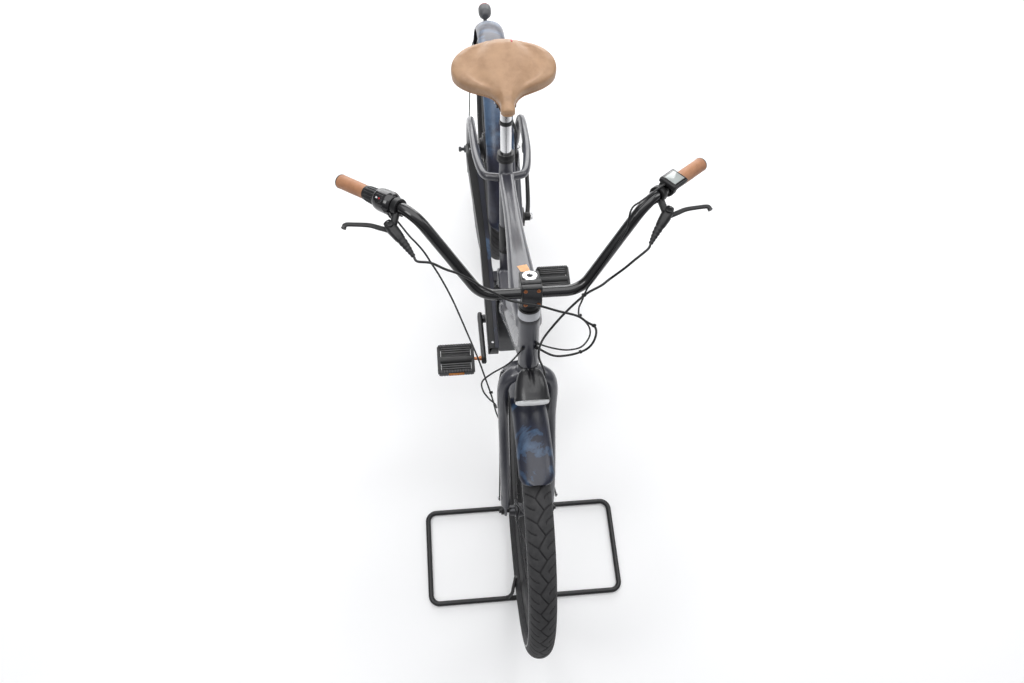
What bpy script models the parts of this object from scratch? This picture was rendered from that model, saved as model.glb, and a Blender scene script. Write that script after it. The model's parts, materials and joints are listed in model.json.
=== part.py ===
# Electric cruiser bicycle held in a tubular floor stand at its front wheel.
# Metres, +Z up, front toward -Y, rider's left toward +X.
# Origin: on the floor under the middle of the bicycle's length, in its mid plane.

import math

import bmesh
import bpy
from mathutils import Matrix, Vector

# Wheels and layout
WHEEL_RADIUS = 0.350
TYRE_WIDTH = 0.062
TYRE_HEIGHT = 0.0485
RIM_WIDTH = 0.033
RIM_DEPTH = 0.030
WHEELBASE = 1.160
REAR_REACH = 0.390
FRONT_Y = -(WHEELBASE + REAR_REACH - WHEEL_RADIUS) / 2
REAR_Y = FRONT_Y + WHEELBASE
AXLE_Z = WHEEL_RADIUS

# Clearances
SEAT_GAP = 0.0003
BORE_GAP = 0.0004
RUN_GAP = 0.0010

# Steering
HEAD_ANGLE = math.radians(70.0)
TRAIL = 0.075
HEAD_LOW = 0.762
HEAD_HIGH = 0.915
HEAD_RADIUS = 0.0225
STEERER_RADIUS = 0.0143
STEM_LOW = 0.936
STEM_HIGH = 0.985
STEM_WIDTH = 0.041
STEM_WALL = 0.0055
BAR_LEVEL = 0.970
FACE_HALF = 0.0240

# Fork
LEG_X = 0.0545
LEG_RADIUS = 0.0125
LEG_DEPTH = 0.0165
LUG_HALF = 0.0045
DROP_HALF = 0.0040
CROWN_Z = 0.738
AXLE_RADIUS = 0.0048

# Frame tubes
SEAT_FOOT = (0.655, 0.330)
SEAT_TOP = (0.790, 0.760)
SEAT_TUBE_RADIUS = 0.0175
POST_RADIUS = 0.0138
POST_TOP_Z = 0.880
BRACKET_Y = 0.585
BRACKET_Z = 0.288
STAY_X = 0.0715
STAY_RADIUS = 0.0110
DROPOUT_THICKNESS = 0.006

# Brakes
DISC_RADIUS = 0.080
DISC_HALF = 0.0009
FRONT_DISC_X = 0.0390
REAR_DISC_X = 0.0560
PAD_GAP = 0.0005
FRONT_DISC_SEAT = 0.0120
REAR_DISC_SEAT = 0.0140
DRIVER_RADIUS = 0.0177

# Drive
CHAIN_X = -0.0500
CHAIN_PITCH = 0.0127
CHAIN_OUTER = (0.0042, 0.0046)
CHAIN_INNER = (0.0030, 0.0046)
CHAIN_WAIST = 0.0026
RING_TEETH = 38
SPROCKET_TEETH = 20
CRANK_LENGTH = 0.170
CRANK_ANGLE = math.radians(22.0)
CRANK_X = 0.0790
CRANK_WIDTH = 0.013
SPINDLE_RADIUS = 0.0120
MOTOR_FRONT = 0.500
MOTOR_REAR = 0.678
MOTOR_HEIGHT = 0.072
MOTOR_DROP = 0.062
MOTOR_RIGHT = 0.034
MOTOR_LEFT = 0.052
CRADLE_WALL = 0.014
CRADLE_HALF = 0.024

# Kickstand, folded
KICK_PIVOT = (0.0900, 0.935, 0.290)
KICK_LENGTH = 0.278
PEDAL_INNER = 0.1050
PEDAL_OUTER = 0.2050
PEDAL_DEPTH = 0.086
PEDAL_THICKNESS = 0.024

# Handlebar
BAR_RADIUS = 0.0111
STEM_REACH = 0.030
BAR_LOW_BEND_X = 0.098
BAR_HIGH_BEND = (0.217, 0.337, 1.140)
BAR_END = (0.357, 0.467, 1.079)
GRIP_RADIUS = 0.0142
GRIP_LENGTH_LEFT = 0.112
GRIP_LENGTH_RIGHT = 0.076
DISPLAY_PLACE = 0.126
LEVER_PLACE = 0.160
BAR_STRAIGHT_END = 0.172
BOOT_ROOT = (0.236, 0.296, 1.100)
BOOT_END = (0.222, 0.274, 1.094)
HOSE_RADIUS = 0.0024
CABLE_RADIUS = 0.0018
HOSE_START = 0.0011
PORT = (0.0143, 0.2060, 0.829)
SECOND_PORT = (0.0150, 0.2095, 0.841)

# Mudguards
GUARD_GAP = 0.020
GUARD_HALF = 0.0390
GUARD_SKIN = 0.0020
GUARD_DROP = 0.020
GUARD_SWEEP = math.radians(78.0)
GUARD_STATIONS = 17
FRONT_GUARD = (-9.0, 118.0)
REAR_GUARD = (-80.0, 92.0)
WIRE_RADIUS = 0.0018
LAMP_STATION = 14
LAMP_RISE = 0.0293

# Floor stand
STAND_TUBE = 0.0075
STAND_SIDES = 8
STAND_HALF_WIDTH = 0.262
STAND_FRONT = -0.147
STAND_REAR = 0.108
STAND_CORNER = 0.024
STRUT_RADIUS = 0.0048
STRUT_SIDES = 8
STRUT_FOOT = 0.054

# Facets
WHEEL_FACETS = 36
HUB_FACETS = 14
SPOKES = 28
SMOOTH_ANGLE = math.radians(38.0)


# Clearing and materials

def clear_scene():
    for thing in list(bpy.data.objects):
        bpy.data.objects.remove(thing, do_unlink=True)


def material(name, colour, roughness, metallic=0.0):
    made = bpy.data.materials.new(name)
    made.use_nodes = True
    shader = made.node_tree.nodes["Principled BSDF"]
    shader.inputs["Base Color"].default_value = (*colour, 1.0)
    shader.inputs["Roughness"].default_value = roughness
    shader.inputs["Metallic"].default_value = metallic
    return made


# Materials that every part uses

clear_scene()
NAVY = material("matte_navy", (0.040, 0.042, 0.065), 0.55)
GALAXY = material("cloud_blue", (0.045, 0.080, 0.150), 0.50)
CHARCOAL = material("charcoal_plastic", (0.045, 0.046, 0.050), 0.60)
BLACK = material("gloss_black", (0.010, 0.010, 0.011), 0.30)
RUBBER = material("tyre_rubber", (0.060, 0.060, 0.062), 0.85)
ALLOY = material("alloy", (0.560, 0.570, 0.590), 0.35, 1.0)
STEEL = material("steel", (0.600, 0.600, 0.610), 0.28, 1.0)
LEATHER = material("tan_leather", (0.430, 0.230, 0.110), 0.60)
LENS = material("lens", (0.850, 0.870, 0.900), 0.12)
RED = material("red_lens", (0.350, 0.010, 0.012), 0.20)


# Places

def at(x, y, z):
    """A point with y counted from the front axle."""
    return Vector((x, FRONT_Y + y, z))


def head(z):
    """The point on the steering axis at height z."""
    return Vector((0, FRONT_Y - TRAIL + z / math.tan(HEAD_ANGLE), z))


def seat(z):
    """The point on the seat tube's axis at height z."""
    share = (z - SEAT_FOOT[1]) / (SEAT_TOP[1] - SEAT_FOOT[1])
    return at(0, SEAT_FOOT[0] + share * (SEAT_TOP[0] - SEAT_FOOT[0]), z)


def flip(point):
    return Vector((-point[0], point[1], point[2]))


HEAD_AXIS = Vector((0, math.cos(HEAD_ANGLE), math.sin(HEAD_ANGLE)))
HEAD_FRONT = Vector((0, -math.sin(HEAD_ANGLE), math.cos(HEAD_ANGLE)))
BAR_CENTRE = head(BAR_LEVEL) + HEAD_FRONT * STEM_REACH
SEAT_AXIS = (seat(1.0) - seat(0.0)).normalized()
FRONT_AXLE = Vector((0, FRONT_Y, AXLE_Z))
REAR_AXLE = Vector((0, REAR_Y, AXLE_Z))
BRACKET = at(0, BRACKET_Y, BRACKET_Z)
X_AXIS = Vector((1, 0, 0))


# Mesh helpers

def finish(name, bm, skin, origin=Vector((0, 0, 0)), smooth=True):
    """Turn world-space geometry into an object with its origin at the given point."""
    bmesh.ops.recalc_face_normals(bm, faces=bm.faces)
    mesh = bpy.data.meshes.new(name)
    bm.to_mesh(mesh)
    bm.free()
    mesh.transform(Matrix.Translation(-origin))
    if smooth:
        mesh.shade_smooth()
        mesh.set_sharp_from_angle(angle=SMOOTH_ANGLE)
    made = bpy.data.objects.new(name, mesh)
    made.location = origin
    made.data.materials.append(skin)
    bpy.context.scene.collection.objects.link(made)
    return made


def loft(bm, rings, closed=False):
    """Bridge rings of points into one closed body, with flat caps unless it is a loop."""
    rows = [[bm.verts.new(point) for point in ring] for ring in rings]
    count = len(rows[0])
    pairs = list(zip(rows, rows[1:]))
    if closed:
        pairs.append((rows[-1], rows[0]))
    for low, high in pairs:
        for i in range(count):
            j = (i + 1) % count
            bm.faces.new((low[i], low[j], high[j], high[i]))
    if not closed:
        bm.faces.new(list(reversed(rows[0])))
        bm.faces.new(rows[-1])


def smooth_line(points, steps):
    """Points along a centripetal curve through the given points."""
    points = [Vector(p) for p in points]
    ends = [2 * points[0] - points[1]] + points + [2 * points[-1] - points[-2]]
    line = []
    for i in range(1, len(ends) - 2):
        a, b, c, d = ends[i - 1:i + 3]
        for s in range(steps):
            t = s / steps
            line.append(0.5 * (2 * b + (c - a) * t + (2 * a - 5 * b + 4 * c - d) * t * t
                               + (3 * b - a - 3 * c + d) * t * t * t))
    line.append(points[-1])
    return line


def round_corners(points, radius, steps, loop=False):
    """Points along straight runs joined by arcs at the inner corners."""
    points = [Vector(p) for p in points]
    count = len(points)
    line = []
    for i, corner in enumerate(points):
        if not loop and i in (0, count - 1):
            line.append(corner)
            continue
        before = (points[i - 1] - corner).normalized()
        after = (points[(i + 1) % count] - corner).normalized()
        half = before.angle(after) / 2
        reach = radius / math.tan(half)
        start = corner + before * reach
        end = corner + after * reach
        centre = corner + (before + after).normalized() * (radius / math.sin(half))
        for s in range(steps + 1):
            mix = start.lerp(end, s / steps) - centre
            line.append(centre + mix.normalized() * radius)
    return line


def frames(line, loop=False, up=None):
    """A sideways and an upward unit vector at every point of a line."""
    count = len(line)
    result = []
    side = None
    for i in range(count):
        if loop:
            along = (line[(i + 1) % count] - line[i - 1]).normalized()
        else:
            along = (line[min(i + 1, count - 1)] - line[max(i - 1, 0)]).normalized()
        if up is not None:
            side = along.cross(up).normalized()
        elif side is None:
            guide = Vector((0, 0, 1)) if abs(along.z) < 0.9 else Vector((1, 0, 0))
            side = along.cross(guide).normalized()
        else:
            side = (side - along * side.dot(along)).normalized()
        result.append((side, side.cross(along).normalized()))
    return result


def oval_rings(line, widths, heights, sides=12, power=1.0, loop=False, up=None):
    """Rings of an oval section; power under 1 makes the section squarer."""
    rings = []
    for i, (side, rise) in enumerate(frames(line, loop, up)):
        wide = widths[i] if isinstance(widths, (list, tuple)) else widths
        high = heights[i] if isinstance(heights, (list, tuple)) else heights
        ring = []
        for k in range(sides):
            turn = 2 * math.pi * (k + 0.5) / sides
            c = math.cos(turn)
            s = math.sin(turn)
            u = math.copysign(abs(c) ** power, c) * wide
            v = math.copysign(abs(s) ** power, s) * high
            ring.append(line[i] + side * u + rise * v)
        rings.append(ring)
    return rings


def add_tube(bm, line, radius, sides=12, loop=False, up=None):
    loft(bm, oval_rings(line, radius, radius, sides, 1.0, loop, up), loop)


def turned(bm, profile, base, axis, segments=24, loop=True):
    """Turn a profile of (along, radius) pairs about an axis through base."""
    axis = axis.normalized()
    guide = Vector((0, 0, 1)) if abs(axis.z) < 0.9 else Vector((0, 1, 0))
    side = (guide - axis * guide.dot(axis)).normalized()
    rise = axis.cross(side)
    rings = []
    for k in range(segments):
        turn = 2 * math.pi * k / segments
        out = side * math.cos(turn) + rise * math.sin(turn)
        rings.append([base + axis * a + out * r for a, r in profile])
    if loop:
        loft(bm, rings, closed=True)
        return
    turned_solid(bm, rings)


def turned_solid(bm, rings):
    """Close a turned profile whose first and last points lie on the axis."""
    first = bm.verts.new(rings[0][0])
    last = bm.verts.new(rings[0][-1])
    rows = [[bm.verts.new(p) for p in ring[1:-1]] for ring in rings]
    count = len(rows)
    for i in range(count):
        j = (i + 1) % count
        bm.faces.new((first, rows[i][0], rows[j][0]))
        for k in range(len(rows[0]) - 1):
            bm.faces.new((rows[i][k], rows[i][k + 1], rows[j][k + 1], rows[j][k]))
        bm.faces.new((rows[i][-1], last, rows[j][-1]))


def rod(bm, start, end, radius, sides=16):
    start = Vector(start)
    end = Vector(end)
    length = (end - start).length
    profile = [(0, 0), (0, radius), (length, radius), (length, 0)]
    turned(bm, profile, start, end - start, sides, loop=False)


def block(bm, low, high, bevel=0.0, segments=2):
    low = Vector(low)
    high = Vector(high)
    made = bmesh.ops.create_cube(bm, size=1.0)
    verts = made["verts"]
    size = high - low
    bmesh.ops.scale(bm, vec=size, verts=verts)
    bmesh.ops.translate(bm, vec=(low + high) / 2, verts=verts)
    if bevel:
        edges = list({e for v in verts for e in v.link_edges})
        bmesh.ops.bevel(bm, geom=edges, offset=bevel, segments=segments, profile=0.5,
                        affect="EDGES")


def plate(bm, outline, low_x, high_x):
    """Extrude an outline of (y, z) pairs, in world coordinates, between two x values."""
    loft(bm, [[Vector((x, y, z)) for y, z in outline] for x in (low_x, high_x)])


def solid(name, build, skin=None, origin=Vector((0, 0, 0))):
    bm = bmesh.new()
    build(bm)
    return finish(name, bm, skin or NAVY, origin)


def combine(base, tools, operation="UNION"):
    """Apply Boolean modifiers one after another and drop the tools."""
    for tool in tools:
        change = base.modifiers.new("join", "BOOLEAN")
        change.operation = operation
        change.solver = "EXACT"
        change.object = tool
        bpy.context.view_layer.update()
        graph = bpy.context.evaluated_depsgraph_get()
        mesh = bpy.data.meshes.new_from_object(base.evaluated_get(graph))
        base.modifiers.clear()
        base.data = mesh
        bpy.data.objects.remove(tool, do_unlink=True)
    base.data.shade_smooth()
    base.data.set_sharp_from_angle(angle=SMOOTH_ANGLE)
    return base


def carry(empty, things):
    """Parent objects to an empty and keep their places."""
    for thing in things:
        thing.parent = empty
        thing.location = thing.location - empty.location


def joint_empty(name, place):
    made = bpy.data.objects.new(name, None)
    made.location = place
    made.empty_display_size = 0.05
    bpy.context.scene.collection.objects.link(made)
    return made


# Front and rear wheels

def tyre(name, axle):
    half = TYRE_WIDTH / 2
    bead = WHEEL_RADIUS - TYRE_HEIGHT
    centre = WHEEL_RADIUS - half
    shut = RIM_WIDTH / 2 - 0.0025
    profile = []
    for k in range(9):
        turn = math.radians(-116 + 232 * k / 8)
        profile.append((half * math.sin(turn), centre + half * math.cos(turn)))
    profile.append((shut, bead - SEAT_GAP * 2 + 0.0006))
    profile.append((shut, bead - 0.0072))
    profile.append((-shut, bead - 0.0072))
    profile.append((-shut, bead - SEAT_GAP * 2 + 0.0006))
    return solid(name, lambda bm: turned(bm, profile, axle, X_AXIS, WHEEL_FACETS), RUBBER, axle)


def rim_profile():
    half = RIM_WIDTH / 2
    edge = WHEEL_RADIUS - TYRE_HEIGHT - SEAT_GAP
    well = edge - 0.0075
    lip = half - 0.0022
    foot = edge - RIM_DEPTH
    return [(-half, edge), (-lip, edge), (-lip, well), (lip, well), (lip, edge), (half, edge),
            (half, edge - 0.012), (half * 0.45, foot), (-half * 0.45, foot),
            (-half, edge - 0.012)]


def spokes(bm, axle, flange_x, flange_radius, count=SPOKES):
    """Crossed spokes, leading and trailing ones a little apart at each flange."""
    foot = WHEEL_RADIUS - TYRE_HEIGHT - RIM_DEPTH
    for k in range(count):
        side = 1 if k % 2 else -1
        lead = 1 if (k // 2) % 2 else -1
        rim_turn = 2 * math.pi * k / count
        hub_turn = rim_turn + lead * math.radians(62)
        hub_x = side * (flange_x + lead * 0.0019)
        start = axle + Vector((hub_x, flange_radius * math.sin(hub_turn),
                               flange_radius * math.cos(hub_turn)))
        end = axle + Vector((side * 0.003, (foot + 0.004) * math.sin(rim_turn),
                             (foot + 0.004) * math.cos(rim_turn)))
        loft(bm, oval_rings([start, end], 0.0011, 0.0011, 4))


def wheel(name, axle, shell, flange_x, flange_radius):
    """Rim, spokes and bored hub shell in one body."""
    def rim_and_hub(bm):
        turned(bm, rim_profile(), axle, X_AXIS, WHEEL_FACETS)
        turned(bm, shell, axle, X_AXIS, HUB_FACETS)
    made = solid(name, rim_and_hub, ALLOY, axle)
    lace = solid(name + "_lace", lambda bm: spokes(bm, axle, flange_x, flange_radius), STEEL, axle)
    return combine(made, [lace])


def front_hub_shell():
    bore = AXLE_RADIUS + RUN_GAP
    shoulder = FRONT_DISC_X - DISC_HALF - SEAT_GAP
    return [(-0.0455, bore), (-0.0455, 0.012), (-0.031, 0.014), (-0.031, 0.0265), (-0.025, 0.0265),
            (-0.022, 0.018), (0.022, 0.018), (0.025, 0.0265), (0.031, 0.0265), (0.031, 0.017),
            (shoulder, 0.017), (shoulder, FRONT_DISC_SEAT), (0.0455, FRONT_DISC_SEAT), (0.0455, bore)]


def rear_hub_shell():
    bore = AXLE_RADIUS + RUN_GAP
    driver = CHAIN_X - 0.006
    return [(driver, bore), (driver, DRIVER_RADIUS), (-0.040, DRIVER_RADIUS), (-0.040, 0.030),
            (-0.031, 0.034), (-0.031, 0.047), (-0.026, 0.047),
            (-0.023, 0.040), (0.023, 0.040), (0.026, 0.047), (0.031, 0.047), (0.031, 0.030),
            (0.040, 0.024), (0.040, REAR_DISC_SEAT), (0.060, REAR_DISC_SEAT), (0.060, bore)]


def disc(name, axle, x, inner, outer):
    """Brake disc: a ring with five arms and a carrier, in one body."""
    half = DISC_HALF
    def ring(bm):
        turned(bm, [(x - half, outer - 0.014), (x - half, outer), (x + half, outer),
                    (x + half, outer - 0.014)], axle, X_AXIS, 24)
        turned(bm, [(x - half, inner), (x - half, inner + 0.010), (x + half, inner + 0.010),
                    (x + half, inner)], axle, X_AXIS, HUB_FACETS)
    made = solid(name, ring, STEEL, axle)
    def arms(bm):
        for k in range(5):
            turn = 2 * math.pi * k / 5
            near = Vector((x, (inner + 0.006) * math.sin(turn), (inner + 0.006) * math.cos(turn)))
            far_turn = turn + 0.35
            far = Vector((x, (outer - 0.008) * math.sin(far_turn), (outer - 0.008) * math.cos(far_turn)))
            line = [axle + near, axle + far]
            loft(bm, flat_bar(line, half * 0.98, 0.004))
    return combine(made, [solid(name + "_arms", arms, STEEL, axle)])


def flat_bar(line, half_x, half_wide):
    """Rings of a flat bar that lies in a plane across X."""
    along = (line[1] - line[0]).normalized()
    wide = along.cross(X_AXIS).normalized() * half_wide
    thick = X_AXIS * half_x
    return [[p + wide + thick, p - wide + thick, p - wide - thick, p + wide - thick] for p in line]


# Mudguards

def guard_drop(turn):
    return GUARD_DROP * (1 - math.cos(turn)) / (1 - math.cos(GUARD_SWEEP))


def guard_section(half, radius):
    """Outer then inner points of the section as (x, radius) pairs."""
    outer = []
    inner = []
    count = 6
    for k in range(count + 1):
        turn = (-1 + 2 * k / count) * GUARD_SWEEP
        x = half * math.sin(turn) / math.sin(GUARD_SWEEP)
        outer.append((x, radius - guard_drop(turn)))
        inner.append((x * (1 - GUARD_SKIN / GUARD_HALF), radius - GUARD_SKIN - guard_drop(turn) * 0.97))
    return outer + list(reversed(inner))


def guard_angle(ends, station):
    return ends[0] + (ends[1] - ends[0]) * station / GUARD_STATIONS


def mudguard(name, axle, ends, skin):
    """A curved blade from one angle to another, counted from the top toward the rear."""
    radius = WHEEL_RADIUS + GUARD_GAP + GUARD_SKIN
    rings = []
    for k in range(GUARD_STATIONS + 1):
        angle = math.radians(guard_angle(ends, k))
        edge = min(k, GUARD_STATIONS - k) / GUARD_STATIONS * abs(ends[1] - ends[0])
        narrow = 1.0 if edge > 5 else 0.45 + 0.55 * math.sqrt(max(0, 1 - (1 - edge / 5) ** 2))
        ring = []
        for x, r in guard_section(GUARD_HALF, radius):
            drop = radius - r
            reach = radius - drop * narrow
            ring.append(axle + Vector((x * narrow, reach * math.sin(angle), reach * math.cos(angle))))
        rings.append(ring)
    return solid(name, lambda bm: loft(bm, rings), skin)


def guard_point(axle, angle, share=0.0, lift=0.0):
    """A point over the blade's outer face, at a share of its half width and a lift along its normal."""
    turn = share * GUARD_SWEEP
    x = GUARD_HALF * math.sin(turn) / math.sin(GUARD_SWEEP) + lift * math.sin(turn)
    radius = WHEEL_RADIUS + GUARD_GAP + GUARD_SKIN - guard_drop(turn) + lift * math.cos(turn)
    return axle + Vector((x, radius * math.sin(math.radians(angle)), radius * math.cos(math.radians(angle))))


# Frame

def taper(start, end, count):
    return [start + (end - start) * i / (count - 1) for i in range(count)]


def head_tube(bm):
    rod(bm, head(HEAD_LOW), head(HEAD_HIGH), HEAD_RADIUS, 24)


def top_tube(bm):
    start = seat(SEAT_TOP[1] - 0.060)
    end = head(HEAD_HIGH - 0.043)
    line = [start.lerp(end, k / 6) for k in range(7)]
    widths = [0.0215, 0.0225, 0.0225, 0.0240, 0.0265, 0.0290, 0.0265]
    heights = [0.0150, 0.0160, 0.0170, 0.0185, 0.0200, 0.0215, 0.0220]
    loft(bm, oval_rings(line, widths, heights, 12, 0.8, up=Vector((0, 0, 1))))


def down_tube(bm, grow=0.0):
    """The down tube, or with a value its form grown by that much."""
    line = smooth_line([head(HEAD_LOW + 0.038), at(0, 0.300, 0.705), at(0, 0.410, 0.585), at(0, 0.520, 0.440),
                        at(0, 0.575, 0.360)], 2)
    widths = [0.0235, 0.0250, 0.0270, 0.0290, 0.0300, 0.0305, 0.0305, 0.0300, 0.0290]
    heights = [0.0250, 0.0260, 0.0270, 0.0280, 0.0290, 0.0300, 0.0300, 0.0290, 0.0280]
    widths = [wide + grow for wide in widths]
    heights = [high + grow for high in heights]
    loft(bm, oval_rings(line, widths, heights, 12, 0.75, up=X_AXIS))


def seat_tube(bm):
    rod(bm, seat(BRACKET_Z + MOTOR_HEIGHT + 0.012), seat(SEAT_TOP[1]), SEAT_TUBE_RADIUS, 20)


def motor_cradle(bm):
    """The welded plate over the motor that joins the down tube and the seat tube."""
    low = BRACKET_Z + MOTOR_HEIGHT + SEAT_GAP
    back = MOTOR_REAR + SEAT_GAP
    outline = [(FRONT_Y + y, z) for y, z in ((0.530, low), (back, low), (back, BRACKET_Z - 0.022),
                                             (back + CRADLE_WALL, BRACKET_Z - 0.022),
                                             (back + CRADLE_WALL, low + 0.028), (0.660, low + 0.055),
                                             (0.560, low + 0.050), (0.530, low + 0.030))]
    plate(bm, outline, -CRADLE_HALF, CRADLE_HALF)


def main_frame():
    made = solid("main_frame", head_tube)
    parts = [solid("part", build) for build in (top_tube, down_tube, seat_tube, motor_cradle)]
    made = combine(made, parts)
    bores = [solid("bore", lambda bm: rod(bm, head(HEAD_LOW - 0.05), head(HEAD_HIGH + 0.05),
                                          STEERER_RADIUS + RUN_GAP, 24)),
             solid("bore", lambda bm: motor(bm, SEAT_GAP)),
             solid("bore", lambda bm: rod(bm, seat(SEAT_TOP[1] - 0.080), seat(SEAT_TOP[1] + 0.05),
                                          POST_RADIUS + BORE_GAP, 20))]
    return combine(made, bores, "DIFFERENCE")


def stay_line(side):
    """From the right or left dropout up, forward and round to the seat tube's back."""
    x = STAY_X
    return [Vector((side * x, REAR_Y, AXLE_Z + 0.022)),
            Vector((side * (x + 0.001), REAR_Y - 0.018, AXLE_Z + 0.100)),
            Vector((side * (x + 0.001), REAR_Y - 0.070, AXLE_Z + 0.205)),
            Vector((side * x, REAR_Y - 0.160, AXLE_Z + 0.258)),
            Vector((side * (x - 0.003), REAR_Y - 0.270, AXLE_Z + 0.290))]


def lower_stay_line(side):
    """From the dropout forward to the yoke behind the drive unit."""
    return smooth_line([Vector((side * STAY_X, REAR_Y - 0.012, AXLE_Z - 0.004)),
                        Vector((side * (STAY_X - 0.004), REAR_Y - 0.120, AXLE_Z - 0.018)),
                        Vector((side * (STAY_X - 0.012), REAR_Y - 0.300, AXLE_Z - 0.040)),
                        Vector((side * 0.040, REAR_Y - 0.420, AXLE_Z - 0.052)),
                        Vector((side * 0.028, REAR_Y - 0.452, AXLE_Z - 0.056))], 2)


def rear_stays():
    """Curved upper stays that pass behind the seat tube as one hoop, with lower stays and dropouts."""
    slant = math.sin(SEAT_AXIS.angle(Vector((0, 1, 0))))
    back = seat(SEAT_TOP[1] - 0.093)
    back.y += (SEAT_TUBE_RADIUS + SEAT_GAP) / slant + STAY_RADIUS * 1.02
    right = stay_line(-1)
    left = stay_line(1)
    corner = back + Vector((0, 0.012, -0.001))
    hoop = right + [corner + Vector((-0.055, 0.006, -0.004)), corner + Vector((-0.030, -0.010, 0.0)),
                    back, corner + Vector((0.030, -0.010, 0.0)), corner + Vector((0.055, 0.006, -0.004))]
    hoop = hoop + list(reversed(left))
    made = solid("rear_stays", lambda bm: add_tube(bm, smooth_line(hoop, 2), STAY_RADIUS, 8))
    parts = []
    for side in (-1, 1):
        line = lower_stay_line(side)
        parts.append(solid("part", lambda bm, line=line: add_tube(bm, line, STAY_RADIUS, 8)))
        half = DROPOUT_THICKNESS / 2
        outline = [(REAR_Y - 0.030, AXLE_Z - 0.016), (REAR_Y + 0.012, AXLE_Z - 0.020),
                   (REAR_Y + 0.020, AXLE_Z), (REAR_Y + 0.014, AXLE_Z + 0.034),
                   (REAR_Y - 0.012, AXLE_Z + 0.036), (REAR_Y - 0.036, AXLE_Z + 0.006)]
        x = side * STAY_X
        parts.append(solid("part", lambda bm, x=x, o=outline, h=half: plate(bm, o, x - h, x + h)))
    seam = FRONT_Y + MOTOR_REAR + CRADLE_WALL + SEAT_GAP * 2
    yoke = [(seam, AXLE_Z - 0.080), (REAR_Y - 0.430, AXLE_Z - 0.072),
            (REAR_Y - 0.430, AXLE_Z - 0.036), (seam, AXLE_Z - 0.034)]
    parts.append(solid("part", lambda bm: plate(bm, yoke, -0.036, 0.036)))
    middle = caliper_centre(REAR_AXLE, REAR_DISC_X, -62)
    lug = [(REAR_Y - 0.028, AXLE_Z - 0.010), (REAR_Y - 0.026, AXLE_Z + 0.020),
           (middle.y + 0.010, middle.z + 0.014), (middle.y - 0.010, middle.z + 0.014),
           (middle.y - 0.016, AXLE_Z - 0.014)]
    half = DROPOUT_THICKNESS / 2
    parts.append(solid("part", lambda bm: plate(bm, lug, STAY_X - half, STAY_X + half)))
    made = combine(made, parts)
    bore = solid("bore", lambda bm: rod(bm, REAR_AXLE - X_AXIS * 0.12, REAR_AXLE + X_AXIS * 0.12,
                                        AXLE_RADIUS + BORE_GAP, 16))
    return combine(made, [bore], "DIFFERENCE")


def motor(bm, grow=0.0):
    """Drive unit block round the bottom bracket, with a rounded side outline."""
    low = BRACKET_Z - MOTOR_DROP - grow
    high = BRACKET_Z + MOTOR_HEIGHT + grow
    front = MOTOR_FRONT - grow
    back = MOTOR_REAR + grow
    outline = [(front, low + 0.012), (front + 0.018, low), (back - 0.038, low),
               (back - 0.006, low + 0.020), (back, low + 0.075), (back - 0.023, high),
               (front + 0.020, high), (front, high - 0.030)]
    plate(bm, [(FRONT_Y + y, z) for y, z in outline], -MOTOR_RIGHT - grow, MOTOR_LEFT + grow)


def motor_unit():
    made = solid("motor", motor, CHARCOAL)
    bore = solid("bore", lambda bm: rod(bm, BRACKET - X_AXIS * 0.1, BRACKET + X_AXIS * 0.1,
                                        SPINDLE_RADIUS + RUN_GAP, 20))
    return combine(made, [bore], "DIFFERENCE")


def battery():
    """Removable battery cover that lies on the down tube's back face."""
    line = [at(0, 0.5230, 0.4950), at(0, 0.4700, 0.5650), at(0, 0.4100, 0.6440), at(0, 0.3700, 0.6900)]
    widths = [0.0270, 0.0280, 0.0270, 0.0210]
    heights = [0.0160, 0.0200, 0.0180, 0.0110]
    made = solid("battery", lambda bm: loft(bm, oval_rings(line, widths, heights, 12, 0.7,
                                                             up=Vector((1, 0, 0)))), CHARCOAL)
    cut = solid("cut", lambda bm: down_tube(bm, SEAT_GAP), CHARCOAL)
    return combine(made, [cut], "DIFFERENCE")


# Fork, axles and front mudguard

def leg_line(side):
    return smooth_line([head(CROWN_Z) + Vector((side * 0.004, 0, 0)),
                        head(CROWN_Z - 0.006) + Vector((side * LEG_X * 0.62, 0, 0.0)),
                        head(CROWN_Z - 0.040) + Vector((side * LEG_X, 0, 0)),
                        head(CROWN_Z - 0.140) + Vector((side * LEG_X, -0.002, 0)),
                        at(side * LEG_X, 0.052, 0.470),
                        at(side * LEG_X, 0.010, AXLE_Z + 0.022)], 2)


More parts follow.
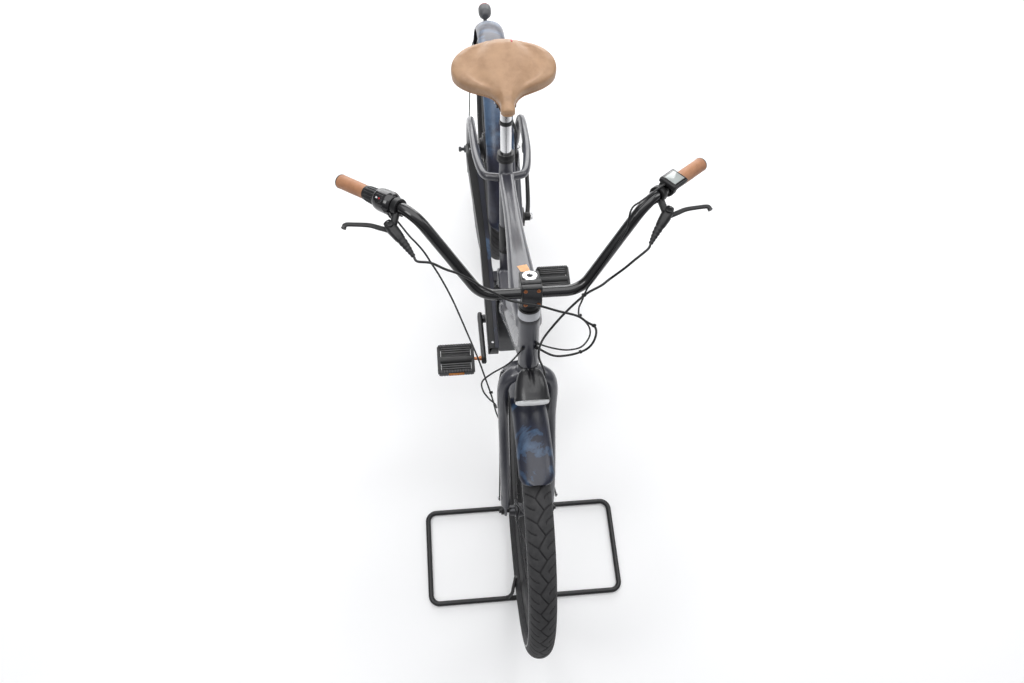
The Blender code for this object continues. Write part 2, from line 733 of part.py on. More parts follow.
def fork():
    def build(bm):
        rod(bm, head(CROWN_Z - 0.004), head(STEM_HIGH - 0.003), STEERER_RADIUS, 20)
    made = solid("fork", build, NAVY, head(HEAD_LOW))
    parts = [solid("part", lambda bm: rod(bm, head(CROWN_Z - 0.012), head(HEAD_LOW - SEAT_GAP),
                                          HEAD_RADIUS, 20))]
    for side in (-1, 1):
        line = leg_line(side)
        count = len(line)
        widths = taper(LEG_RADIUS * 1.12, LEG_RADIUS * 0.92, count)
        depths = taper(LEG_DEPTH * 1.10, LEG_DEPTH * 0.82, count)
        parts.append(solid("part", lambda bm, a=line, w=widths, d=depths: loft(
            bm, oval_rings(a, w, d, 12, 0.9, up=Vector((0, 1, 0.0001))))))
        outline = [(FRONT_Y - 0.013, AXLE_Z - 0.006), (FRONT_Y - 0.007, AXLE_Z - 0.013),
                   (FRONT_Y + 0.007, AXLE_Z - 0.013), (FRONT_Y + 0.014, AXLE_Z - 0.004),
                   (FRONT_Y + 0.020, AXLE_Z + 0.030), (FRONT_Y - 0.002, AXLE_Z + 0.032)]
        x = side * LEG_X
        parts.append(solid("part", lambda bm, x=x, o=outline: plate(bm, o, x - DROP_HALF, x + DROP_HALF)))
    middle = caliper_centre(FRONT_AXLE, FRONT_DISC_X, 60)
    lug = [(FRONT_Y + 0.006, AXLE_Z + 0.012), (middle.y + 0.008, middle.z - 0.014),
           (middle.y + 0.008, middle.z + 0.014), (FRONT_Y + 0.032, AXLE_Z + 0.072)]
    parts.append(solid("part", lambda bm: plate(bm, lug, LEG_X - LUG_HALF, LEG_X + LUG_HALF * 0.6)))
    angle = guard_angle(FRONT_GUARD, 5)
    tongue = [guard_point(FRONT_AXLE, angle, 0, SEAT_GAP), guard_point(FRONT_AXLE, angle, 0, 0.068)]
    parts.append(solid("part", lambda bm: rod(bm, tongue[0], tongue[1], 0.0065, 12)))
    made = combine(made, parts)
    bore = solid("bore", lambda bm: rod(bm, FRONT_AXLE - X_AXIS * 0.1, FRONT_AXLE + X_AXIS * 0.1,
                                        AXLE_RADIUS + BORE_GAP, 16))
    return combine(made, [bore], "DIFFERENCE")


def axle_pin(name, axle, inner, nut, reach_left, reach_right):
    """Axle rod with a nut outside each dropout."""
    nut_radius = 0.0095
    r = AXLE_RADIUS
    profile = [(-reach_right, 0), (-reach_right, r), (-inner - nut, r), (-inner - nut, nut_radius),
               (-inner, nut_radius), (-inner, r), (inner, r), (inner, nut_radius),
               (inner + nut, nut_radius), (inner + nut, r), (reach_left, r), (reach_left, 0)]
    return solid(name, lambda bm: turned(bm, profile, axle, X_AXIS, 12, loop=False), STEEL, axle)


def guard_stay(name, axle, anchor, angle):
    """Two wires, one on each side, joined by a bridge that lies on the blade."""
    lift = WIRE_RADIUS + SEAT_GAP
    edge = guard_point(axle, angle, 1, lift)
    left = [anchor, anchor.lerp(edge, 0.30), anchor.lerp(edge, 0.85) + X_AXIS * 0.004, edge,
            guard_point(axle, angle, 2 / 3, lift), guard_point(axle, angle, 1 / 3, lift)]
    whole = left + [guard_point(axle, angle, 0, lift)] + [flip(p) for p in reversed(left)]
    return solid(name, lambda bm: add_tube(bm, smooth_line(whole, 2), WIRE_RADIUS, 6), STEEL)


# Cockpit

def stem():
    """Block that clamps the steerer, with a raised face in front that clamps the bar."""
    middle = head((STEM_LOW + STEM_HIGH) / 2)
    tall = (head(STEM_HIGH) - head(STEM_LOW)).length / 2
    rise = (head(BAR_LEVEL) - middle).length
    half = STEM_WIDTH / 2
    back = STEERER_RADIUS + STEM_WALL
    face_back = STEM_REACH - BAR_RADIUS - 0.002
    front = STEM_REACH + BAR_RADIUS + STEM_WALL
    turn = Matrix((X_AXIS, HEAD_FRONT, HEAD_AXIS)).transposed().to_4x4()
    turn.translation = middle
    def clamp(bm, low, high):
        block(bm, low, high, 0.003)
        bmesh.ops.transform(bm, matrix=turn, verts=bm.verts)
    made = solid("stem", lambda bm: clamp(bm, (-half, -back, -tall), (half, STEM_REACH - 0.006, tall)),
                 BLACK, head(STEM_LOW))
    face = solid("part", lambda bm: clamp(bm, (-half, face_back, rise - FACE_HALF),
                                          (half, front, rise + FACE_HALF)))
    made = combine(made, [face])
    bores = [solid("bore", lambda bm: rod(bm, head(STEM_LOW - 0.05), head(STEM_HIGH + 0.05),
                                          STEERER_RADIUS + BORE_GAP, 20)),
             solid("bore", lambda bm: rod(bm, BAR_CENTRE - X_AXIS * 0.1, BAR_CENTRE + X_AXIS * 0.1,
                                          BAR_RADIUS + BORE_GAP, 16))]
    return combine(made, bores, "DIFFERENCE")


def bar_line():
    bend = round_corners([BAR_CENTRE, BAR_CENTRE + X_AXIS * BAR_LOW_BEND_X, at(*BAR_HIGH_BEND), at(*BAR_END)],
                         0.055, 4)
    right_side = [p for p in bend[1:]]
    left_side = [flip(p) for p in reversed(right_side)]
    return left_side + [BAR_CENTRE] + right_side


def bar_direction(side):
    a = at(*BAR_HIGH_BEND)
    b = at(*BAR_END)
    if side < 0:
        a = flip(a)
        b = flip(b)
    return b, (a - b).normalized()


def sleeve(name, side, start, end, outer, skin, closed_end=False):
    """A sleeve on the bar between two distances from its end, with (share, radius) steps."""
    tip, inward = bar_direction(side)
    bore = BAR_RADIUS + BORE_GAP
    profile = []
    for share, radius in outer:
        profile.append((start + (end - start) * share, radius))
    if closed_end:
        profile = [(start - 0.005, 0), (start - 0.005, GRIP_RADIUS * 0.8)] + profile
        profile = profile + [(end, bore), (start - 0.0015, bore), (start - 0.0015, 0)]
        return solid(name, lambda bm: turned(bm, profile, tip, inward, 16, loop=False), skin, head(HEAD_LOW))
    profile = profile + [(end, bore), (start, bore)]
    return solid(name, lambda bm: turned(bm, profile, tip, inward, 20), skin, head(HEAD_LOW))


def brake_lever(name, side):
    """Clamp, slanted master cylinder with its boot, and the lever blade, in one body."""
    tip, inward = bar_direction(side)
    clamp_at = tip + inward * LEVER_PLACE
    def m(x, y, z):
        return at(side * x, y, z)
    def clamp(bm):
        bore = BAR_RADIUS + BORE_GAP
        turned(bm, [(-0.007, bore), (-0.007, bore + 0.005), (0.007, bore + 0.005), (0.007, bore)],
               clamp_at, inward, 20)
    made = solid(name, clamp, BLACK, head(HEAD_LOW))
    body = smooth_line([m(0.268, 0.341, 1.112), m(0.255, 0.322, 1.108), m(*BOOT_ROOT), m(*BOOT_END)], 2)
    drop = (m(0.258, 0.328, 1.110) - clamp_at).normalized()
    arm = [clamp_at + drop * 0.009, m(0.258, 0.328, 1.110)]
    blade = smooth_line([m(0.262, 0.326, 1.104), m(0.282, 0.336, 1.101), m(0.302, 0.345, 1.099),
                         m(0.330, 0.350, 1.097), m(0.346, 0.351, 1.096), m(0.350, 0.343, 1.096)], 2)
    thick = [0.0075, 0.0105, 0.0110, 0.0095, 0.0080, 0.0060, 0.0040]
    parts = [solid("part", lambda bm: loft(bm, oval_rings(body, thick, thick, 8))),
             solid("part", lambda bm: loft(bm, oval_rings(arm, 0.0070, 0.0070, 6))),
             solid("part", lambda bm: loft(bm, oval_rings(blade, 0.0048, 0.0040, 6)))]
    made = combine(made, parts)
    bore = solid("bore", lambda bm: rod(bm, tip, tip + inward * BAR_STRAIGHT_END, BAR_RADIUS + BORE_GAP, 20))
    return combine(made, [bore], "DIFFERENCE")


def display():
    tip, inward = bar_direction(1)
    centre = tip + inward * DISPLAY_PLACE
    out = Vector((0, 0, 1))
    along = inward
    rise = (out - along * out.dot(along)).normalized()
    across = along.cross(rise)
    def build(bm):
        block(bm, (-0.024, -0.019, 0.0), (0.024, 0.019, 0.012), 0.003)
        matrix = Matrix((along, across, rise)).transposed().to_4x4()
        matrix.translation = centre + rise * 0.016 + across * -0.004
        bmesh.ops.transform(bm, matrix=matrix, verts=bm.verts)
    made = solid("display", build, BLACK, head(HEAD_LOW))
    def clamp(bm):
        bore = BAR_RADIUS + BORE_GAP
        turned(bm, [(-0.006, bore), (-0.006, bore + 0.006), (0.006, bore + 0.006), (0.006, bore)],
               centre, inward, 20)
    return combine(made, [solid("part", clamp)])


def headlamp():
    """Hooded twin-lobed lamp body on the crown's front."""
    base = head(CROWN_Z + 0.020)
    def lobe(bm, side):
        line = [base + Vector((side * 0.012, -HEAD_RADIUS - 0.004, 0.030)),
                base + Vector((side * 0.015, -HEAD_RADIUS - 0.016, 0.030)),
                base + Vector((side * 0.017, -HEAD_RADIUS - 0.040, 0.022)),
                base + Vector((side * 0.018, -HEAD_RADIUS - 0.066, 0.010))]
        loft(bm, oval_rings(line, [0.010, 0.015, 0.0185, 0.0200], [0.012, 0.017, 0.021, 0.023], 12))
    made = solid("headlamp", lambda bm: lobe(bm, -1), BLACK, head(HEAD_LOW))
    foot = solid("part", lambda bm: block(bm, base + Vector((-0.008, -HEAD_RADIUS - 0.016, 0.012)),
                                          base + Vector((0.008, 0, 0.030)), 0.0))
    made = combine(made, [solid("part", lambda bm: lobe(bm, 1)), foot])
    cut = solid("cut", lambda bm: rod(bm, head(HEAD_LOW - 0.05), head(HEAD_HIGH), HEAD_RADIUS + SEAT_GAP, 24))
    return combine(made, [cut], "DIFFERENCE")


def headlamp_lens():
    base = head(CROWN_Z + 0.020)
    line = [base + Vector((0, -HEAD_RADIUS - 0.0682, 0.0085)),
            base + Vector((0, -HEAD_RADIUS - 0.0752, 0.0060))]
    rings = oval_rings(line, [0.036, 0.033], [0.021, 0.018], 20, 0.8)
    return solid("headlamp_lens", lambda bm: loft(bm, rings), LENS, head(HEAD_LOW))


def cable(name, points, radius, steps=2):
    """A round cord through hand-picked points on a smooth curve."""
    line = smooth_line(points, steps)
    curve = bpy.data.curves.new(name, "CURVE")
    curve.dimensions = "3D"
    spline = curve.splines.new("POLY")
    spline.points.add(len(line) - 1)
    for place, p in zip(spline.points, line):
        place.co = (*p, 1.0)
    curve.bevel_depth = radius
    curve.bevel_resolution = 2
    curve.use_fill_caps = True
    curve.resolution_u = 1
    curve.render_resolution_u = 0
    made = bpy.data.objects.new(name, curve)
    curve.materials.append(BLACK)
    bpy.context.scene.collection.objects.link(made)
    return made


# Floor stand

def floor_stand():
    z = STAND_TUBE * math.cos(math.pi / STAND_SIDES)
    corners = [at(-STAND_HALF_WIDTH, STAND_FRONT, z), at(STAND_HALF_WIDTH, STAND_FRONT, z),
               at(STAND_HALF_WIDTH, STAND_REAR, z), at(-STAND_HALF_WIDTH, STAND_REAR, z)]
    line = round_corners(corners, STAND_CORNER, 4, loop=True)
    made = solid("floor_stand", lambda bm: add_tube(bm, line, STAND_TUBE, STAND_SIDES, loop=True,
                                                    up=Vector((0, 0, 1))), BLACK, head(HEAD_LOW))
    parts = []
    x = TYRE_WIDTH / 2 + SEAT_GAP + STRUT_RADIUS
    for side in (-1, 1):
        path = smooth_line([at(side * STRUT_FOOT, STAND_FRONT, z),
                            at(side * (x + 0.0045), STAND_FRONT + 0.007, 0.035),
                            at(side * x, STAND_FRONT + 0.019, 0.060),
                            at(side * (x - 0.007), STAND_FRONT + 0.038, 0.095)], 2)
        parts.append(solid("part", lambda bm, p=path: add_tube(bm, p, STRUT_RADIUS, STRUT_SIDES)))
    return combine(made, parts)


# Rear end and drive

def cog(name, centre, x, teeth, pitch_radius, bore, skin):
    """A toothed ring on its hub, turned first and cut round its rim."""
    half = 0.0011
    def build(bm):
        rings = []
        root = pitch_radius - 0.0046
        tip = pitch_radius + 0.0030
        outline = []
        for k in range(teeth):
            for share, r in ((-0.30, root), (-0.10, tip), (0.10, tip), (0.30, root)):
                turn = 2 * math.pi * (k + share) / teeth
                outline.append((r * math.sin(turn), r * math.cos(turn)))
        for side in (-1, 1):
            rings.append([centre + Vector((x + side * half, y, z)) for y, z in outline])
        loft(bm, rings)
    made = solid(name, build, skin, centre)
    ends = (centre + X_AXIS * (x - 0.02), centre + X_AXIS * (x + 0.02))
    hole = solid("bore", lambda bm: rod(bm, *ends, bore, 24))
    return combine(made, [hole], "DIFFERENCE")


def ring_radius(teeth):
    return CHAIN_PITCH / (2 * math.sin(math.pi / teeth))


def chain_line(steps):
    """Points along the chain's loop round the chainring and the sprocket, so many a link."""
    big = ring_radius(RING_TEETH)
    small = ring_radius(SPROCKET_TEETH)
    a = Vector((BRACKET.y, BRACKET.z))
    b = Vector((REAR_AXLE.y, REAR_AXLE.z))
    gap = (b - a).length
    along = (b - a).normalized()
    rise = Vector((-along.y, along.x))
    lean = math.asin((big - small) / gap)
    run = gap * math.cos(lean)
    half_big = math.pi / 2 + lean
    half_small = math.pi / 2 - lean
    parts = [run, small * 2 * half_small, run, big * 2 * half_big]
    total = sum(parts)
    count = 2 * round(total / CHAIN_PITCH / 2) * steps
    points = []
    for k in range(count):
        s = total * k / count
        if s < parts[0]:
            start = a + (rise * math.cos(lean) + along * math.sin(lean)) * big
            end = b + (rise * math.cos(lean) + along * math.sin(lean)) * small
            p = start.lerp(end, s / parts[0])
        elif s < parts[0] + parts[1]:
            turn = math.pi / 2 - lean - (s - parts[0]) / small
            p = b + (along * math.cos(turn) + rise * math.sin(turn)) * small
        elif s < parts[0] + parts[1] + parts[2]:
            start = b + (-rise * math.cos(lean) + along * math.sin(lean)) * small
            end = a + (-rise * math.cos(lean) + along * math.sin(lean)) * big
            p = start.lerp(end, (s - parts[0] - parts[1]) / parts[2])
        else:
            turn = -math.pi / 2 + lean - (s - parts[0] - parts[1] - parts[2]) / big
            p = a + (along * math.cos(turn) + rise * math.sin(turn)) * big
        points.append(Vector((CHAIN_X, p.x, p.y)))
    return points


def chain():
    """Inner and outer links in turn, each with a waist between its pin ends."""
    line = chain_line(3)
    rings = []
    for i, (side, rise) in enumerate(frames(line, loop=True, up=X_AXIS)):
        wide, high = CHAIN_OUTER if (i // 3) % 2 else CHAIN_INNER
        if i % 3 == 1:
            high = CHAIN_WAIST
        corners = ((1, 1), (-1, 1), (-1, -1), (1, -1))
        rings.append([line[i] + side * u * high + rise * v * wide for u, v in corners])
    return solid("chain", lambda bm: loft(bm, rings, closed=True), STEEL)


def crankset():
    reach = CRANK_X + CRANK_WIDTH / 2
    made = solid("crankset", lambda bm: rod(bm, BRACKET - X_AXIS * reach, BRACKET + X_AXIS * reach,
                                            SPINDLE_RADIUS, 20), BLACK, BRACKET)
    parts = []
    for side in (-1, 1):
        end = pedal_centre(side)
        line = [Vector((side * CRANK_X, BRACKET.y, BRACKET.z)), Vector((side * CRANK_X, end.y, end.z))]
        along = (line[1] - line[0]).normalized()
        line = [line[0] - along * 0.016, line[0], line[0].lerp(line[1], 0.5), line[1],
                line[1] + along * 0.014]
        half = CRANK_WIDTH / 2
        rings = oval_rings(line, [0.0120, 0.0175, 0.0120, 0.0125, 0.0090], [half] * 5, 10, 0.7, up=X_AXIS)
        parts.append(solid("part", lambda bm, r=rings: loft(bm, r), BLACK))
        stub = Vector((side * (CRANK_X + CRANK_WIDTH / 2 - 0.003), end.y, end.z))
        tip = Vector((side * PEDAL_OUTER * 0.94, end.y, end.z))
        parts.append(solid("part", lambda bm, a=stub, b=tip: rod(bm, a, b, 0.0045, 12), STEEL))
    return combine(made, parts)


def pedal_centre(side):
    """Right pedal forward and up, left pedal back and down."""
    turn = CRANK_ANGLE
    sign = 1 if side < 0 else -1
    return BRACKET + Vector((side * (PEDAL_INNER + PEDAL_OUTER) / 2, -sign * CRANK_LENGTH * math.cos(turn),
                             sign * CRANK_LENGTH * math.sin(turn)))


def pedal(name, side):
    centre = pedal_centre(side)
    half_x = (PEDAL_OUTER - PEDAL_INNER) / 2
    half_y = PEDAL_DEPTH / 2
    half_z = PEDAL_THICKNESS / 2
    made = solid(name, lambda bm: block(bm, centre - Vector((half_x, half_y, half_z)),
                                        centre + Vector((half_x, half_y, half_z)), 0.006), BLACK, centre)
    tools = []
    for sign in (-1, 1):
        low = centre + Vector((-half_x * 0.66, sign * half_y * 0.50 - 0.010, -0.03))
        high = centre + Vector((half_x * 0.66, sign * half_y * 0.50 + 0.010, 0.03))
        tools.append(solid("cut", lambda bm, a=low, b=high: block(bm, a, b)))
    tools.append(solid("bore", lambda bm: rod(bm, centre - X_AXIS * 0.08, centre + X_AXIS * 0.08,
                                              0.0045 + BORE_GAP, 16)))
    return combine(made, tools, "DIFFERENCE")


def chain_guard():
    """Long channel over the upper run of the chain, open below."""
    stations = [(0.478, -0.0660, -0.0380, 0.402), (0.560, -0.0660, -0.0370, 0.404),
                (0.775, -0.0668, -0.0390, 0.411), (1.080, -0.0860, -0.0440, 0.424),
                (1.128, -0.0860, -0.0480, 0.412)]
    skin = 0.0022
    depth = 0.052
    rings = []
    for y, outer, inner, top in stations:
        section = [(outer, top - depth), (outer, top - 0.004), (outer + 0.005, top), (inner, top),
                   (inner, top - skin), (outer + 0.0055, top - skin), (outer + skin, top - 0.005),
                   (outer + skin, top - depth)]
        rings.append([at(x, y, z) for x, z in section])
    made = solid("chain_guard", lambda bm: loft(bm, rings), NAVY)
    front = [at(-0.0480, 0.590, 0.3980), at(-CRADLE_HALF - SEAT_GAP, 0.620, 0.4046)]
    rear = [at(-0.0850, 1.066, 0.3450), at(-0.0660, 1.086, 0.3740)]
    parts = [solid("part", lambda bm, a=low, b=high: block(bm, a, b)) for low, high in (front, rear)]
    made = combine(made, parts)
    return combine(made, [stay_cutter(-1)], "DIFFERENCE")


def saddle():
    spec = [(0.766, 0.012, 0.934, 0.022), (0.772, 0.019, 0.938, 0.030), (0.800, 0.023, 0.942, 0.036),
            (0.828, 0.038, 0.943, 0.038), (0.853, 0.078, 0.944, 0.040), (0.876, 0.112, 0.947, 0.044),
            (0.905, 0.128, 0.951, 0.048), (0.940, 0.124, 0.956, 0.050), (0.966, 0.098, 0.959, 0.046),
            (0.982, 0.050, 0.958, 0.036)]
    rings = []
    for y, half, top, thick in spec:
        ring = []
        for k in range(16):
            turn = 2 * math.pi * (k + 0.5) / 16
            c = math.cos(turn)
            s = math.sin(turn)
            x = half * math.copysign(abs(c) ** 0.7, c)
            z = top - thick / 2 + thick / 2 * math.copysign(abs(s) ** 0.8, s)
            ring.append(at(x, y, z))
        rings.append(ring)
    return solid("saddle", lambda bm: loft(bm, rings), LEATHER)


def seatpost():
    return solid("seatpost", lambda bm: rod(bm, seat(SEAT_TOP[1] - 0.070), seat(POST_TOP_Z), POST_RADIUS, 20),
                 STEEL)


def seat_collar():
    bore = SEAT_TUBE_RADIUS + BORE_GAP
    low = seat(SEAT_TOP[1] - 0.018)
    length = (seat(SEAT_TOP[1]) - low).length
    lip = length + SEAT_GAP
    post_bore = POST_RADIUS + BORE_GAP
    profile = [(0, bore), (0, bore + 0.005), (lip + 0.002, bore + 0.004), (lip + 0.002, post_bore),
               (lip, post_bore), (lip, bore)]
    return solid("seat_collar", lambda bm: turned(bm, profile, low, SEAT_AXIS, 20), BLACK)


def saddle_frame():
    """Clamp head on the seatpost with the saddle's two rails."""
    top = seat(POST_TOP_Z) + SEAT_AXIS * SEAT_GAP
    made = solid("saddle_frame", lambda bm: rod(bm, top, top + SEAT_AXIS * 0.016, POST_RADIUS + 0.004, 20),
                 BLACK)
    low, high = (-0.024, 0.818, 0.887), (0.024, 0.850, 0.9005)
    parts = [solid("part", lambda bm: block(bm, at(*low), at(*high), 0.002))]
    for side in (-1, 1):
        line = smooth_line([at(side * 0.008, 0.790, 0.9026), at(side * 0.014, 0.806, 0.8950),
                            at(side * 0.020, 0.835, 0.8935), at(side * 0.030, 0.880, 0.8940),
                            at(side * 0.045, 0.925, 0.9016)], 2)
        parts.append(solid("part", lambda bm, a=line: add_tube(bm, a, 0.0035, 8)))
    return combine(made, parts)


def tail_lamp():
    """Round lamp on a short arm from the rear mudguard's crown."""
    foot = guard_point(REAR_AXLE, guard_angle(REAR_GUARD, LAMP_STATION))
    out = (foot - REAR_AXLE).normalized()
    rear = Vector((0, REAR_Y + REAR_REACH, foot.z + LAMP_RISE))
    front = rear - Vector((0, 0.045, 0))
    radius = 0.020
    profile = [(0, 0), (0, radius * 0.55), (0.006, radius * 0.85), (0.016, radius), (0.037, radius),
               (0.037, 0)]
    made = solid("tail_lamp", lambda bm: turned(bm, profile, front, Vector((0, 1, 0)), 20, loop=False),
                 CHARCOAL)
    arm = solid("part", lambda bm: rod(bm, foot + out * SEAT_GAP, foot + out * 0.044, 0.006, 12))
    return combine(made, [arm])


def tail_lens():
    foot = guard_point(REAR_AXLE, guard_angle(REAR_GUARD, LAMP_STATION))
    rear = Vector((0, REAR_Y + REAR_REACH, foot.z + LAMP_RISE))
    profile = [(-0.0075, 0), (-0.0075, 0.0185), (-0.003, 0.0175), (0, 0.010), (0, 0)]
    return solid("tail_lens", lambda bm: turned(bm, profile, rear, Vector((0, 1, 0)), 20, loop=False), RED)


def kickstand():
    pivot = at(*KICK_PIVOT)
    end = pivot + Vector((0.016, KICK_LENGTH - 0.015, 0.010))
    line = smooth_line([pivot, pivot + Vector((0.008, 0.060, 0.000)), pivot + Vector((0.014, 0.170, 0.006)),
                        end], 2)
    made = solid("kickstand", lambda bm: add_tube(bm, line, 0.0070, 10), BLACK, pivot)
    eye = solid("part", lambda bm: rod(bm, pivot - X_AXIS * 0.009, pivot + X_AXIS * 0.009, 0.0130, 16))
    pad = Vector((0.009, 0.015, 0.011))
    foot = solid("part", lambda bm: block(bm, end - pad, end + pad, 0.004))
    made = combine(made, [eye, foot])
    bore = solid("bore", lambda bm: rod(bm, pivot - X_AXIS * 0.02, pivot + X_AXIS * 0.02, 0.0055, 16))
    return combine(made, [bore], "DIFFERENCE")


def stay_cutter(side):
    """The lower stay's form, larger by the seating gap."""
    return solid("cut", lambda bm: add_tube(bm, lower_stay_line(side), STAY_RADIUS + SEAT_GAP, 8))


def kickstand_bracket():
    """Clamp foot under the left lower stay with the pivot pin."""
    pivot = at(*KICK_PIVOT)
    pin = (pivot - X_AXIS * 0.024, pivot + X_AXIS * 0.014)
    made = solid("kickstand_bracket", lambda bm: rod(bm, *pin, 0.0050, 12), CHARCOAL)
    parts = [solid("part", lambda bm: rod(bm, pivot + X_AXIS * 0.0105, pivot + X_AXIS * 0.016, 0.0100, 12)),
             solid("part", lambda bm: block(bm, pivot + Vector((-0.040, -0.030, -0.012)),
                                            pivot + Vector((-0.0095, 0.030, 0.024)), 0.003))]
    made = combine(made, parts)
    return combine(made, [stay_cutter(1)], "DIFFERENCE")


def caliper_centre(axle, x, angle):
    turn = math.radians(angle)
    reach = DISC_RADIUS * 0.93
    return axle + Vector((x, reach * math.sin(turn), reach * math.cos(turn)))


def caliper(name, axle, x, angle, face, origin):
    """Brake caliper that straddles its disc, bolted to a lug whose inner face is at the given x."""
    centre = caliper_centre(axle, x, angle)
    low = centre - Vector((0.0090, 0.020, 0.020))
    high = Vector((face - SEAT_GAP, centre.y + 0.020, centre.z + 0.020))
    made = solid(name, lambda bm: block(bm, low, high, 0.002), BLACK, origin)
    half = DISC_HALF + PAD_GAP
    rim = DISC_RADIUS + 0.004
    slot = [(x - half, 0.03), (x - half, rim), (x + half, rim), (x + half, 0.03)]
    cut = solid("cut", lambda bm: turned(bm, slot, axle, X_AXIS, 36))
    return combine(made, [cut], "DIFFERENCE")


def hub_actuator():
    """Shifting block on the right axle end."""
    x = -(STAY_X + DROPOUT_THICKNESS / 2 + 0.008 + SEAT_GAP)
    place = REAR_AXLE + X_AXIS * x
    ends = (place - X_AXIS * 0.024, place - X_AXIS * 0.0005)
    return solid("hub_actuator", lambda bm: rod(bm, *ends, 0.0120, 16), CHARCOAL)


# Cords that the bicycle holds all the way

def hose_start(side):
    """First two points of a hose, just clear of its lever's boot."""
    end = at(*BOOT_END)
    out = (end - at(*BOOT_ROOT)).normalized()
    pair = [end + out * HOSE_START, end + out * 0.012]
    return pair if side > 0 else [flip(p) for p in pair]


def hose_rear():
    """From the right lever across under the stem's face, round a loop and in at the head tube's left."""
    points = [(-0.191, 0.262, 1.087), (-0.166, 0.256, 1.073), (-0.140, 0.251, 1.061), (-0.113, 0.249, 1.035),
              (-0.101, 0.245, 1.024), (-0.074, 0.238, 1.007), (-0.048, 0.230, 0.991), (-0.019, 0.225, 0.984),
              (0.014, 0.220, 0.978), (0.051, 0.217, 0.959), (0.091, 0.214, 0.940), (0.112, 0.209, 0.921),
              (0.130, 0.205, 0.905), (0.134, 0.199, 0.882), (0.128, 0.192, 0.856), (0.113, 0.188, 0.836),
              (0.082, 0.186, 0.823), (0.049, 0.190, 0.818), PORT]
    return cable("hose_rear", hose_start(-1) + [at(*p) for p in points], HOSE_RADIUS)


def hose_front():
    """From the left lever down in front of the head tube and behind the lamp to the crown."""
    points = [(0.192, 0.250, 1.081), (0.172, 0.244, 1.059), (0.148, 0.240, 1.031), (0.131, 0.231, 1.0235),
              (0.102, 0.226, 1.0015), (0.072, 0.228, 0.937), (0.044, 0.212, 0.905), (0.025, 0.203, 0.866),
              (0.019, 0.196, 0.835), (0.021, 0.190, 0.805), (0.028, 0.184, 0.783), (0.033, 0.180, 0.765),
              (0.0345, 0.1745, 0.7505)]
    return cable("hose_front", hose_start(1) + [at(*p) for p in points], HOSE_RADIUS)


def gear_cable():
    """From the twist shifter in a long arc down to the back of the right fork leg."""
    tip, inward = bar_direction(-1)
    down = Vector((0, -0.8, -0.6))
    down = (down - inward * inward.dot(down)).normalized()
    start = tip + inward * (LEVER_PLACE - 0.013) + down * 0.0222
    points = [(-0.228, 0.312, 1.106), (-0.216, 0.300, 1.099), (-0.203, 0.290, 1.083), (-0.191, 0.280, 1.059),
              (-0.176, 0.268, 1.027), (-0.155, 0.250, 0.969), (-0.133, 0.232, 0.884), (-0.109, 0.208, 0.794),
              (-0.097, 0.190, 0.748), (-0.080, 0.170, 0.668), (-0.0705, 0.160, 0.605),
              (-0.064, 0.1535, 0.578), (-0.0575, 0.1345, 0.5565)]
    line = [start, start + inward * 0.012 + down * 0.002] + [at(*p) for p in points]
    return cable("gear_cable", line, CABLE_RADIUS)


def display_cable():
    """From the display along the bar, then inside the hose's loop to the head tube."""
    tip, inward = bar_direction(1)
    rise = Vector((0, 0, 1)) - inward * inward.z
    start = tip + inward * (DISPLAY_PLACE + 0.0245) + rise.normalized() * 0.0198
    points = [(0.204, 0.334, 1.147), (0.189, 0.325, 1.1445), (0.182, 0.315, 1.138), (0.180, 0.305, 1.123),
              (0.176, 0.296, 1.108), (0.149, 0.274, 1.059), (0.116, 0.246, 1.014), (0.107, 0.240, 0.9965),
              (0.097, 0.224, 0.979), (0.094, 0.223, 0.955), (0.099, 0.225, 0.919), (0.113, 0.219, 0.903),
              (0.122, 0.213, 0.887), (0.124, 0.207, 0.868), (0.117, 0.200, 0.849), (0.104, 0.196, 0.834),
              (0.077, 0.196, 0.828), (0.045, 0.202, 0.831), SECOND_PORT]
    line = [start, start + inward * 0.012] + [at(*p) for p in points]
    return cable("display_cable", line, CABLE_RADIUS)


def wiring_loop():
    """From the head tube's right side round a small loop to the right fork leg's outer side."""
    points = [flip(at(*PORT)), at(-0.030, 0.196, 0.808), at(-0.048, 0.190, 0.786), at(-0.082, 0.180, 0.767),
              at(-0.102, 0.172, 0.747), at(-0.100, 0.166, 0.713), at(-0.088, 0.160, 0.684),
              at(-0.074, 0.157, 0.658), at(-0.070, 0.157, 0.636)]
    return cable("wiring_loop", points, CABLE_RADIUS)


# Building everything

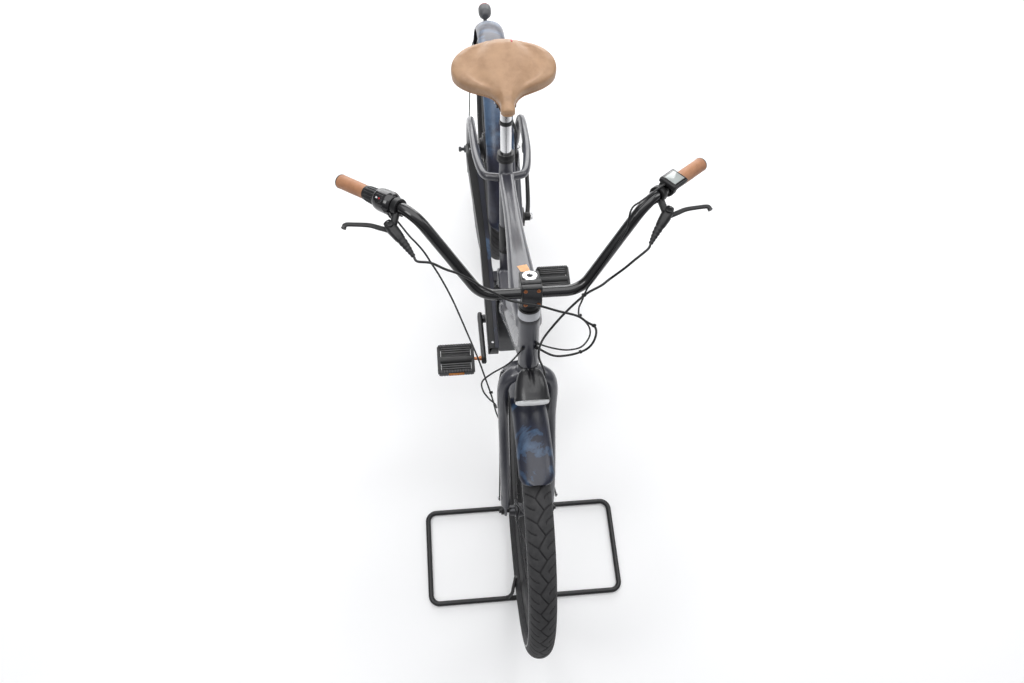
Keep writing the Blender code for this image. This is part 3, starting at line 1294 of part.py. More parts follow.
def build_front():
    parts = [fork(),
             axle_pin("front_axle", FRONT_AXLE, LEG_X + 0.0045, 0.007, LEG_X + 0.016, LEG_X + 0.016),
             mudguard("front_mudguard", FRONT_AXLE, FRONT_GUARD, GALAXY),
             guard_stay("front_guard_stay", FRONT_AXLE, at(LEG_X + 0.0147, 0.018, 0.400),
                        guard_angle(FRONT_GUARD, 12)),
             stem(), display(), headlamp(), headlamp_lens(), floor_stand()]
    parts.append(solid("steerer_cap", lambda bm: rod(bm, head(STEM_HIGH + 0.0004), head(STEM_HIGH + 0.0040),
                                                     0.0155, 24), ALLOY, head(HEAD_LOW)))
    bore = STEERER_RADIUS + BORE_GAP
    low = head(HEAD_HIGH)
    length = (head(STEM_LOW) - low).length - SEAT_GAP
    profile = [(SEAT_GAP, bore), (SEAT_GAP, 0.0205), (length, 0.0175), (length, bore)]
    parts.append(solid("headset_cone", lambda bm: turned(bm, profile, low, HEAD_AXIS, 20), BLACK,
                       head(HEAD_LOW)))
    parts.append(solid("handlebar", lambda bm: add_tube(bm, bar_line(), BAR_RADIUS, 12), BLACK,
                       head(HEAD_LOW)))
    parts.append(sleeve("grip_left", 1, 0.0, GRIP_LENGTH_LEFT, [(0, GRIP_RADIUS), (1, GRIP_RADIUS * 0.97)],
                        LEATHER, True))
    parts.append(sleeve("grip_right", -1, 0.0, GRIP_LENGTH_RIGHT, [(0, GRIP_RADIUS), (1, GRIP_RADIUS * 0.97)],
                        LEATHER, True))
    parts.append(sleeve("twist_shifter", -1, GRIP_LENGTH_RIGHT + SEAT_GAP, LEVER_PLACE - 0.0075,
                        [(0, 0.0150), (0.35, 0.0165), (0.48, 0.0215), (0.58, 0.0225), (0.85, 0.0225),
                         (1, 0.0170)],
                        BLACK))
    parts.append(brake_lever("brake_lever_left", 1))
    parts.append(brake_lever("brake_lever_right", -1))
    parts.append(caliper("front_caliper", FRONT_AXLE, FRONT_DISC_X, 60, LEG_X - LUG_HALF, head(HEAD_LOW)))
    return parts + [hose_front(), hose_rear(), gear_cable(), display_cable(), wiring_loop()]


def build_all():
    steering = joint_empty("steering_axis", head(HEAD_LOW))
    carry(steering, build_front())
    front = joint_empty("front_wheel_axis", FRONT_AXLE)
    carry(front, [tyre("front_tyre", FRONT_AXLE),
                  wheel("front_wheel", FRONT_AXLE, front_hub_shell(), 0.028, 0.0235),
                  disc("front_disc", FRONT_AXLE, FRONT_DISC_X, FRONT_DISC_SEAT + SEAT_GAP, DISC_RADIUS)])
    rear = joint_empty("rear_wheel_axis", REAR_AXLE)
    carry(rear, [tyre("rear_tyre", REAR_AXLE),
                 wheel("rear_wheel", REAR_AXLE, rear_hub_shell(), 0.0285, 0.0435),
                 disc("rear_disc", REAR_AXLE, REAR_DISC_X, REAR_DISC_SEAT + SEAT_GAP, DISC_RADIUS),
                 cog("sprocket", REAR_AXLE, CHAIN_X, SPROCKET_TEETH, ring_radius(SPROCKET_TEETH) - 0.0080,
                     DRIVER_RADIUS + SEAT_GAP, STEEL)])
    crank = joint_empty("crank_axis", BRACKET)
    carry(crank, [crankset(), cog("chainring", BRACKET, CHAIN_X, RING_TEETH, ring_radius(RING_TEETH) - 0.0080,
                                  SPINDLE_RADIUS + SEAT_GAP, STEEL)])
    for name, side in (("pedal_right", -1), ("pedal_left", 1)):
        carry(joint_empty(name + "_axis", pedal_centre(side)), [pedal(name, side)])
    carry(joint_empty("kickstand_axis", at(*KICK_PIVOT)), [kickstand()])
    main_frame()
    rear_stays()
    motor_unit()
    battery()
    seatpost()
    seat_collar()
    saddle()
    saddle_frame()
    mudguard("rear_mudguard", REAR_AXLE, REAR_GUARD, GALAXY)
    side = STAY_X + DROPOUT_THICKNESS / 2 + SEAT_GAP + WIRE_RADIUS
    guard_stay("rear_guard_stay", REAR_AXLE, Vector((side, REAR_Y + 0.0155, AXLE_Z + 0.012)),
               guard_angle(REAR_GUARD, 15))
    tail_lamp()
    tail_lens()
    chain_guard()
    chain()
    inner = STAY_X + DROPOUT_THICKNESS / 2 + SEAT_GAP
    axle_pin("rear_axle", REAR_AXLE, inner, 0.008, inner + 0.012, inner + 0.0078)
    hub_actuator()
    kickstand_bracket()
    caliper("rear_caliper", REAR_AXLE, REAR_DISC_X, -62, STAY_X - DROPOUT_THICKNESS / 2, Vector((0, 0, 0)))


build_all()
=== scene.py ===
# Looks of the cruiser bicycle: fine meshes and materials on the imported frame.
# Metres, +Z up, front toward -Y, rider's left toward +X, as in the part's source.

import json
import math

import bmesh
import bpy
import numpy as np
from mathutils import Matrix, Vector
from mathutils.bvhtree import BVHTree

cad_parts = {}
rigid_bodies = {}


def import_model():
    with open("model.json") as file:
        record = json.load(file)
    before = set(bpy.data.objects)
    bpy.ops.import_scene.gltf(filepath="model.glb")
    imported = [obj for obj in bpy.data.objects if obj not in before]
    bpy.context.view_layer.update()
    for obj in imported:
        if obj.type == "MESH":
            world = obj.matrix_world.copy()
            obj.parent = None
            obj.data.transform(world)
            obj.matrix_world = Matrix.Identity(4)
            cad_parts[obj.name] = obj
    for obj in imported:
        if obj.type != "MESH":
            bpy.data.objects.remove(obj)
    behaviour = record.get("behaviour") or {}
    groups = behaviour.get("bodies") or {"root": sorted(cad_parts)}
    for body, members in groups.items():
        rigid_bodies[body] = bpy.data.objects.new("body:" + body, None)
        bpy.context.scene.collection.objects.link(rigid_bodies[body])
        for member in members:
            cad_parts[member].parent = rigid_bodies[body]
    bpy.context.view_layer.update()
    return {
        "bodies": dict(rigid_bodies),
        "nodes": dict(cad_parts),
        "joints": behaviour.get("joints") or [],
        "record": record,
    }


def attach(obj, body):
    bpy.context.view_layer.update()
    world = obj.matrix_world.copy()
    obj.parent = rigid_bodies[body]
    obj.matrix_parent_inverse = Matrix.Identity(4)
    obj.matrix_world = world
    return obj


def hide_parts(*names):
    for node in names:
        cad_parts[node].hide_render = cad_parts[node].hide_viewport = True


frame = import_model()

# Values shared with the part's source
WHEEL_RADIUS = 0.350
TYRE_WIDTH = 0.062
FRONT_Y = -0.600
REAR_Y = 0.560
AXLE_Z = 0.350
RIM_EDGE = 0.3012
HEAD_ANGLE = math.radians(70.0)
TRAIL = 0.075
HEAD_LOW = 0.762
HEAD_HIGH = 0.915
HEAD_RADIUS = 0.0225
STEERER_RADIUS = 0.0143
STEM_LOW = 0.936
STEM_HIGH = 0.985
STEM_REACH = 0.030
BAR_LEVEL = 0.970
FACE_HALF = 0.0240
STEM_WALL = 0.0055
CROWN_Z = 0.738
LEG_X = 0.0545
SEAT_FOOT = (0.655, 0.330)
SEAT_TOP = (0.790, 0.760)
SEAT_TUBE_RADIUS = 0.0175
POST_RADIUS = 0.0138
POST_TOP_Z = 0.880
STAY_X = 0.0715
STAY_RADIUS = 0.0110
CHAIN_X = -0.0500
CHAIN_PITCH = 0.0127
RING_TEETH = 38
SPROCKET_TEETH = 20
BAR_RADIUS = 0.0111
GRIP_RADIUS = 0.0142
DISPLAY_PLACE = 0.126
LEVER_PLACE = 0.160
GRIP_LENGTH_LEFT = 0.112
GRIP_LENGTH_RIGHT = 0.076
HOSE_RADIUS = 0.0024
CABLE_RADIUS = 0.0018
PORT = (0.0143, 0.2060, 0.829)
SECOND_PORT = (0.0150, 0.2095, 0.841)
GUARD_RADIUS = 0.372
GUARD_HALF = 0.0390
GUARD_SKIN = 0.0020
GUARD_DROP = 0.020
GUARD_SWEEP = math.radians(78.0)
FRONT_GUARD = (-9.0, 118.0)
REAR_GUARD = (-80.0, 92.0)
REACH_REAR = 0.390
LAMP_ANGLE = -80.0 + 172.0 * 14 / 17
LAMP_RISE = 0.0293
STAND_TUBE = 0.0075
STAND_HALF_WIDTH = 0.262
STAND_FRONT = -0.147
STAND_REAR = 0.108
STAND_CORNER = 0.024
STRUT_FOOT = 0.054
STRUT_RADIUS = 0.0048
PEDAL_X = 0.155
CASE_FRONT = 0.432
CASE_BACK = 1.128
RIM_FOOT = RIM_EDGE - 0.030
GAP = 0.0003
BAR_BORE = BAR_RADIUS + 0.0004
DROPOUT_HALF = 0.003
FRONT_DISC_X = 0.039
REAR_DISC_X = 0.056
DISC_HALF = 0.0009
DISC_RADIUS = 0.080
FRONT_CALIPER_ANGLE = 60
REAR_CALIPER_ANGLE = -62
CRANK_LENGTH = 0.170
CRANK_ANGLE = math.radians(22.0)
MOTOR_SIDES = (-0.0325, 0.0505)
SPOKES = 28
FOCAL_PIXELS = 842.48
PHOTO_WIDTH = 1024.0
SENSOR_WIDTH = 36.0
FLOOR_GLOW = 0.12
FLOOR_FADE = (1.8, 4.5)

X_AXIS = np.array((1.0, 0.0, 0.0))
Y_AXIS = np.array((0.0, 1.0, 0.0))
Z_AXIS = np.array((0.0, 0.0, 1.0))


# Places

def vec(*values):
    return np.array(values, float)


def unit(v):
    return v / np.linalg.norm(v)


def at(x, y, z):
    """A point with y counted from the front axle."""
    return vec(x, FRONT_Y + y, z)


def head(z):
    """The point on the steering axis at height z."""
    return vec(0, FRONT_Y - TRAIL + z / math.tan(HEAD_ANGLE), z)


def seat(z):
    """The point on the seat tube's axis at height z."""
    share = (z - SEAT_FOOT[1]) / (SEAT_TOP[1] - SEAT_FOOT[1])
    return at(0, SEAT_FOOT[0] + share * (SEAT_TOP[0] - SEAT_FOOT[0]), z)


def flip(p):
    """The same point on the other side."""
    return vec(-p[0], p[1], p[2])


def turns_of(count, offset=0.0):
    """Even angles round a full turn."""
    return 2 * math.pi * (np.arange(count) + offset) / count


def spin(centre, turn, radius, x=0.0):
    """The point at a radius and a turn round the X axis through a centre."""
    return centre + vec(x, radius * math.sin(turn), radius * math.cos(turn))


FRONT_AXLE = vec(0, FRONT_Y, AXLE_Z)
REAR_AXLE = vec(0, REAR_Y, AXLE_Z)
BRACKET = at(0, 0.585, 0.288)
HEAD_AXIS = vec(0, math.cos(HEAD_ANGLE), math.sin(HEAD_ANGLE))
HEAD_FRONT = vec(0, -math.sin(HEAD_ANGLE), math.cos(HEAD_ANGLE))
BAR_CENTRE = head(BAR_LEVEL) + HEAD_FRONT * STEM_REACH
SEAT_AXIS = unit(seat(1.0) - seat(0.0))
SEAT_BACK = unit(np.cross(SEAT_AXIS, X_AXIS))
BAR_HIGH_BEND = at(0.217, 0.337, 1.140)
BAR_END = at(0.357, 0.467, 1.079)


# Shapes

class Shape:
    """Points and faces of one piece; each face keeps the number of its material."""

    def __init__(self):
        self.points = []
        self.faces = []
        self.marks = []
        self.count = 0

    def add(self, points, faces, mark=0):
        points = np.asarray(points, float).reshape(-1, 3)
        start = self.count
        self.points.append(points)
        self.faces.extend([[start + int(i) for i in face] for face in faces])
        self.marks.extend([mark] * len(faces))
        self.count += len(points)
        return self

    def mesh(self, name):
        made = bpy.data.meshes.new(name)
        made.from_pydata(np.concatenate(self.points).tolist(), [], self.faces)
        made.polygons.foreach_set("material_index", self.marks)
        bm = bmesh.new()
        bm.from_mesh(made)
        bmesh.ops.recalc_face_normals(bm, faces=bm.faces)
        bm.to_mesh(made)
        bm.free()
        return made


def placed(name, data):
    """A new object in the scene."""
    made = bpy.data.objects.new(name, data)
    bpy.context.scene.collection.objects.link(made)
    return made


def make(name, shape, materials, body, nodes=(), angle=40.0):
    """The shape as a smooth-shaded piece that rides a body and stands for its nodes."""
    mesh = shape.mesh(name) if isinstance(shape, Shape) else shape
    mesh.shade_smooth()
    mesh.set_sharp_from_angle(angle=math.radians(angle))
    made = placed(name, mesh)
    for skin in materials if isinstance(materials, (list, tuple)) else [materials]:
        mesh.materials.append(skin)
    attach(made, body)
    if nodes:
        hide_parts(*nodes)
    return made


def loft(shape, rings, loop=False, caps=True, mark=0):
    """Skin over rings of points, all with the same number of points."""
    rings = np.asarray(rings, float)
    n, m = rings.shape[:2]
    i, j = np.meshgrid(np.arange(n if loop else n - 1), np.arange(m), indexing="ij")
    k = (i + 1) % n
    l = (j + 1) % m
    faces = np.stack([i * m + j, i * m + l, k * m + l, k * m + j], -1).reshape(-1, 4)
    points = rings.reshape(-1, 3)
    shape.add(points, faces.tolist(), mark)
    if not loop and caps:
        fan = [[m, a, (a + 1) % m] for a in range(m)]
        for ring in (0, n - 1):
            shape.add(np.vstack([rings[ring], rings[ring].mean(0)]), fan, mark)
    return shape


def smooth_line(points, steps):
    """Points along a curve through the given points."""
    p = [np.asarray(q, float) for q in points]
    ends = [2 * p[0] - p[1]] + p + [2 * p[-1] - p[-2]]
    line = []
    for i in range(1, len(ends) - 2):
        a, b, c, d = ends[i - 1:i + 3]
        for s in range(steps):
            t = s / steps
            line.append(0.5 * (2 * b + (c - a) * t + (2 * a - 5 * b + 4 * c - d) * t * t
                               + (3 * b - a - 3 * c + d) * t ** 3))
    line.append(p[-1])
    return np.array(line)


def round_corners(points, radius, steps, loop=False):
    """Straight runs joined by arcs."""
    points = [np.asarray(p, float) for p in points]
    count = len(points)
    line = []
    for i, corner in enumerate(points):
        if not loop and i in (0, count - 1):
            line.append(corner)
            continue
        before = unit(points[i - 1] - corner)
        after = unit(points[(i + 1) % count] - corner)
        half = math.acos(max(-1.0, min(1.0, float(before @ after)))) / 2
        reach = radius / math.tan(half)
        centre = corner + unit(before + after) * (radius / math.sin(half))
        for s in range(steps + 1):
            mix = corner + (before * (1 - s / steps) + after * (s / steps)) * reach - centre
            line.append(centre + unit(mix) * radius)
    return np.array(line)


def spaced(line, step):
    """The same line with points about one step apart."""
    line = np.asarray(line, float)
    gaps = np.linalg.norm(np.diff(line, axis=0), axis=1)
    along = np.concatenate([[0], np.cumsum(gaps)])
    count = max(2, int(round(along[-1] / step)) + 1)
    at_share = np.linspace(0, along[-1], count)
    return np.stack([np.interp(at_share, along, line[:, k]) for k in range(3)], -1)


def frames(line, loop=False, up=None):
    """Sideways and upward unit vectors at every point of a line."""
    count = len(line)
    sides, rises = [], []
    side = None
    for i in range(count):
        if loop:
            along = unit(line[(i + 1) % count] - line[i - 1])
        else:
            along = unit(line[min(i + 1, count - 1)] - line[max(i - 1, 0)])
        if up is not None:
            side = unit(np.cross(along, up))
        elif side is None:
            guide = Z_AXIS if abs(along[2]) < 0.9 else X_AXIS
            side = unit(np.cross(along, guide))
        else:
            side = unit(side - along * (side @ along))
        sides.append(side)
        rises.append(unit(np.cross(side, along)))
    return np.array(sides), np.array(rises)


def oval(line, widths, heights, sides=24, power=1.0, loop=False, up=None):
    """Rings of an oval section along a line; power under 1 is squarer."""
    side, rise = frames(line, loop, up)
    turn = turns_of(sides, 0.5)
    c, s = np.cos(turn), np.sin(turn)
    u = np.sign(c) * np.abs(c) ** power
    v = np.sign(s) * np.abs(s) ** power
    wide = np.broadcast_to(np.asarray(widths, float), (len(line),))
    high = np.broadcast_to(np.asarray(heights, float), (len(line),))
    return (np.asarray(line)[:, None, :] + side[:, None, :] * (u[None, :,
                                                                 None] * wide[:, None, None])
            + rise[:, None, :] * (v[None, :, None] * high[:, None, None]))


def between(values, count):
    """Values read evenly at more places, along a smooth curve."""
    values = np.asarray(values, float)
    spots = np.linspace(0, len(values) - 1, count)
    line = smooth_line([vec(v, 0, 0) for v in values], 8)[:, 0]
    return np.interp(spots * 8, np.arange(len(line)), line)


def tube(shape, line, radius, sides=20, loop=False, up=None, mark=0, caps=True):
    """A round tube along a line."""
    return loft(shape, oval(line, radius, radius, sides, 1.0, loop, up), loop, caps, mark)


def soften(profile, radius, loop=False, steps=3):
    """A profile of pairs with its corners rounded."""
    pts = [np.array(p, float) for p in profile]
    n = len(pts)
    out = []
    for i, p in enumerate(pts):
        if not loop and i in (0, n - 1):
            out.append(p)
            continue
        a, b = pts[i - 1] - p, pts[(i + 1) % n] - p
        la, lb = np.linalg.norm(a), np.linalg.norm(b)
        if la < 1e-9 or lb < 1e-9:
            out.append(p)
            continue
        r = min(radius, la * 0.45, lb * 0.45)
        start, end = p + a / la * r, p + b / lb * r
        for s in range(steps + 1):
            t = s / steps
            out.append((1 - t) ** 2 * start + 2 * t * (1 - t) * p + t * t * end)
    return out


def lathe(shape, profile, base, axis, segments=64, closed=True, mark=0, round_by=0.0):
    """Turn (along, radius) pairs about an axis; not closed means the ends lie on the axis."""
    if round_by:
        profile = soften(profile, round_by, closed)
    axis = unit(np.asarray(axis, float))
    guide = Z_AXIS if abs(axis[2]) < 0.9 else Y_AXIS
    side = unit(guide - axis * (guide @ axis))
    rise = np.cross(axis, side)
    turn = turns_of(segments)
    out = np.cos(turn)[:, None] * side + np.sin(turn)[:, None] * rise
    p = np.array([tuple(q) for q in profile], float)
    if not closed:
        p[0, 1] = max(p[0, 1], 1e-5)
        p[-1, 1] = max(p[-1, 1], 1e-5)
    rings = base + axis * p[None, :, 0, None] + out[:, None, :] * p[None, :, 1, None]
    n, m = rings.shape[:2]
    last = m if closed else m - 1
    i, j = np.meshgrid(np.arange(n), np.arange(last), indexing="ij")
    k = (i + 1) % n
    l = (j + 1) % m
    faces = np.stack([i * m + j, i * m + l, k * m + l, k * m + j], -1).reshape(-1, 4)
    return shape.add(rings.reshape(-1, 3), faces.tolist(), mark)


def collar(shape, low, high, inner, outer, base, axis, segments=64, mark=0, round_by=0.0):
    """A turned ring between two radii, or a solid disc where the inner one is 0."""
    profile = [(low, inner), (low, outer), (high, outer), (high, inner)]
    return lathe(shape, profile, base, axis, segments, inner > 0, mark, round_by)


def rod(shape, start, end, radius, segments=32, mark=0, edge=0.0008):
    """A round bar between two points."""
    start, end = np.asarray(start, float), np.asarray(end, float)
    length = float(np.linalg.norm(end - start))
    return collar(shape, 0, length, 0, radius, start, end - start, segments, mark, edge)


def outline_inset(outline, distance):
    """A closed outline of pairs moved inward by a distance."""
    p = np.array([tuple(q) for q in outline], float)
    area = np.sum(p[:, 0] * np.roll(p[:, 1], -1) - np.roll(p[:, 0], -1) * p[:, 1])
    tangent = np.roll(p, -1, 0) - np.roll(p, 1, 0)
    tangent /= np.linalg.norm(tangent, axis=1)[:, None] + 1e-12
    normal = np.stack([-tangent[:, 1], tangent[:, 0]], -1) * (1 if area > 0 else -1)
    return p + normal * distance


def prism(shape, outline, low, high, corner=0.0, bevel=0.001, mark=0, place=None):
    """An outline of (y, z) pairs between two x values, with round corners and bevelled edges."""
    flat = soften(outline, corner, True, 4) if corner else [np.array(q, float) for q in outline]
    inner = outline_inset(flat, bevel)
    mid = outline_inset(flat, bevel * 0.3)
    layers = [(inner, low), (mid, low + bevel * 0.3), (flat, low + bevel), (flat, high - bevel),
              (mid, high - bevel * 0.3), (inner, high)]
    rings = [[vec(x, q[0], q[1]) for q in ring] for ring, x in layers]
    if place is not None:
        rings = [[place(p) for p in ring] for ring in rings]
    return loft(shape, rings, False, True, mark)


def block(shape, low, high, bevel=0.001, segments=2, mark=0, matrix=None):
    """A box between two corners, with bevelled edges."""
    bm = bmesh.new()
    made = bmesh.ops.create_cube(bm, size=1.0)
    low, high = Vector(low), Vector(high)
    bmesh.ops.scale(bm, vec=high - low, verts=made["verts"])
    bmesh.ops.translate(bm, vec=(low + high) / 2, verts=made["verts"])
    bmesh.ops.bevel(bm, geom=list(bm.edges), offset=bevel, segments=segments, profile=0.5,
                    affect="EDGES")
    if matrix is not None:
        bmesh.ops.transform(bm, matrix=matrix, verts=bm.verts)
    bm.verts.index_update()
    points = [tuple(v.co) for v in bm.verts]
    faces = [[v.index for v in f.verts] for f in bm.faces]
    bm.free()
    return shape.add(points, faces, mark)


def basis(origin, x, y, z):
    """The matrix of a place with its own three axes."""
    made = Matrix((tuple(x), tuple(y), tuple(z))).transposed().to_4x4()
    made.translation = Vector(origin)
    return made


def bolt(shape, place, axis, radius=0.0035, height=0.0035, mark=0, sides=24):
    """Round cap head with a six-sided socket."""
    place, axis = np.asarray(place, float), unit(np.asarray(axis, float))
    profile = [(-0.0004, 0), (-0.0004, radius), (height * 0.75, radius), (height, radius * 0.82),
               (height, radius * 0.52), (height * 0.35, radius * 0.46), (height * 0.35, 0)]
    return lathe(shape, profile, place, axis, sides, False, mark)


# Joining several solids into one skin

def voxel_skin(made, size):
    """Remesh an object in small cubes."""
    remesh = made.modifiers.new("skin", "REMESH")
    remesh.mode = "VOXEL"
    remesh.voxel_size = size


def eased(made, steps):
    """Smooth an object's skin."""
    ease = made.modifiers.new("ease", "SMOOTH")
    ease.factor = 0.5
    ease.iterations = steps


def applied(made):
    """The object's mesh with its modifiers applied."""
    bpy.context.view_layer.update()
    graph = bpy.context.evaluated_depsgraph_get()
    return bpy.data.meshes.new_from_object(made.evaluated_get(graph))


def fused(name, shape, size, smooth_steps, body, node):
    """Overlapping solids melted into one smooth painted skin, as welded and filed tubes are."""
    made = placed(name, shape.mesh(name))
    voxel_skin(made, size)
    eased(made, smooth_steps)
    skin = applied(made)
    bpy.data.objects.remove(made, do_unlink=True)
    skin.name = name
    return make(name, skin, NAVY, body, (node,), 60.0)


# Materials

def nodes_for(name, colour, roughness, metallic=0.0):
    """A new material, its node tree and its shader."""
    made = bpy.data.materials.new(name)
    made.use_nodes = True
    tree = made.node_tree
    shader = tree.nodes["Principled BSDF"]
    shader.inputs["Base Color"].default_value = (*colour, 1.0)
    shader.inputs["Roughness"].default_value = roughness
    shader.inputs["Metallic"].default_value = metallic
    return made, tree, shader


def noise(tree, scale, detail=4.0, rough=0.5, stretch=None, distort=0.0):
    """The value of a noise texture in the object's own metres."""
    place = tree.nodes.new("ShaderNodeTexCoord")
    source = place.outputs["Object"]
    if stretch:
        move = tree.nodes.new("ShaderNodeMapping")
        move.inputs["Scale"].default_value = stretch
        tree.links.new(source, move.inputs["Vector"])
        source = move.outputs["Vector"]
    made = tree.nodes.new("ShaderNodeTexNoise")
    made.inputs["Scale"].default_value = scale
    made.inputs["Detail"].default_value = detail
    made.inputs["Roughness"].default_value = rough
    made.inputs["Distortion"].default_value = distort
    tree.links.new(source, made.inputs["Vector"])
    return made.outputs["Fac"]


def ramp(tree, source, stops):
    """Colours read off a value."""
    made = tree.nodes.new("ShaderNodeValToRGB")
    while len(made.color_ramp.elements) < len(stops):
        made.color_ramp.elements.new(0.5)
    for element, (place, colour) in zip(made.color_ramp.elements, stops):
        element.position = place
        element.color = (*colour, 1.0)
    tree.links.new(source, made.inputs["Fac"])
    return made.outputs["Color"]


def spread(tree, source, low, high, start=0.3, end=0.7, kind="LINEAR"):
    """A value moved from one range to another."""
    made = tree.nodes.new("ShaderNodeMapRange")
    made.interpolation_type = kind
    made.inputs["From Min"].default_value = start
    made.inputs["From Max"].default_value = end
    made.inputs["To Min"].default_value = low
    made.inputs["To Max"].default_value = high
    tree.links.new(source, made.inputs["Value"])
    return made.outputs["Result"]


def tinted(tree, shader, source, stops):
    """Base colour read off a value."""
    tree.links.new(ramp(tree, source, stops), shader.inputs["Base Color"])


def glossed(tree, shader, source, low, high):
    """Roughness read off a value."""
    tree.links.new(spread(tree, source, low, high), shader.inputs["Roughness"])


def bump(tree, source, shader, strength, distance, before=None):
    """Fine relief, on top of another where one is given."""
    made = tree.nodes.new("ShaderNodeBump")
    made.inputs["Strength"].default_value = strength
    made.inputs["Distance"].default_value = distance
    tree.links.new(source, made.inputs["Height"])
    if before is not None:
        tree.links.new(before.outputs["Normal"], made.inputs["Normal"])
    tree.links.new(made.outputs["Normal"], shader.inputs["Normal"])
    return made


def scaled(colour, by):
    """A lighter or darker colour."""
    return tuple(min(1.0, c * by) for c in colour)


def finish_of(name, colour, roughness, metallic=0.0, vary=0.12, patch=14.0, grain=900.0,
              lift=0.00004, coat=0.0, strength=0.35, specular=0.5):
    """Base for most surfaces: broad colour drift, uneven gloss and a fine grain."""
    made, tree, shader = nodes_for(name, colour, roughness, metallic)
    shader.inputs["Specular IOR Level"].default_value = specular
    shader.inputs["Coat Weight"].default_value = coat
    shader.inputs["Coat Roughness"].default_value = 0.12
    tinted(tree, shader, noise(tree, patch, 5.0, 0.6),
           [(0.30, scaled(colour, 1 - vary)), (0.70, scaled(colour, 1 + vary))])
    glossed(tree, shader, noise(tree, patch * 6, 3.0), roughness * 0.88, min(1.0, roughness * 1.14))
    bump(tree, noise(tree, grain, 2.0), shader, strength, lift)
    return made


def groove_shaded_tyre_rubber():
    """Tread rubber with painted shade: near black in the grooves that the mesh marks, as shade in the cuts.
    """
    made, tree, shader = nodes_for("tyre_rubber_painted_groove_shade", (0.09, 0.09, 0.095), 0.78)
    mark = tree.nodes.new("ShaderNodeAttribute")
    mark.attribute_name = "groove"
    tint = ramp(tree, noise(tree, 60.0, 6.0, 0.65),
                [(0.25, (0.030, 0.030, 0.032)), (0.75, (0.056, 0.055, 0.057))])
    # Painted shade: the groove mark blends near-black into the rubber colour inside the cuts.
    mix = tree.nodes.new("ShaderNodeMix")
    mix.data_type = "RGBA"
    mix.inputs["B"].default_value = (0.005, 0.005, 0.006, 1.0)
    tree.links.new(mark.outputs["Fac"], mix.inputs["Factor"])
    tree.links.new(tint, mix.inputs["A"])
    tree.links.new(mix.outputs["Result"], shader.inputs["Base Color"])
    bump(tree, noise(tree, 1400.0, 3.0), shader, 0.5, 0.00010)
    return made


def cloud_paint(name, stops, drift=7.0, roughness=0.34):
    """Blue paint with a soft design of drifting cloud shapes under a satin coat."""
    made, tree, shader = nodes_for(name, stops[0][1], roughness)
    tint = ramp(tree, noise(tree, drift, 9.0, 0.62, None, 0.9), stops)
    speck = ramp(tree, noise(tree, 55.0, 6.0, 0.7), [(0.35, (0.72, 0.72, 0.76)),
                                                     (0.68, (1.15, 1.15, 1.18))])
    mix = tree.nodes.new("ShaderNodeMix")
    mix.data_type = "RGBA"
    mix.blend_type = "MULTIPLY"
    mix.inputs["Factor"].default_value = 0.7
    tree.links.new(tint, mix.inputs["A"])
    tree.links.new(speck, mix.inputs["B"])
    tree.links.new(mix.outputs["Result"], shader.inputs["Base Color"])
    shader.inputs["Coat Weight"].default_value = 0.35
    shader.inputs["Coat Roughness"].default_value = 0.25
    bump(tree, noise(tree, 700.0, 2.0), shader, 0.25, 0.00003)
    return made


def leather(name, colour, dark, scale=620.0, roughness=0.55, depth=0.00022):
    """Grained leather: cells, fine creases and a worn colour."""
    made, tree, shader = nodes_for(name, colour, roughness)
    tinted(tree, shader, noise(tree, 26.0, 7.0, 0.62, None, 0.3),
           [(0.28, dark), (0.52, colour), (0.80, scaled(colour, 1.16))])
    place = tree.nodes.new("ShaderNodeTexCoord")
    cells = tree.nodes.new("ShaderNodeTexVoronoi")
    cells.feature = "DISTANCE_TO_EDGE"
    cells.inputs["Scale"].default_value = scale
    tree.links.new(place.outputs["Object"], cells.inputs["Vector"])
    edge = spread(tree, cells.outputs["Distance"], 0.0, 1.0, 0.0, 0.28)
    first = bump(tree, edge, shader, 0.45, depth)
    bump(tree, noise(tree, 120.0, 5.0), shader, 0.35, depth * 1.6, first)
    glossed(tree, shader, noise(tree, 90.0, 3.0), roughness * 0.85, roughness * 1.2)
    return made


def brushed(name, colour, roughness, stretch, scale=260.0):
    """Bare metal with a fine drawn grain."""
    made, tree, shader = nodes_for(name, colour, roughness, 1.0)
    streak = noise(tree, scale, 3.0, 0.6, stretch)
    tinted(tree, shader, streak, [(0.3, scaled(colour, 0.86)), (0.7, scaled(colour, 1.08))])
    glossed(tree, shader, streak, roughness * 0.8, roughness * 1.3)
    bump(tree, streak, shader, 0.15, 0.00003)
    return made


def clear_plastic(name, colour, roughness, pass_through):
    """Lens plastic with a faint flow in it."""
    made, tree, shader = nodes_for(name, colour, roughness)
    shader.inputs["Transmission Weight"].default_value = pass_through
    shader.inputs["IOR"].default_value = 1.49
    tinted(tree, shader, noise(tree, 120.0, 2.0), [(0.3, scaled(colour, 0.94)), (0.7, colour)])
    bump(tree, noise(tree, 300.0, 1.0), shader, 0.2, 0.00004)
    return made


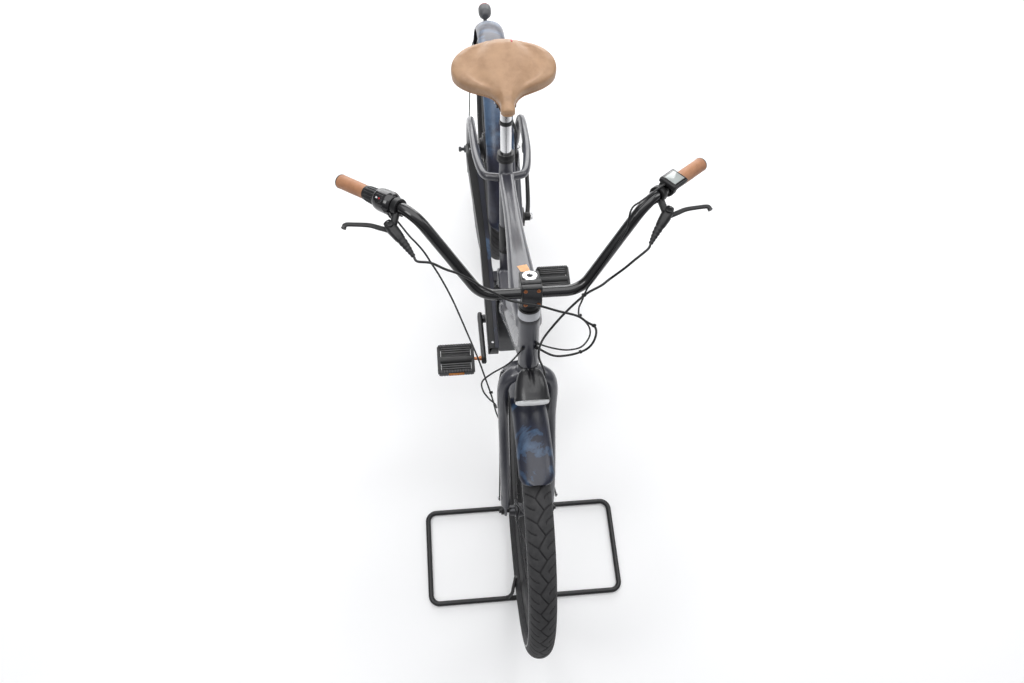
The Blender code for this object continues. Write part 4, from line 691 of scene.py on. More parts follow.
NAVY = finish_of("matte_navy_paint", (0.022, 0.023, 0.036), 0.46, 0.0, 0.10, 9.0, 1500.0, 0.00003,
                 0.85, 0.3, 1.0)
CLOUD = cloud_paint("cloud_paint", [(0.30, (0.011, 0.012, 0.022)), (0.562, (0.015, 0.018, 0.034)),
                                    (0.578, (0.026, 0.050, 0.096)), (0.66, (0.052, 0.100, 0.175)),
                                    (0.80, (0.024, 0.030, 0.058))], 9.0)
CLOUD_PALE = cloud_paint("cloud_paint_rear", [(0.30, (0.014, 0.015, 0.030)),
                                              (0.48, (0.030, 0.032, 0.058)),
                                              (0.53, (0.050, 0.075, 0.130)),
                                              (0.62, (0.085, 0.150, 0.250)),
                                              (0.82, (0.052, 0.056, 0.100))], 8.5)
GUARD_UNDER = finish_of("mudguard_underside", (0.020, 0.020, 0.022), 0.62)
BLACK_GLOSS = finish_of("gloss_black_paint", (0.007, 0.007, 0.008), 0.20, 0.0, 0.2, 18.0, 700.0,
                        0.00002, 0.6)
LAMP_BLACK = finish_of("satin_lamp_shell", (0.010, 0.010, 0.012), 0.34, 0.0, 0.15, 18.0, 900.0,
                       0.00003, 0.3)
BLACK_SATIN = finish_of("satin_black_paint", (0.010, 0.010, 0.011), 0.38, 0.0, 0.2, 20.0, 900.0,
                        0.00005)
STAND_BLACK = finish_of("powder_black_steel", (0.014, 0.014, 0.015), 0.34, 0.0, 0.15, 20.0, 900.0,
                        0.00006)
BLACK_PLASTIC = finish_of("moulded_black_plastic", (0.011, 0.011, 0.012), 0.42, 0.0, 0.15, 30.0,
                          1100.0, 0.00009)
CHARCOAL = finish_of("charcoal_plastic", (0.060, 0.061, 0.066), 0.52, 0.0, 0.12, 22.0, 1200.0,
                     0.00009)
PALE_GREY = finish_of("pale_grey_casing", (0.300, 0.305, 0.325), 0.45, 0.0, 0.07, 20.0, 1100.0,
                      0.00005)
DARK_METAL = finish_of("dark_anodised_metal", (0.070, 0.070, 0.074), 0.38, 0.8, 0.15, 40.0, 1200.0,
                       0.00004)
STEEL = brushed("bright_steel", (0.62, 0.62, 0.63), 0.24, (1.0, 1.0, 0.10))
SPOKE_BLACK = finish_of("black_spoke_steel", (0.030, 0.030, 0.032), 0.30, 0.6, 0.15, 60.0, 1200.0,
                        0.00003)
POLISHED = brushed("polished_post", (0.86, 0.86, 0.87), 0.12, (6.0, 6.0, 0.3), 200.0)
DISC_STEEL = brushed("ground_disc_steel", (0.58, 0.58, 0.59), 0.26, (1.0, 0.35, 0.35), 420.0)
CHAIN_STEEL = brushed("oiled_chain_steel", (0.33, 0.32, 0.31), 0.36, (1.0, 1.0, 1.0), 500.0)
COPPER = finish_of("copper_coloured_bolts", (0.46, 0.20, 0.10), 0.34, 1.0, 0.18, 160.0, 900.0,
                   0.00003)
# Tyre rubber with painted shade in its tread grooves.
TYRE_RUBBER_GROOVE_SHADE = groove_shaded_tyre_rubber()
SIDEWALL = finish_of("sidewall_rubber", (0.022, 0.022, 0.024), 0.66, 0.0, 0.2, 35.0, 1300.0,
                     0.00008)
REFLEX = finish_of("reflex_line", (0.42, 0.42, 0.43), 0.45, 0.0, 0.08, 90.0, 1500.0, 0.00003)
LEATHER = leather("tan_saddle_leather", (0.455, 0.280, 0.165), (0.365, 0.212, 0.118), 620.0, 0.36)
LEATHER_EDGE = leather("saddle_seam_leather", (0.440, 0.240, 0.125), (0.330, 0.170, 0.085))
GRIP_LEATHER = leather("grip_leather", (0.430, 0.205, 0.105), (0.300, 0.130, 0.064), 900.0, 0.5,
                       0.00018)
THREAD = finish_of("waxed_thread", (0.180, 0.090, 0.045), 0.6, 0.0, 0.2, 400.0, 3000.0, 0.0001)
HOSE = finish_of("black_hose", (0.014, 0.014, 0.015), 0.36, 0.0, 0.15, 60.0, 1500.0, 0.00003)
LENS = clear_plastic("clear_lens", (0.95, 0.96, 0.97), 0.08, 0.18)
TAIL_GREY = finish_of("tail_lamp_casing", (0.115, 0.116, 0.122), 0.36, 0.0, 0.12, 40.0, 1100.0,
                      0.00005)
PEDAL_GREY = finish_of("pedal_cage_plastic", (0.036, 0.036, 0.037), 0.48, 0.0, 0.15, 30.0, 1100.0,
                       0.00009)
RED_LENS = clear_plastic("red_lens", (0.45, 0.012, 0.016), 0.12, 0.35)
AMBER = clear_plastic("amber_reflector", (0.80, 0.26, 0.02), 0.15, 0.30)
SCREEN = finish_of("display_glass", (0.400, 0.430, 0.420), 0.12, 0.0, 0.05, 50.0, 300.0, 0.00001,
                   0.6)
TREAD_PAD = finish_of("pedal_rubber", (0.080, 0.080, 0.081), 0.55, 0.0, 0.2, 50.0, 1500.0, 0.0001)
RED_MARK = finish_of("red_mark", (0.48, 0.020, 0.030), 0.4, 0.0, 0.1, 80.0)
WHITE_MARK = finish_of("white_mark", (0.72, 0.72, 0.73), 0.4, 0.0, 0.06, 80.0)
SILVER_BAND = finish_of("silver_band", (0.56, 0.57, 0.60), 0.33, 0.35, 0.08, 60.0, 1200.0, 0.00003)
ORANGE_PATCH = finish_of("orange_patch", (0.80, 0.42, 0.20), 0.5, 0.0, 0.16, 60.0, 1300.0, 0.00003)


# Wheels

TREAD_REPEATS = 42


def groove_field(w, a, pitch):
    """How deep the tread is cut at a sideways place w and a way round a, from 0 to 1."""
    far = 0.0340
    runs = [((0.0095, 0), (-0.0080, 0.5)), ((-0.0080, 0.5), (0.0095, 1.0)),
            ((0.0095, 0), (0.020, -0.15)), ((0.020, -0.15), (far, -0.27)),
            ((-0.0080, 0.5), (-0.020, 0.365)), ((-0.020, 0.365), (-far, 0.25)),
            ((far, 0.23), (0.020, 0.345)), ((0.020, 0.345), (0.0135, 0.44)),
            ((0.0135, 0.44), (0.0125, 0.54)), ((-far, 0.75), (-0.022, 0.90)),
            ((-0.022, 0.90), (-0.0115, 0.965))]
    depth = np.zeros_like(w)
    for number, ((w0, a0), (w1, a1)) in enumerate(runs):
        half = 0.0015 if number < 6 else 0.0012
        for shift in (-1, 0, 1):
            p0 = np.array((w0, (a0 + shift) * pitch))
            p1 = np.array((w1, (a1 + shift) * pitch))
            run = p1 - p0
            t = np.clip(((w - p0[0]) * run[0] + (a - p0[1]) * run[1]) / (run @ run), 0, 1)
            off = np.hypot(w - p0[0] - t * run[0], a - p0[1] - t * run[1])
            depth = np.maximum(depth, np.clip((half - off) / 0.0009 + 0.5, 0, 1))
    fade = np.clip((0.0365 - np.abs(w)) / 0.003, 0, 1)
    return depth * fade


def tyre(name, axle, body):
    """Tyre skin with a cut tread, painted shade in its cuts and a pale line on its walls, over a plain inner
    bead.
    """
    half = TYRE_WIDTH / 2
    centre = WHEEL_RADIUS - half
    columns = TREAD_REPEATS * 21
    tread = np.radians(np.linspace(-66, 66, 41))
    wall = np.radians(np.concatenate([np.linspace(-122, -74, 9), [-70]]))
    turns = np.concatenate([wall, tread, -wall[::-1]])
    t, u = np.meshgrid(turns, turns_of(columns), indexing="ij")
    pitch = 2 * math.pi * WHEEL_RADIUS / TREAD_REPEATS
    along = (u * WHEEL_RADIUS) % pitch
    cut = groove_field(t * half, along, pitch)
    lean = np.abs(np.degrees(t))
    ridge = np.exp(-((lean - 108) / 3.0) ** 2) * 0.0009
    r_tube = half - cut * 0.0017 + ridge - np.exp(-((lean - 72) / 3.0) ** 2) * 0.0006
    x = r_tube * np.sin(t)
    r = centre + r_tube * np.cos(t)
    rings = np.stack([axle[0] + x, axle[1] + r * np.sin(-u), axle[2] + r * np.cos(-u)], -1)
    shape = Shape()
    loft(shape, rings, caps=False)
    degrees = np.degrees(np.abs(turns[:-1] + turns[1:])) / 2
    side = np.where(degrees > 68, 1, 0)
    line = np.where((degrees > 88) & (degrees < 93), 2, side)
    shape.marks = np.repeat(line, columns).tolist()
    foot = math.radians(58)
    edge = (half * math.sin(foot), centre - half * math.cos(foot))
    bead = [(-edge[0], edge[1]), (-0.0140, RIM_EDGE - 0.002), (-0.0140, RIM_EDGE - 0.0070),
            (0.0140, RIM_EDGE - 0.0070), (0.0140, RIM_EDGE - 0.002), edge]
    inner = Shape()
    lathe(inner, bead, axle, X_AXIS, 180, True, 1)
    mesh = shape.mesh(name)
    # Groove depth for the tread material, which paints shade in the cuts from it.
    attribute = mesh.attributes.new("groove", "FLOAT", "POINT")
    attribute.data.foreach_set("value", cut.reshape(-1).astype(np.float32))
    make(name + "_skin", mesh, [TYRE_RUBBER_GROOVE_SHADE, SIDEWALL, REFLEX], body, (name,), 50.0)
    make(name + "_bead", inner, [SIDEWALL, SIDEWALL], body)


def rim(shape, axle, mark=0):
    """Box rim with upturned edges and a narrow foot."""
    half, edge, foot = 0.0165, RIM_EDGE, RIM_FOOT
    profile = [(-half, edge), (-half + 0.0022, edge), (-half + 0.0022, edge - 0.0075),
               (half - 0.0022, edge - 0.0075), (half - 0.0022, edge), (half, edge),
               (half, edge - 0.012), (half * 0.62, foot + 0.006), (half * 0.30, foot),
               (-half * 0.30, foot), (-half * 0.62, foot + 0.006), (-half, edge - 0.012)]
    lathe(shape, profile, axle, X_AXIS, 216, True, mark, 0.0012)


def lacing(shape, axle, flange_x, flange_radius, mark=0, nipple_mark=1):
    """Crossed round spokes with their nipples and bent heads."""
    for k in range(SPOKES):
        side = 1 if k % 2 else -1
        lead = 1 if (k // 2) % 2 else -1
        rim_turn = 2 * math.pi * k / SPOKES
        hub_turn = rim_turn + lead * math.radians(62)
        hub_x = side * (flange_x + lead * 0.0019)
        start = spin(axle, hub_turn, flange_radius, hub_x)
        end = spin(axle, rim_turn, RIM_FOOT + 0.003) + X_AXIS * side * 0.003
        tube(shape, np.array([start, end]), 0.0010, 10, mark=mark)
        seat_at = end - unit(end - start) * 0.0150
        lathe(shape, [(0, 0.0010), (0, 0.0017), (0.009, 0.0019), (0.012, 0.0030), (0.0155, 0.0030),
                      (0.0155, 0.0010)], seat_at, end - start, 10, True, nipple_mark)
        collar(shape, -0.0008, 0.0010, 0, 0.0018, start + X_AXIS * side * 0.0016 * lead,
               X_AXIS * side, 10, mark)


def valve(shape, axle, turn, mark=0):
    """Valve stem through the rim, pointing at the hub."""
    out = spin(0, turn, 1.0)
    base = axle + out * RIM_FOOT
    lathe(shape, [(0.0, 0), (0.0, 0.0055), (-0.003, 0.0055), (-0.003, 0.0030), (-0.034, 0.0030),
                  (-0.036, 0.0040), (-0.048, 0.0038), (-0.050, 0.0025), (-0.050, 0)], base, out, 20,
          False, mark, 0.0005)


def wheel(name, axle, shell, flange_x, flange_radius, body, replaced):
    """Rim, turned hub shell, spokes and valve as one piece."""
    shape = Shape()
    rim(shape, axle, 0)
    lathe(shape, shell, axle, X_AXIS, 72, True, 1, 0.0008)
    lacing(shape, axle, flange_x, flange_radius, 2, 3)
    valve(shape, axle, math.pi / SPOKES, 1)
    return make(name, shape, [BLACK_SATIN, DARK_METAL, SPOKE_BLACK, SPOKE_BLACK], body, (replaced,))


def disc(name, axle, x, inner, carrier, body, replaced):
    """Brake disc with a drilled band, curved arms and six bolts."""
    shape = Shape()
    half = DISC_HALF
    cells = 48
    r0, r1 = 0.0670, DISC_RADIUS
    hole = 0.0019
    for c in range(cells):
        middle = (c + 0.5) * 2 * math.pi / cells
        mid_r = (r0 + r1) / 2 + (0.0026 if c % 2 else -0.0026)
        spots = []
        wide = math.pi / cells
        for a, b in ((-1, -1), (-0.5, -1), (0, -1), (0.5, -1), (1, -1), (1, -0.5), (1, 0), (1, 0.5),
                     (1, 1), (0.5, 1), (0, 1), (-0.5, 1), (-1, 1), (-1, 0.5), (-1, 0), (-1, -0.5)):
            turn = middle + a * wide
            wave = 0.0009 * math.cos(turn * 12)
            r = (r0 if b < 0 else r1 + wave - 0.0009) if abs(b) == 1 else (r0 + r1) / 2 + b * (r1
                                                                                               - r0) / 2
            spots.append((r * math.sin(turn), r * math.cos(turn)))
        rims = []
        for k, (y, z) in enumerate(spots):
            base = (mid_r * math.sin(middle), mid_r * math.cos(middle))
            way = math.atan2(z - base[1], y - base[0])
            rims.append((base[0] + hole * math.cos(way), base[1] + hole * math.sin(way)))
        points = []
        for sx in (-half, half):
            points += [(x + sx, y, z) for y, z in spots] + [(x + sx, y, z) for y, z in rims]
        faces = []
        for k in range(16):
            l = (k + 1) % 16
            faces.append((k, l, 16 + l, 16 + k))
            faces.append((32 + k, 32 + l, 48 + l, 48 + k))
            faces.append((16 + k, 16 + l, 48 + l, 48 + k))
            if k in (0, 1, 2, 3, 8, 9, 10, 11):
                faces.append((k, l, 32 + l, 32 + k))
        shape.add(np.array(points) + axle, faces)
    collar(shape, x - half, x + half, inner, inner + 0.011, axle, X_AXIS, 96, 1, 0.0002)
    for k in range(6):
        turn = 2 * math.pi * k / 6
        line = []
        for s in np.linspace(0, 1, 9):
            r = inner + 0.008 + (r0 + 0.003 - inner - 0.008) * s
            line.append(spin(axle, turn + 0.55 * s * s, r, x))
        wide = 0.0055 - 0.0018 * np.sin(np.linspace(0, math.pi, 9))
        loft(shape, oval(np.array(line), wide, half * 1.05, 12, 0.45, up=X_AXIS), mark=1)
        bolt(shape, spin(axle, turn, inner + 0.0065, x + half * carrier), X_AXIS * carrier, 0.0028,
             0.0016, 1, 12)
    return make(name, shape, [DISC_STEEL, DARK_METAL], body, (replaced,))


def build_wheels():
    """Both tyres, wheels and discs."""
    tyre("front_tyre", FRONT_AXLE, "front_wheel")
    tyre("rear_tyre", REAR_AXLE, "rear_wheel")
    front_shell = [(-0.0455, 0.0058), (-0.0455, 0.012), (-0.031, 0.014), (-0.031, 0.0265),
                   (-0.025, 0.0265), (-0.022, 0.018), (-0.012, 0.0160), (0.012, 0.0160),
                   (0.022, 0.018), (0.025, 0.0265), (0.031, 0.0265), (0.031, 0.017),
                   (0.0378, 0.017), (0.0378, 0.0118), (0.0455, 0.0118), (0.0455, 0.0058)]
    wheel("front_wheel_laced", FRONT_AXLE, front_shell, 0.028, 0.0235, "front_wheel", "front_wheel")
    rear_shell = [(-0.056, 0.0058), (-0.056, 0.0172), (-0.040, 0.0172), (-0.040, 0.030),
                  (-0.031, 0.034), (-0.031, 0.047), (-0.026, 0.047), (-0.023, 0.040), (0.0, 0.0415),
                  (0.023, 0.040), (0.026, 0.047), (0.031, 0.047), (0.031, 0.030), (0.040, 0.024),
                  (0.040, 0.0138), (0.060, 0.0138), (0.060, 0.0058)]
    wheel("rear_wheel_laced", REAR_AXLE, rear_shell, 0.0285, 0.0435, "rear_wheel", "rear_wheel")
    disc("front_disc_drilled", FRONT_AXLE, FRONT_DISC_X, 0.0125, 1, "front_wheel", "front_disc")
    disc("rear_disc_drilled", REAR_AXLE, REAR_DISC_X, 0.0145, 1, "rear_wheel", "rear_disc")


# Mudguards

def guard_drop(turn):
    """How far the blade falls at a turn across it."""
    return GUARD_DROP * (1 - np.cos(turn)) / (1 - math.cos(GUARD_SWEEP))


def guard_point(axle, angle, share=0.0, lift=0.0):
    """A point over the blade's outer face, lifted along its normal."""
    turn = share * GUARD_SWEEP
    x = GUARD_HALF * math.sin(turn) / math.sin(GUARD_SWEEP) + lift * math.sin(turn)
    radius = GUARD_RADIUS - float(guard_drop(turn)) + lift * math.cos(turn)
    return spin(axle, math.radians(angle), radius, x)


def guard_angle(ends, share):
    """The angle at a share of a blade's length."""
    return ends[0] + (ends[1] - ends[0]) * share


def mudguard(name, axle, ends, skin, node):
    """A smooth blade with rolled edges and narrowed ends."""
    stations = np.linspace(0, 1, 150)
    count = 33
    turns = np.linspace(-1, 1, count) * GUARD_SWEEP
    rings = []
    for s in stations:
        angle = math.radians(guard_angle(ends, s))
        edge = min(s, 1 - s) * abs(ends[1] - ends[0])
        narrow = 1.0 if edge > 5 else 0.45 + 0.55 * math.sqrt(max(0, 1 - (1 - edge / 5) ** 2))
        x = GUARD_HALF * np.sin(turns) / math.sin(GUARD_SWEEP)
        drop = guard_drop(turns)
        outer = np.stack([x, drop], -1)
        inner = np.stack([x * (1 - GUARD_SKIN / GUARD_HALF), GUARD_SKIN + drop * 0.97], -1)[::-1]
        roll = []
        for side in (1, -1):
            ex = side * (GUARD_HALF - 0.0013)
            ez = GUARD_DROP + 0.0004
            for k in range(7):
                way = math.pi * k / 6
                roll.append((ex + side * 0.0013 * math.cos(way - 0.35),
                             ez + 0.0013 * math.sin(way - 0.35)))
        right = np.array(roll[:7])
        left = np.array(roll[7:])[::-1]
        section = np.concatenate([outer, right, inner, left])
        reach = GUARD_RADIUS - section[:, 1] * narrow
        rings.append(axle + np.stack([section[:, 0] * narrow, reach * math.sin(angle),
                                      reach * math.cos(angle)], -1))
    shape = Shape()
    loft(shape, np.array(rings), False, True)
    m = count * 2 + 14
    per = [0] * (count + 6) + [1] * (count + 1) + [0] * 7
    side_faces = (len(stations) - 1) * m
    shape.marks = (per * (len(stations) - 1))[:side_faces] + [0] * (len(shape.faces) - side_faces)
    return make(name, shape, [skin, GUARD_UNDER], "steering" if "front" in name else "frame",
                (node,), 50.0)


def guard_wires(name, axle, anchor, angle, body, node):
    """Wire stays with flattened eyes, clips and bolts on the blade."""
    lift = 0.0021
    edge = guard_point(axle, angle, 1, lift)
    left = [anchor, anchor * 0.7 + edge * 0.3, anchor * 0.15 + edge * 0.85 + X_AXIS * 0.004, edge,
            guard_point(axle, angle, 2 / 3, lift), guard_point(axle, angle, 1 / 3, lift)]
    whole = left + [guard_point(axle, angle, 0, lift)] + [flip(p) for p in reversed(left)]
    shape = Shape()
    tube(shape, smooth_line(whole, 8), 0.0018, 12)
    for side in (1, -1):
        eye = anchor if side > 0 else flip(anchor)
        collar(shape, -0.0015, 0.0015, 0.0027, 0.0060, eye, X_AXIS, 24, 0, 0.0004)
        bolt(shape, eye + X_AXIS * side * 0.0012, X_AXIS * side, 0.0042, 0.0032, 1)
        for share in (0.72, 0.30):
            spot = guard_point(axle, angle, side * share, 0.0005)
            out = unit(guard_point(axle, angle, side * share, 0.01) - spot)
            bolt(shape, spot + out * 0.0030, out, 0.0036, 0.0028, 1)
    return make(name, shape, [BLACK_SATIN, STEEL], body, (node,))


def build_guards():
    """Both mudguards and their wire stays."""
    mudguard("front_mudguard_blade", FRONT_AXLE, FRONT_GUARD, CLOUD, "front_mudguard")
    mudguard("rear_mudguard_blade", REAR_AXLE, REAR_GUARD, CLOUD_PALE, "rear_mudguard")
    front_angle = guard_angle(FRONT_GUARD, 12 / 17)
    rear_angle = guard_angle(REAR_GUARD, 15 / 17)
    guard_wires("front_guard_wires", FRONT_AXLE, at(LEG_X + 0.0147, 0.018, 0.400), front_angle,
                "steering", "front_guard_stay")
    x = STAY_X + DROPOUT_HALF + GAP + 0.0018
    guard_wires("rear_guard_wires", REAR_AXLE, vec(x, REAR_Y + 0.0155, AXLE_Z + 0.012), rear_angle,
                "frame", "rear_guard_stay")


# Frame, fork and stays

def top_tube(shape):
    """Broad flat tube that narrows to the seat, with a crease that dies out along its top."""
    start, end = seat(0.700), head(0.872)
    count = 90
    line = np.array([start + (end - start) * s for s in np.linspace(0, 1, count)])
    widths = between([0.0200, 0.0195, 0.0205, 0.0235, 0.0280, 0.0325, 0.0280], count)
    heights = between([0.0150, 0.0160, 0.0170, 0.0185, 0.0200, 0.0215, 0.0220], count)
    rings = oval(line, widths, heights, 64, 0.8, up=Z_AXIS)
    share = np.linspace(0, 1, count)
    deep = 0.0042 * np.clip(1.15 - share / 0.62, 0, 1) ** 0.8
    across = rings[:, :, 0]
    upper = rings[:, :, 2] > line[:, None, 2] + heights[:, None] * 0.35
    rings[:, :, 2] -= np.where(upper, deep[:, None] * np.exp(-(across / 0.0080) ** 2), 0)
    return loft(shape, rings)


def down_tube(shape):
    """Rounded square tube that curves from the head tube to the drive unit."""
    line = smooth_line([head(0.800), at(0, 0.300, 0.705), at(0, 0.410, 0.585), at(0, 0.520, 0.440),
                        at(0, 0.575, 0.360)], 12)
    widths = between([0.0235, 0.0250, 0.0270, 0.0290, 0.0300, 0.0305, 0.0305, 0.0300, 0.0290],
                     len(line))
    heights = between([0.0250, 0.0260, 0.0270, 0.0280, 0.0290, 0.0300, 0.0300, 0.0290, 0.0280],
                      len(line))
    return loft(shape, oval(line, widths, heights, 48, 0.75, up=X_AXIS))


def main_frame():
    """Head, top, down and seat tubes and the plate over the drive unit, welded."""
    shape = Shape()
    collar(shape, 0, 0.153 / math.sin(HEAD_ANGLE), 0, HEAD_RADIUS, head(HEAD_LOW), HEAD_AXIS)
    top_tube(shape)
    down_tube(shape)
    rod(shape, seat(0.372), seat(SEAT_TOP[1]), SEAT_TUBE_RADIUS, 48)
    outline = [(FRONT_Y + y, z) for y, z in ((0.530, 0.3605), (0.6785, 0.3605), (0.6785, 0.266),
                                             (0.692, 0.266), (0.692, 0.388), (0.660, 0.415),
                                             (0.560, 0.410), (0.530, 0.390))]
    prism(shape, outline, -0.024, 0.024, 0.006, 0.003)
    return fused("main_frame_welded", shape, 0.0027, 12, "frame", "main_frame")


def head_details():
    """Plain silver band, edge lines and bearing cups on the head tube."""
    shape = Shape()
    top = head(HEAD_HIGH)
    length = (HEAD_HIGH - HEAD_LOW) / math.sin(HEAD_ANGLE)
    for low, high, mark in ((-0.0240, -0.0050, 0), (-0.0330, -0.0250, 1)):
        collar(shape, low, high, HEAD_RADIUS - 0.001, HEAD_RADIUS + 0.0005, top, HEAD_AXIS, 72,
               mark, 0.0003)
    for low, high in ((-0.0045, -0.0002), (-length + 0.0002, -length + 0.0050)):
        collar(shape, low, high, STEERER_RADIUS + 0.004, HEAD_RADIUS + 0.0008, top, HEAD_AXIS, 72,
               2, 0.0009)
    make("head_tube_band", shape, [SILVER_BAND, CHARCOAL, BLACK_SATIN], "frame")


def skin_of(made):
    """A search tree over a finished piece, for laying thin things on its surface."""
    points = [made.matrix_world @ v.co for v in made.data.vertices]
    return BVHTree.FromPolygons(points, [tuple(f.vertices) for f in made.data.polygons])


def top_tube_patch(frame):
    """Plain orange patch laid on the top tube's skin near the head tube."""
    tree = skin_of(frame)
    near_left, near_right = np.array((-0.0004, 0.369)), np.array((0.0200, 0.373))
    far_left, far_right = np.array((-0.0098, 0.402)), np.array((0.0124, 0.407))
    rows = []
    for s in np.linspace(0, 1, 26):
        row = []
        left = near_left * (1 - s) + far_left * s
        right = near_right * (1 - s) + far_right * s
        for t in np.linspace(0, 1, 16):
            x, y = left * (1 - t) + right * t
            x += 0.0012 * math.sin(math.pi * s)
            spot = tree.ray_cast(Vector((x, FRONT_Y + y, 0.97)), Vector((0, 0, -1)))[0]
            row.append(np.array(spot) + Z_AXIS * 0.0006)
        rows.append(row)
    rows = np.array(rows)
    low = rows - Z_AXIS * 0.0012
    n, m = rows.shape[:2]
    sheet = [[i * m + j, i * m + j + 1, (i + 1) * m + j + 1, (i + 1) * m + j] for i in range(n - 1)
             for j in range(m - 1)]
    k = n * m
    rim = list(range(m)) + [i * m + m - 1 for i in range(1, n)] + [(n - 1) * m + j
                                                                   for j in reversed(range(m - 1))]
    rim += [i * m for i in reversed(range(1, n - 1))]
    faces = sheet + [[k + i for i in reversed(f)] for f in sheet]
    faces += [[rim[i], rim[(i + 1) % len(rim)], k + rim[(i + 1) % len(rim)], k + rim[i]]
              for i in range(len(rim))]
    patch = Shape()
    patch.add(np.concatenate([rows.reshape(-1, 3), low.reshape(-1, 3)]), faces)
    make("top_tube_patch", patch, ORANGE_PATCH, "frame")


def seat_tube_sleeve():
    """Plain dark sleeve and a screwed cap low on the seat tube's front, as the photo shows them."""
    shape = Shape()
    r = SEAT_TUBE_RADIUS
    for low, high, grow, mark in ((0.470, 0.545, 0.0007, 0), (0.545, 0.549, 0.0017, 1),
                                  (0.466, 0.470, 0.0017, 1)):
        a, b = seat(low), seat(high)
        span = float(np.linalg.norm(b - a))
        collar(shape, 0, span, r - 0.001, r + grow, a, SEAT_AXIS, 56, mark, 0.0005)
    out = -SEAT_BACK
    lathe(shape, [(0, 0), (0, 0.0075), (0.0016, 0.0070), (0.0016, 0.0030), (0.0006, 0.0026),
                  (0.0006, 0)], seat(0.485) + out * (r + 0.0003), out, 40, False, 2, 0.0004)
    make("seat_tube_sleeve", shape, [BLACK_SATIN, BLACK_PLASTIC, DARK_METAL], "frame")


def leg_line(side):
    """One fork leg's centre line, from the crown to the dropout."""
    return smooth_line([head(CROWN_Z) + vec(side * 0.004, 0, 0),
                        head(CROWN_Z - 0.006) + vec(side * LEG_X * 0.62, 0, 0.0),
                        head(CROWN_Z - 0.040) + vec(side * LEG_X, 0, 0),
                        head(CROWN_Z - 0.140) + vec(side * LEG_X, -0.002, 0),
                        at(side * LEG_X, 0.052, 0.470),
                        at(side * LEG_X, 0.010, AXLE_Z + 0.022)], 14)


def caliper_centre(axle, x, angle):
    """The middle of a caliper on its disc's band."""
    return spin(axle, math.radians(angle), DISC_RADIUS * 0.93, x)


def fork():
    """Steerer, crown, legs, dropouts and the caliper's lug, welded."""
    shape = Shape()
    rod(shape, head(CROWN_Z - 0.004), head(0.982), STEERER_RADIUS, 48)
    rod(shape, head(CROWN_Z - 0.012), head(HEAD_LOW - 0.0003), HEAD_RADIUS, 64)
    for side in (-1, 1):
        line = leg_line(side)
        widths = np.linspace(0.0140, 0.0115, len(line))
        depths = np.linspace(0.01815, 0.01353, len(line))
        loft(shape, oval(line, widths, depths, 36, 0.9, up=vec(0, 1, 0.0001)))
        outline = [(FRONT_Y - 0.013, AXLE_Z - 0.006), (FRONT_Y - 0.007, AXLE_Z - 0.013),
                   (FRONT_Y + 0.007, AXLE_Z - 0.013), (FRONT_Y + 0.014, AXLE_Z - 0.004),
                   (FRONT_Y + 0.020, AXLE_Z + 0.030), (FRONT_Y - 0.002, AXLE_Z + 0.032)]
        prism(shape, outline, side * LEG_X - 0.004, side * LEG_X + 0.004, 0.004, 0.0012)
    middle = caliper_centre(FRONT_AXLE, FRONT_DISC_X, FRONT_CALIPER_ANGLE)
    lug = [(FRONT_Y + 0.006, AXLE_Z + 0.012), (middle[1] + 0.008, middle[2] - 0.014),
           (middle[1] + 0.008, middle[2] + 0.014), (FRONT_Y + 0.032, AXLE_Z + 0.072)]
    prism(shape, lug, LEG_X - 0.0045, LEG_X + 0.0027, 0.004, 0.001)
    angle = guard_angle(FRONT_GUARD, 5 / 17)
    rod(shape, guard_point(FRONT_AXLE, angle, 0, 0.0005), guard_point(FRONT_AXLE, angle, 0, 0.068),
        0.0065, 24)
    return fused("fork_legs_and_crown", shape, 0.0024, 8, "steering", "fork")


def stay_hoop():
    """The upper stays as one line, from dropout to dropout round the seat tube."""
    back = seat(0.667) + vec(0, (SEAT_TUBE_RADIUS + 0.0003) / math.sin(math.acos(SEAT_AXIS[1]))
                             + STAY_RADIUS * 1.02, 0)

    def run(side):
        x = STAY_X
        return [vec(side * x, REAR_Y, AXLE_Z + 0.022), vec(side * (x + 0.001), REAR_Y - 0.018,
                                                           AXLE_Z + 0.100),
                vec(side * (x + 0.001), REAR_Y - 0.070, AXLE_Z + 0.205),
                vec(side * x, REAR_Y - 0.160, AXLE_Z + 0.258), vec(side * (x - 0.003),
                                                                   REAR_Y - 0.270, AXLE_Z + 0.290)]
    corner = back + vec(0, 0.012, -0.001)
    hoop = run(-1) + [corner + vec(-0.055, 0.006, -0.004), corner + vec(-0.030, -0.010, 0.0), back,
                      corner + vec(0.030, -0.010, 0.0), corner + vec(0.055, 0.006, -0.004)]
    return smooth_line(hoop + list(reversed(run(1))), 12)


def lower_stay_line(side, steps=10):
    """One lower stay's centre line."""
    return smooth_line([vec(side * STAY_X, REAR_Y - 0.012, AXLE_Z - 0.004),
                        vec(side * (STAY_X - 0.004), REAR_Y - 0.120, AXLE_Z - 0.018),
                        vec(side * (STAY_X - 0.012), REAR_Y - 0.300, AXLE_Z - 0.040),
                        vec(side * 0.040, REAR_Y - 0.420, AXLE_Z - 0.052),
                        vec(side * 0.028, REAR_Y - 0.452, AXLE_Z - 0.056)], steps)


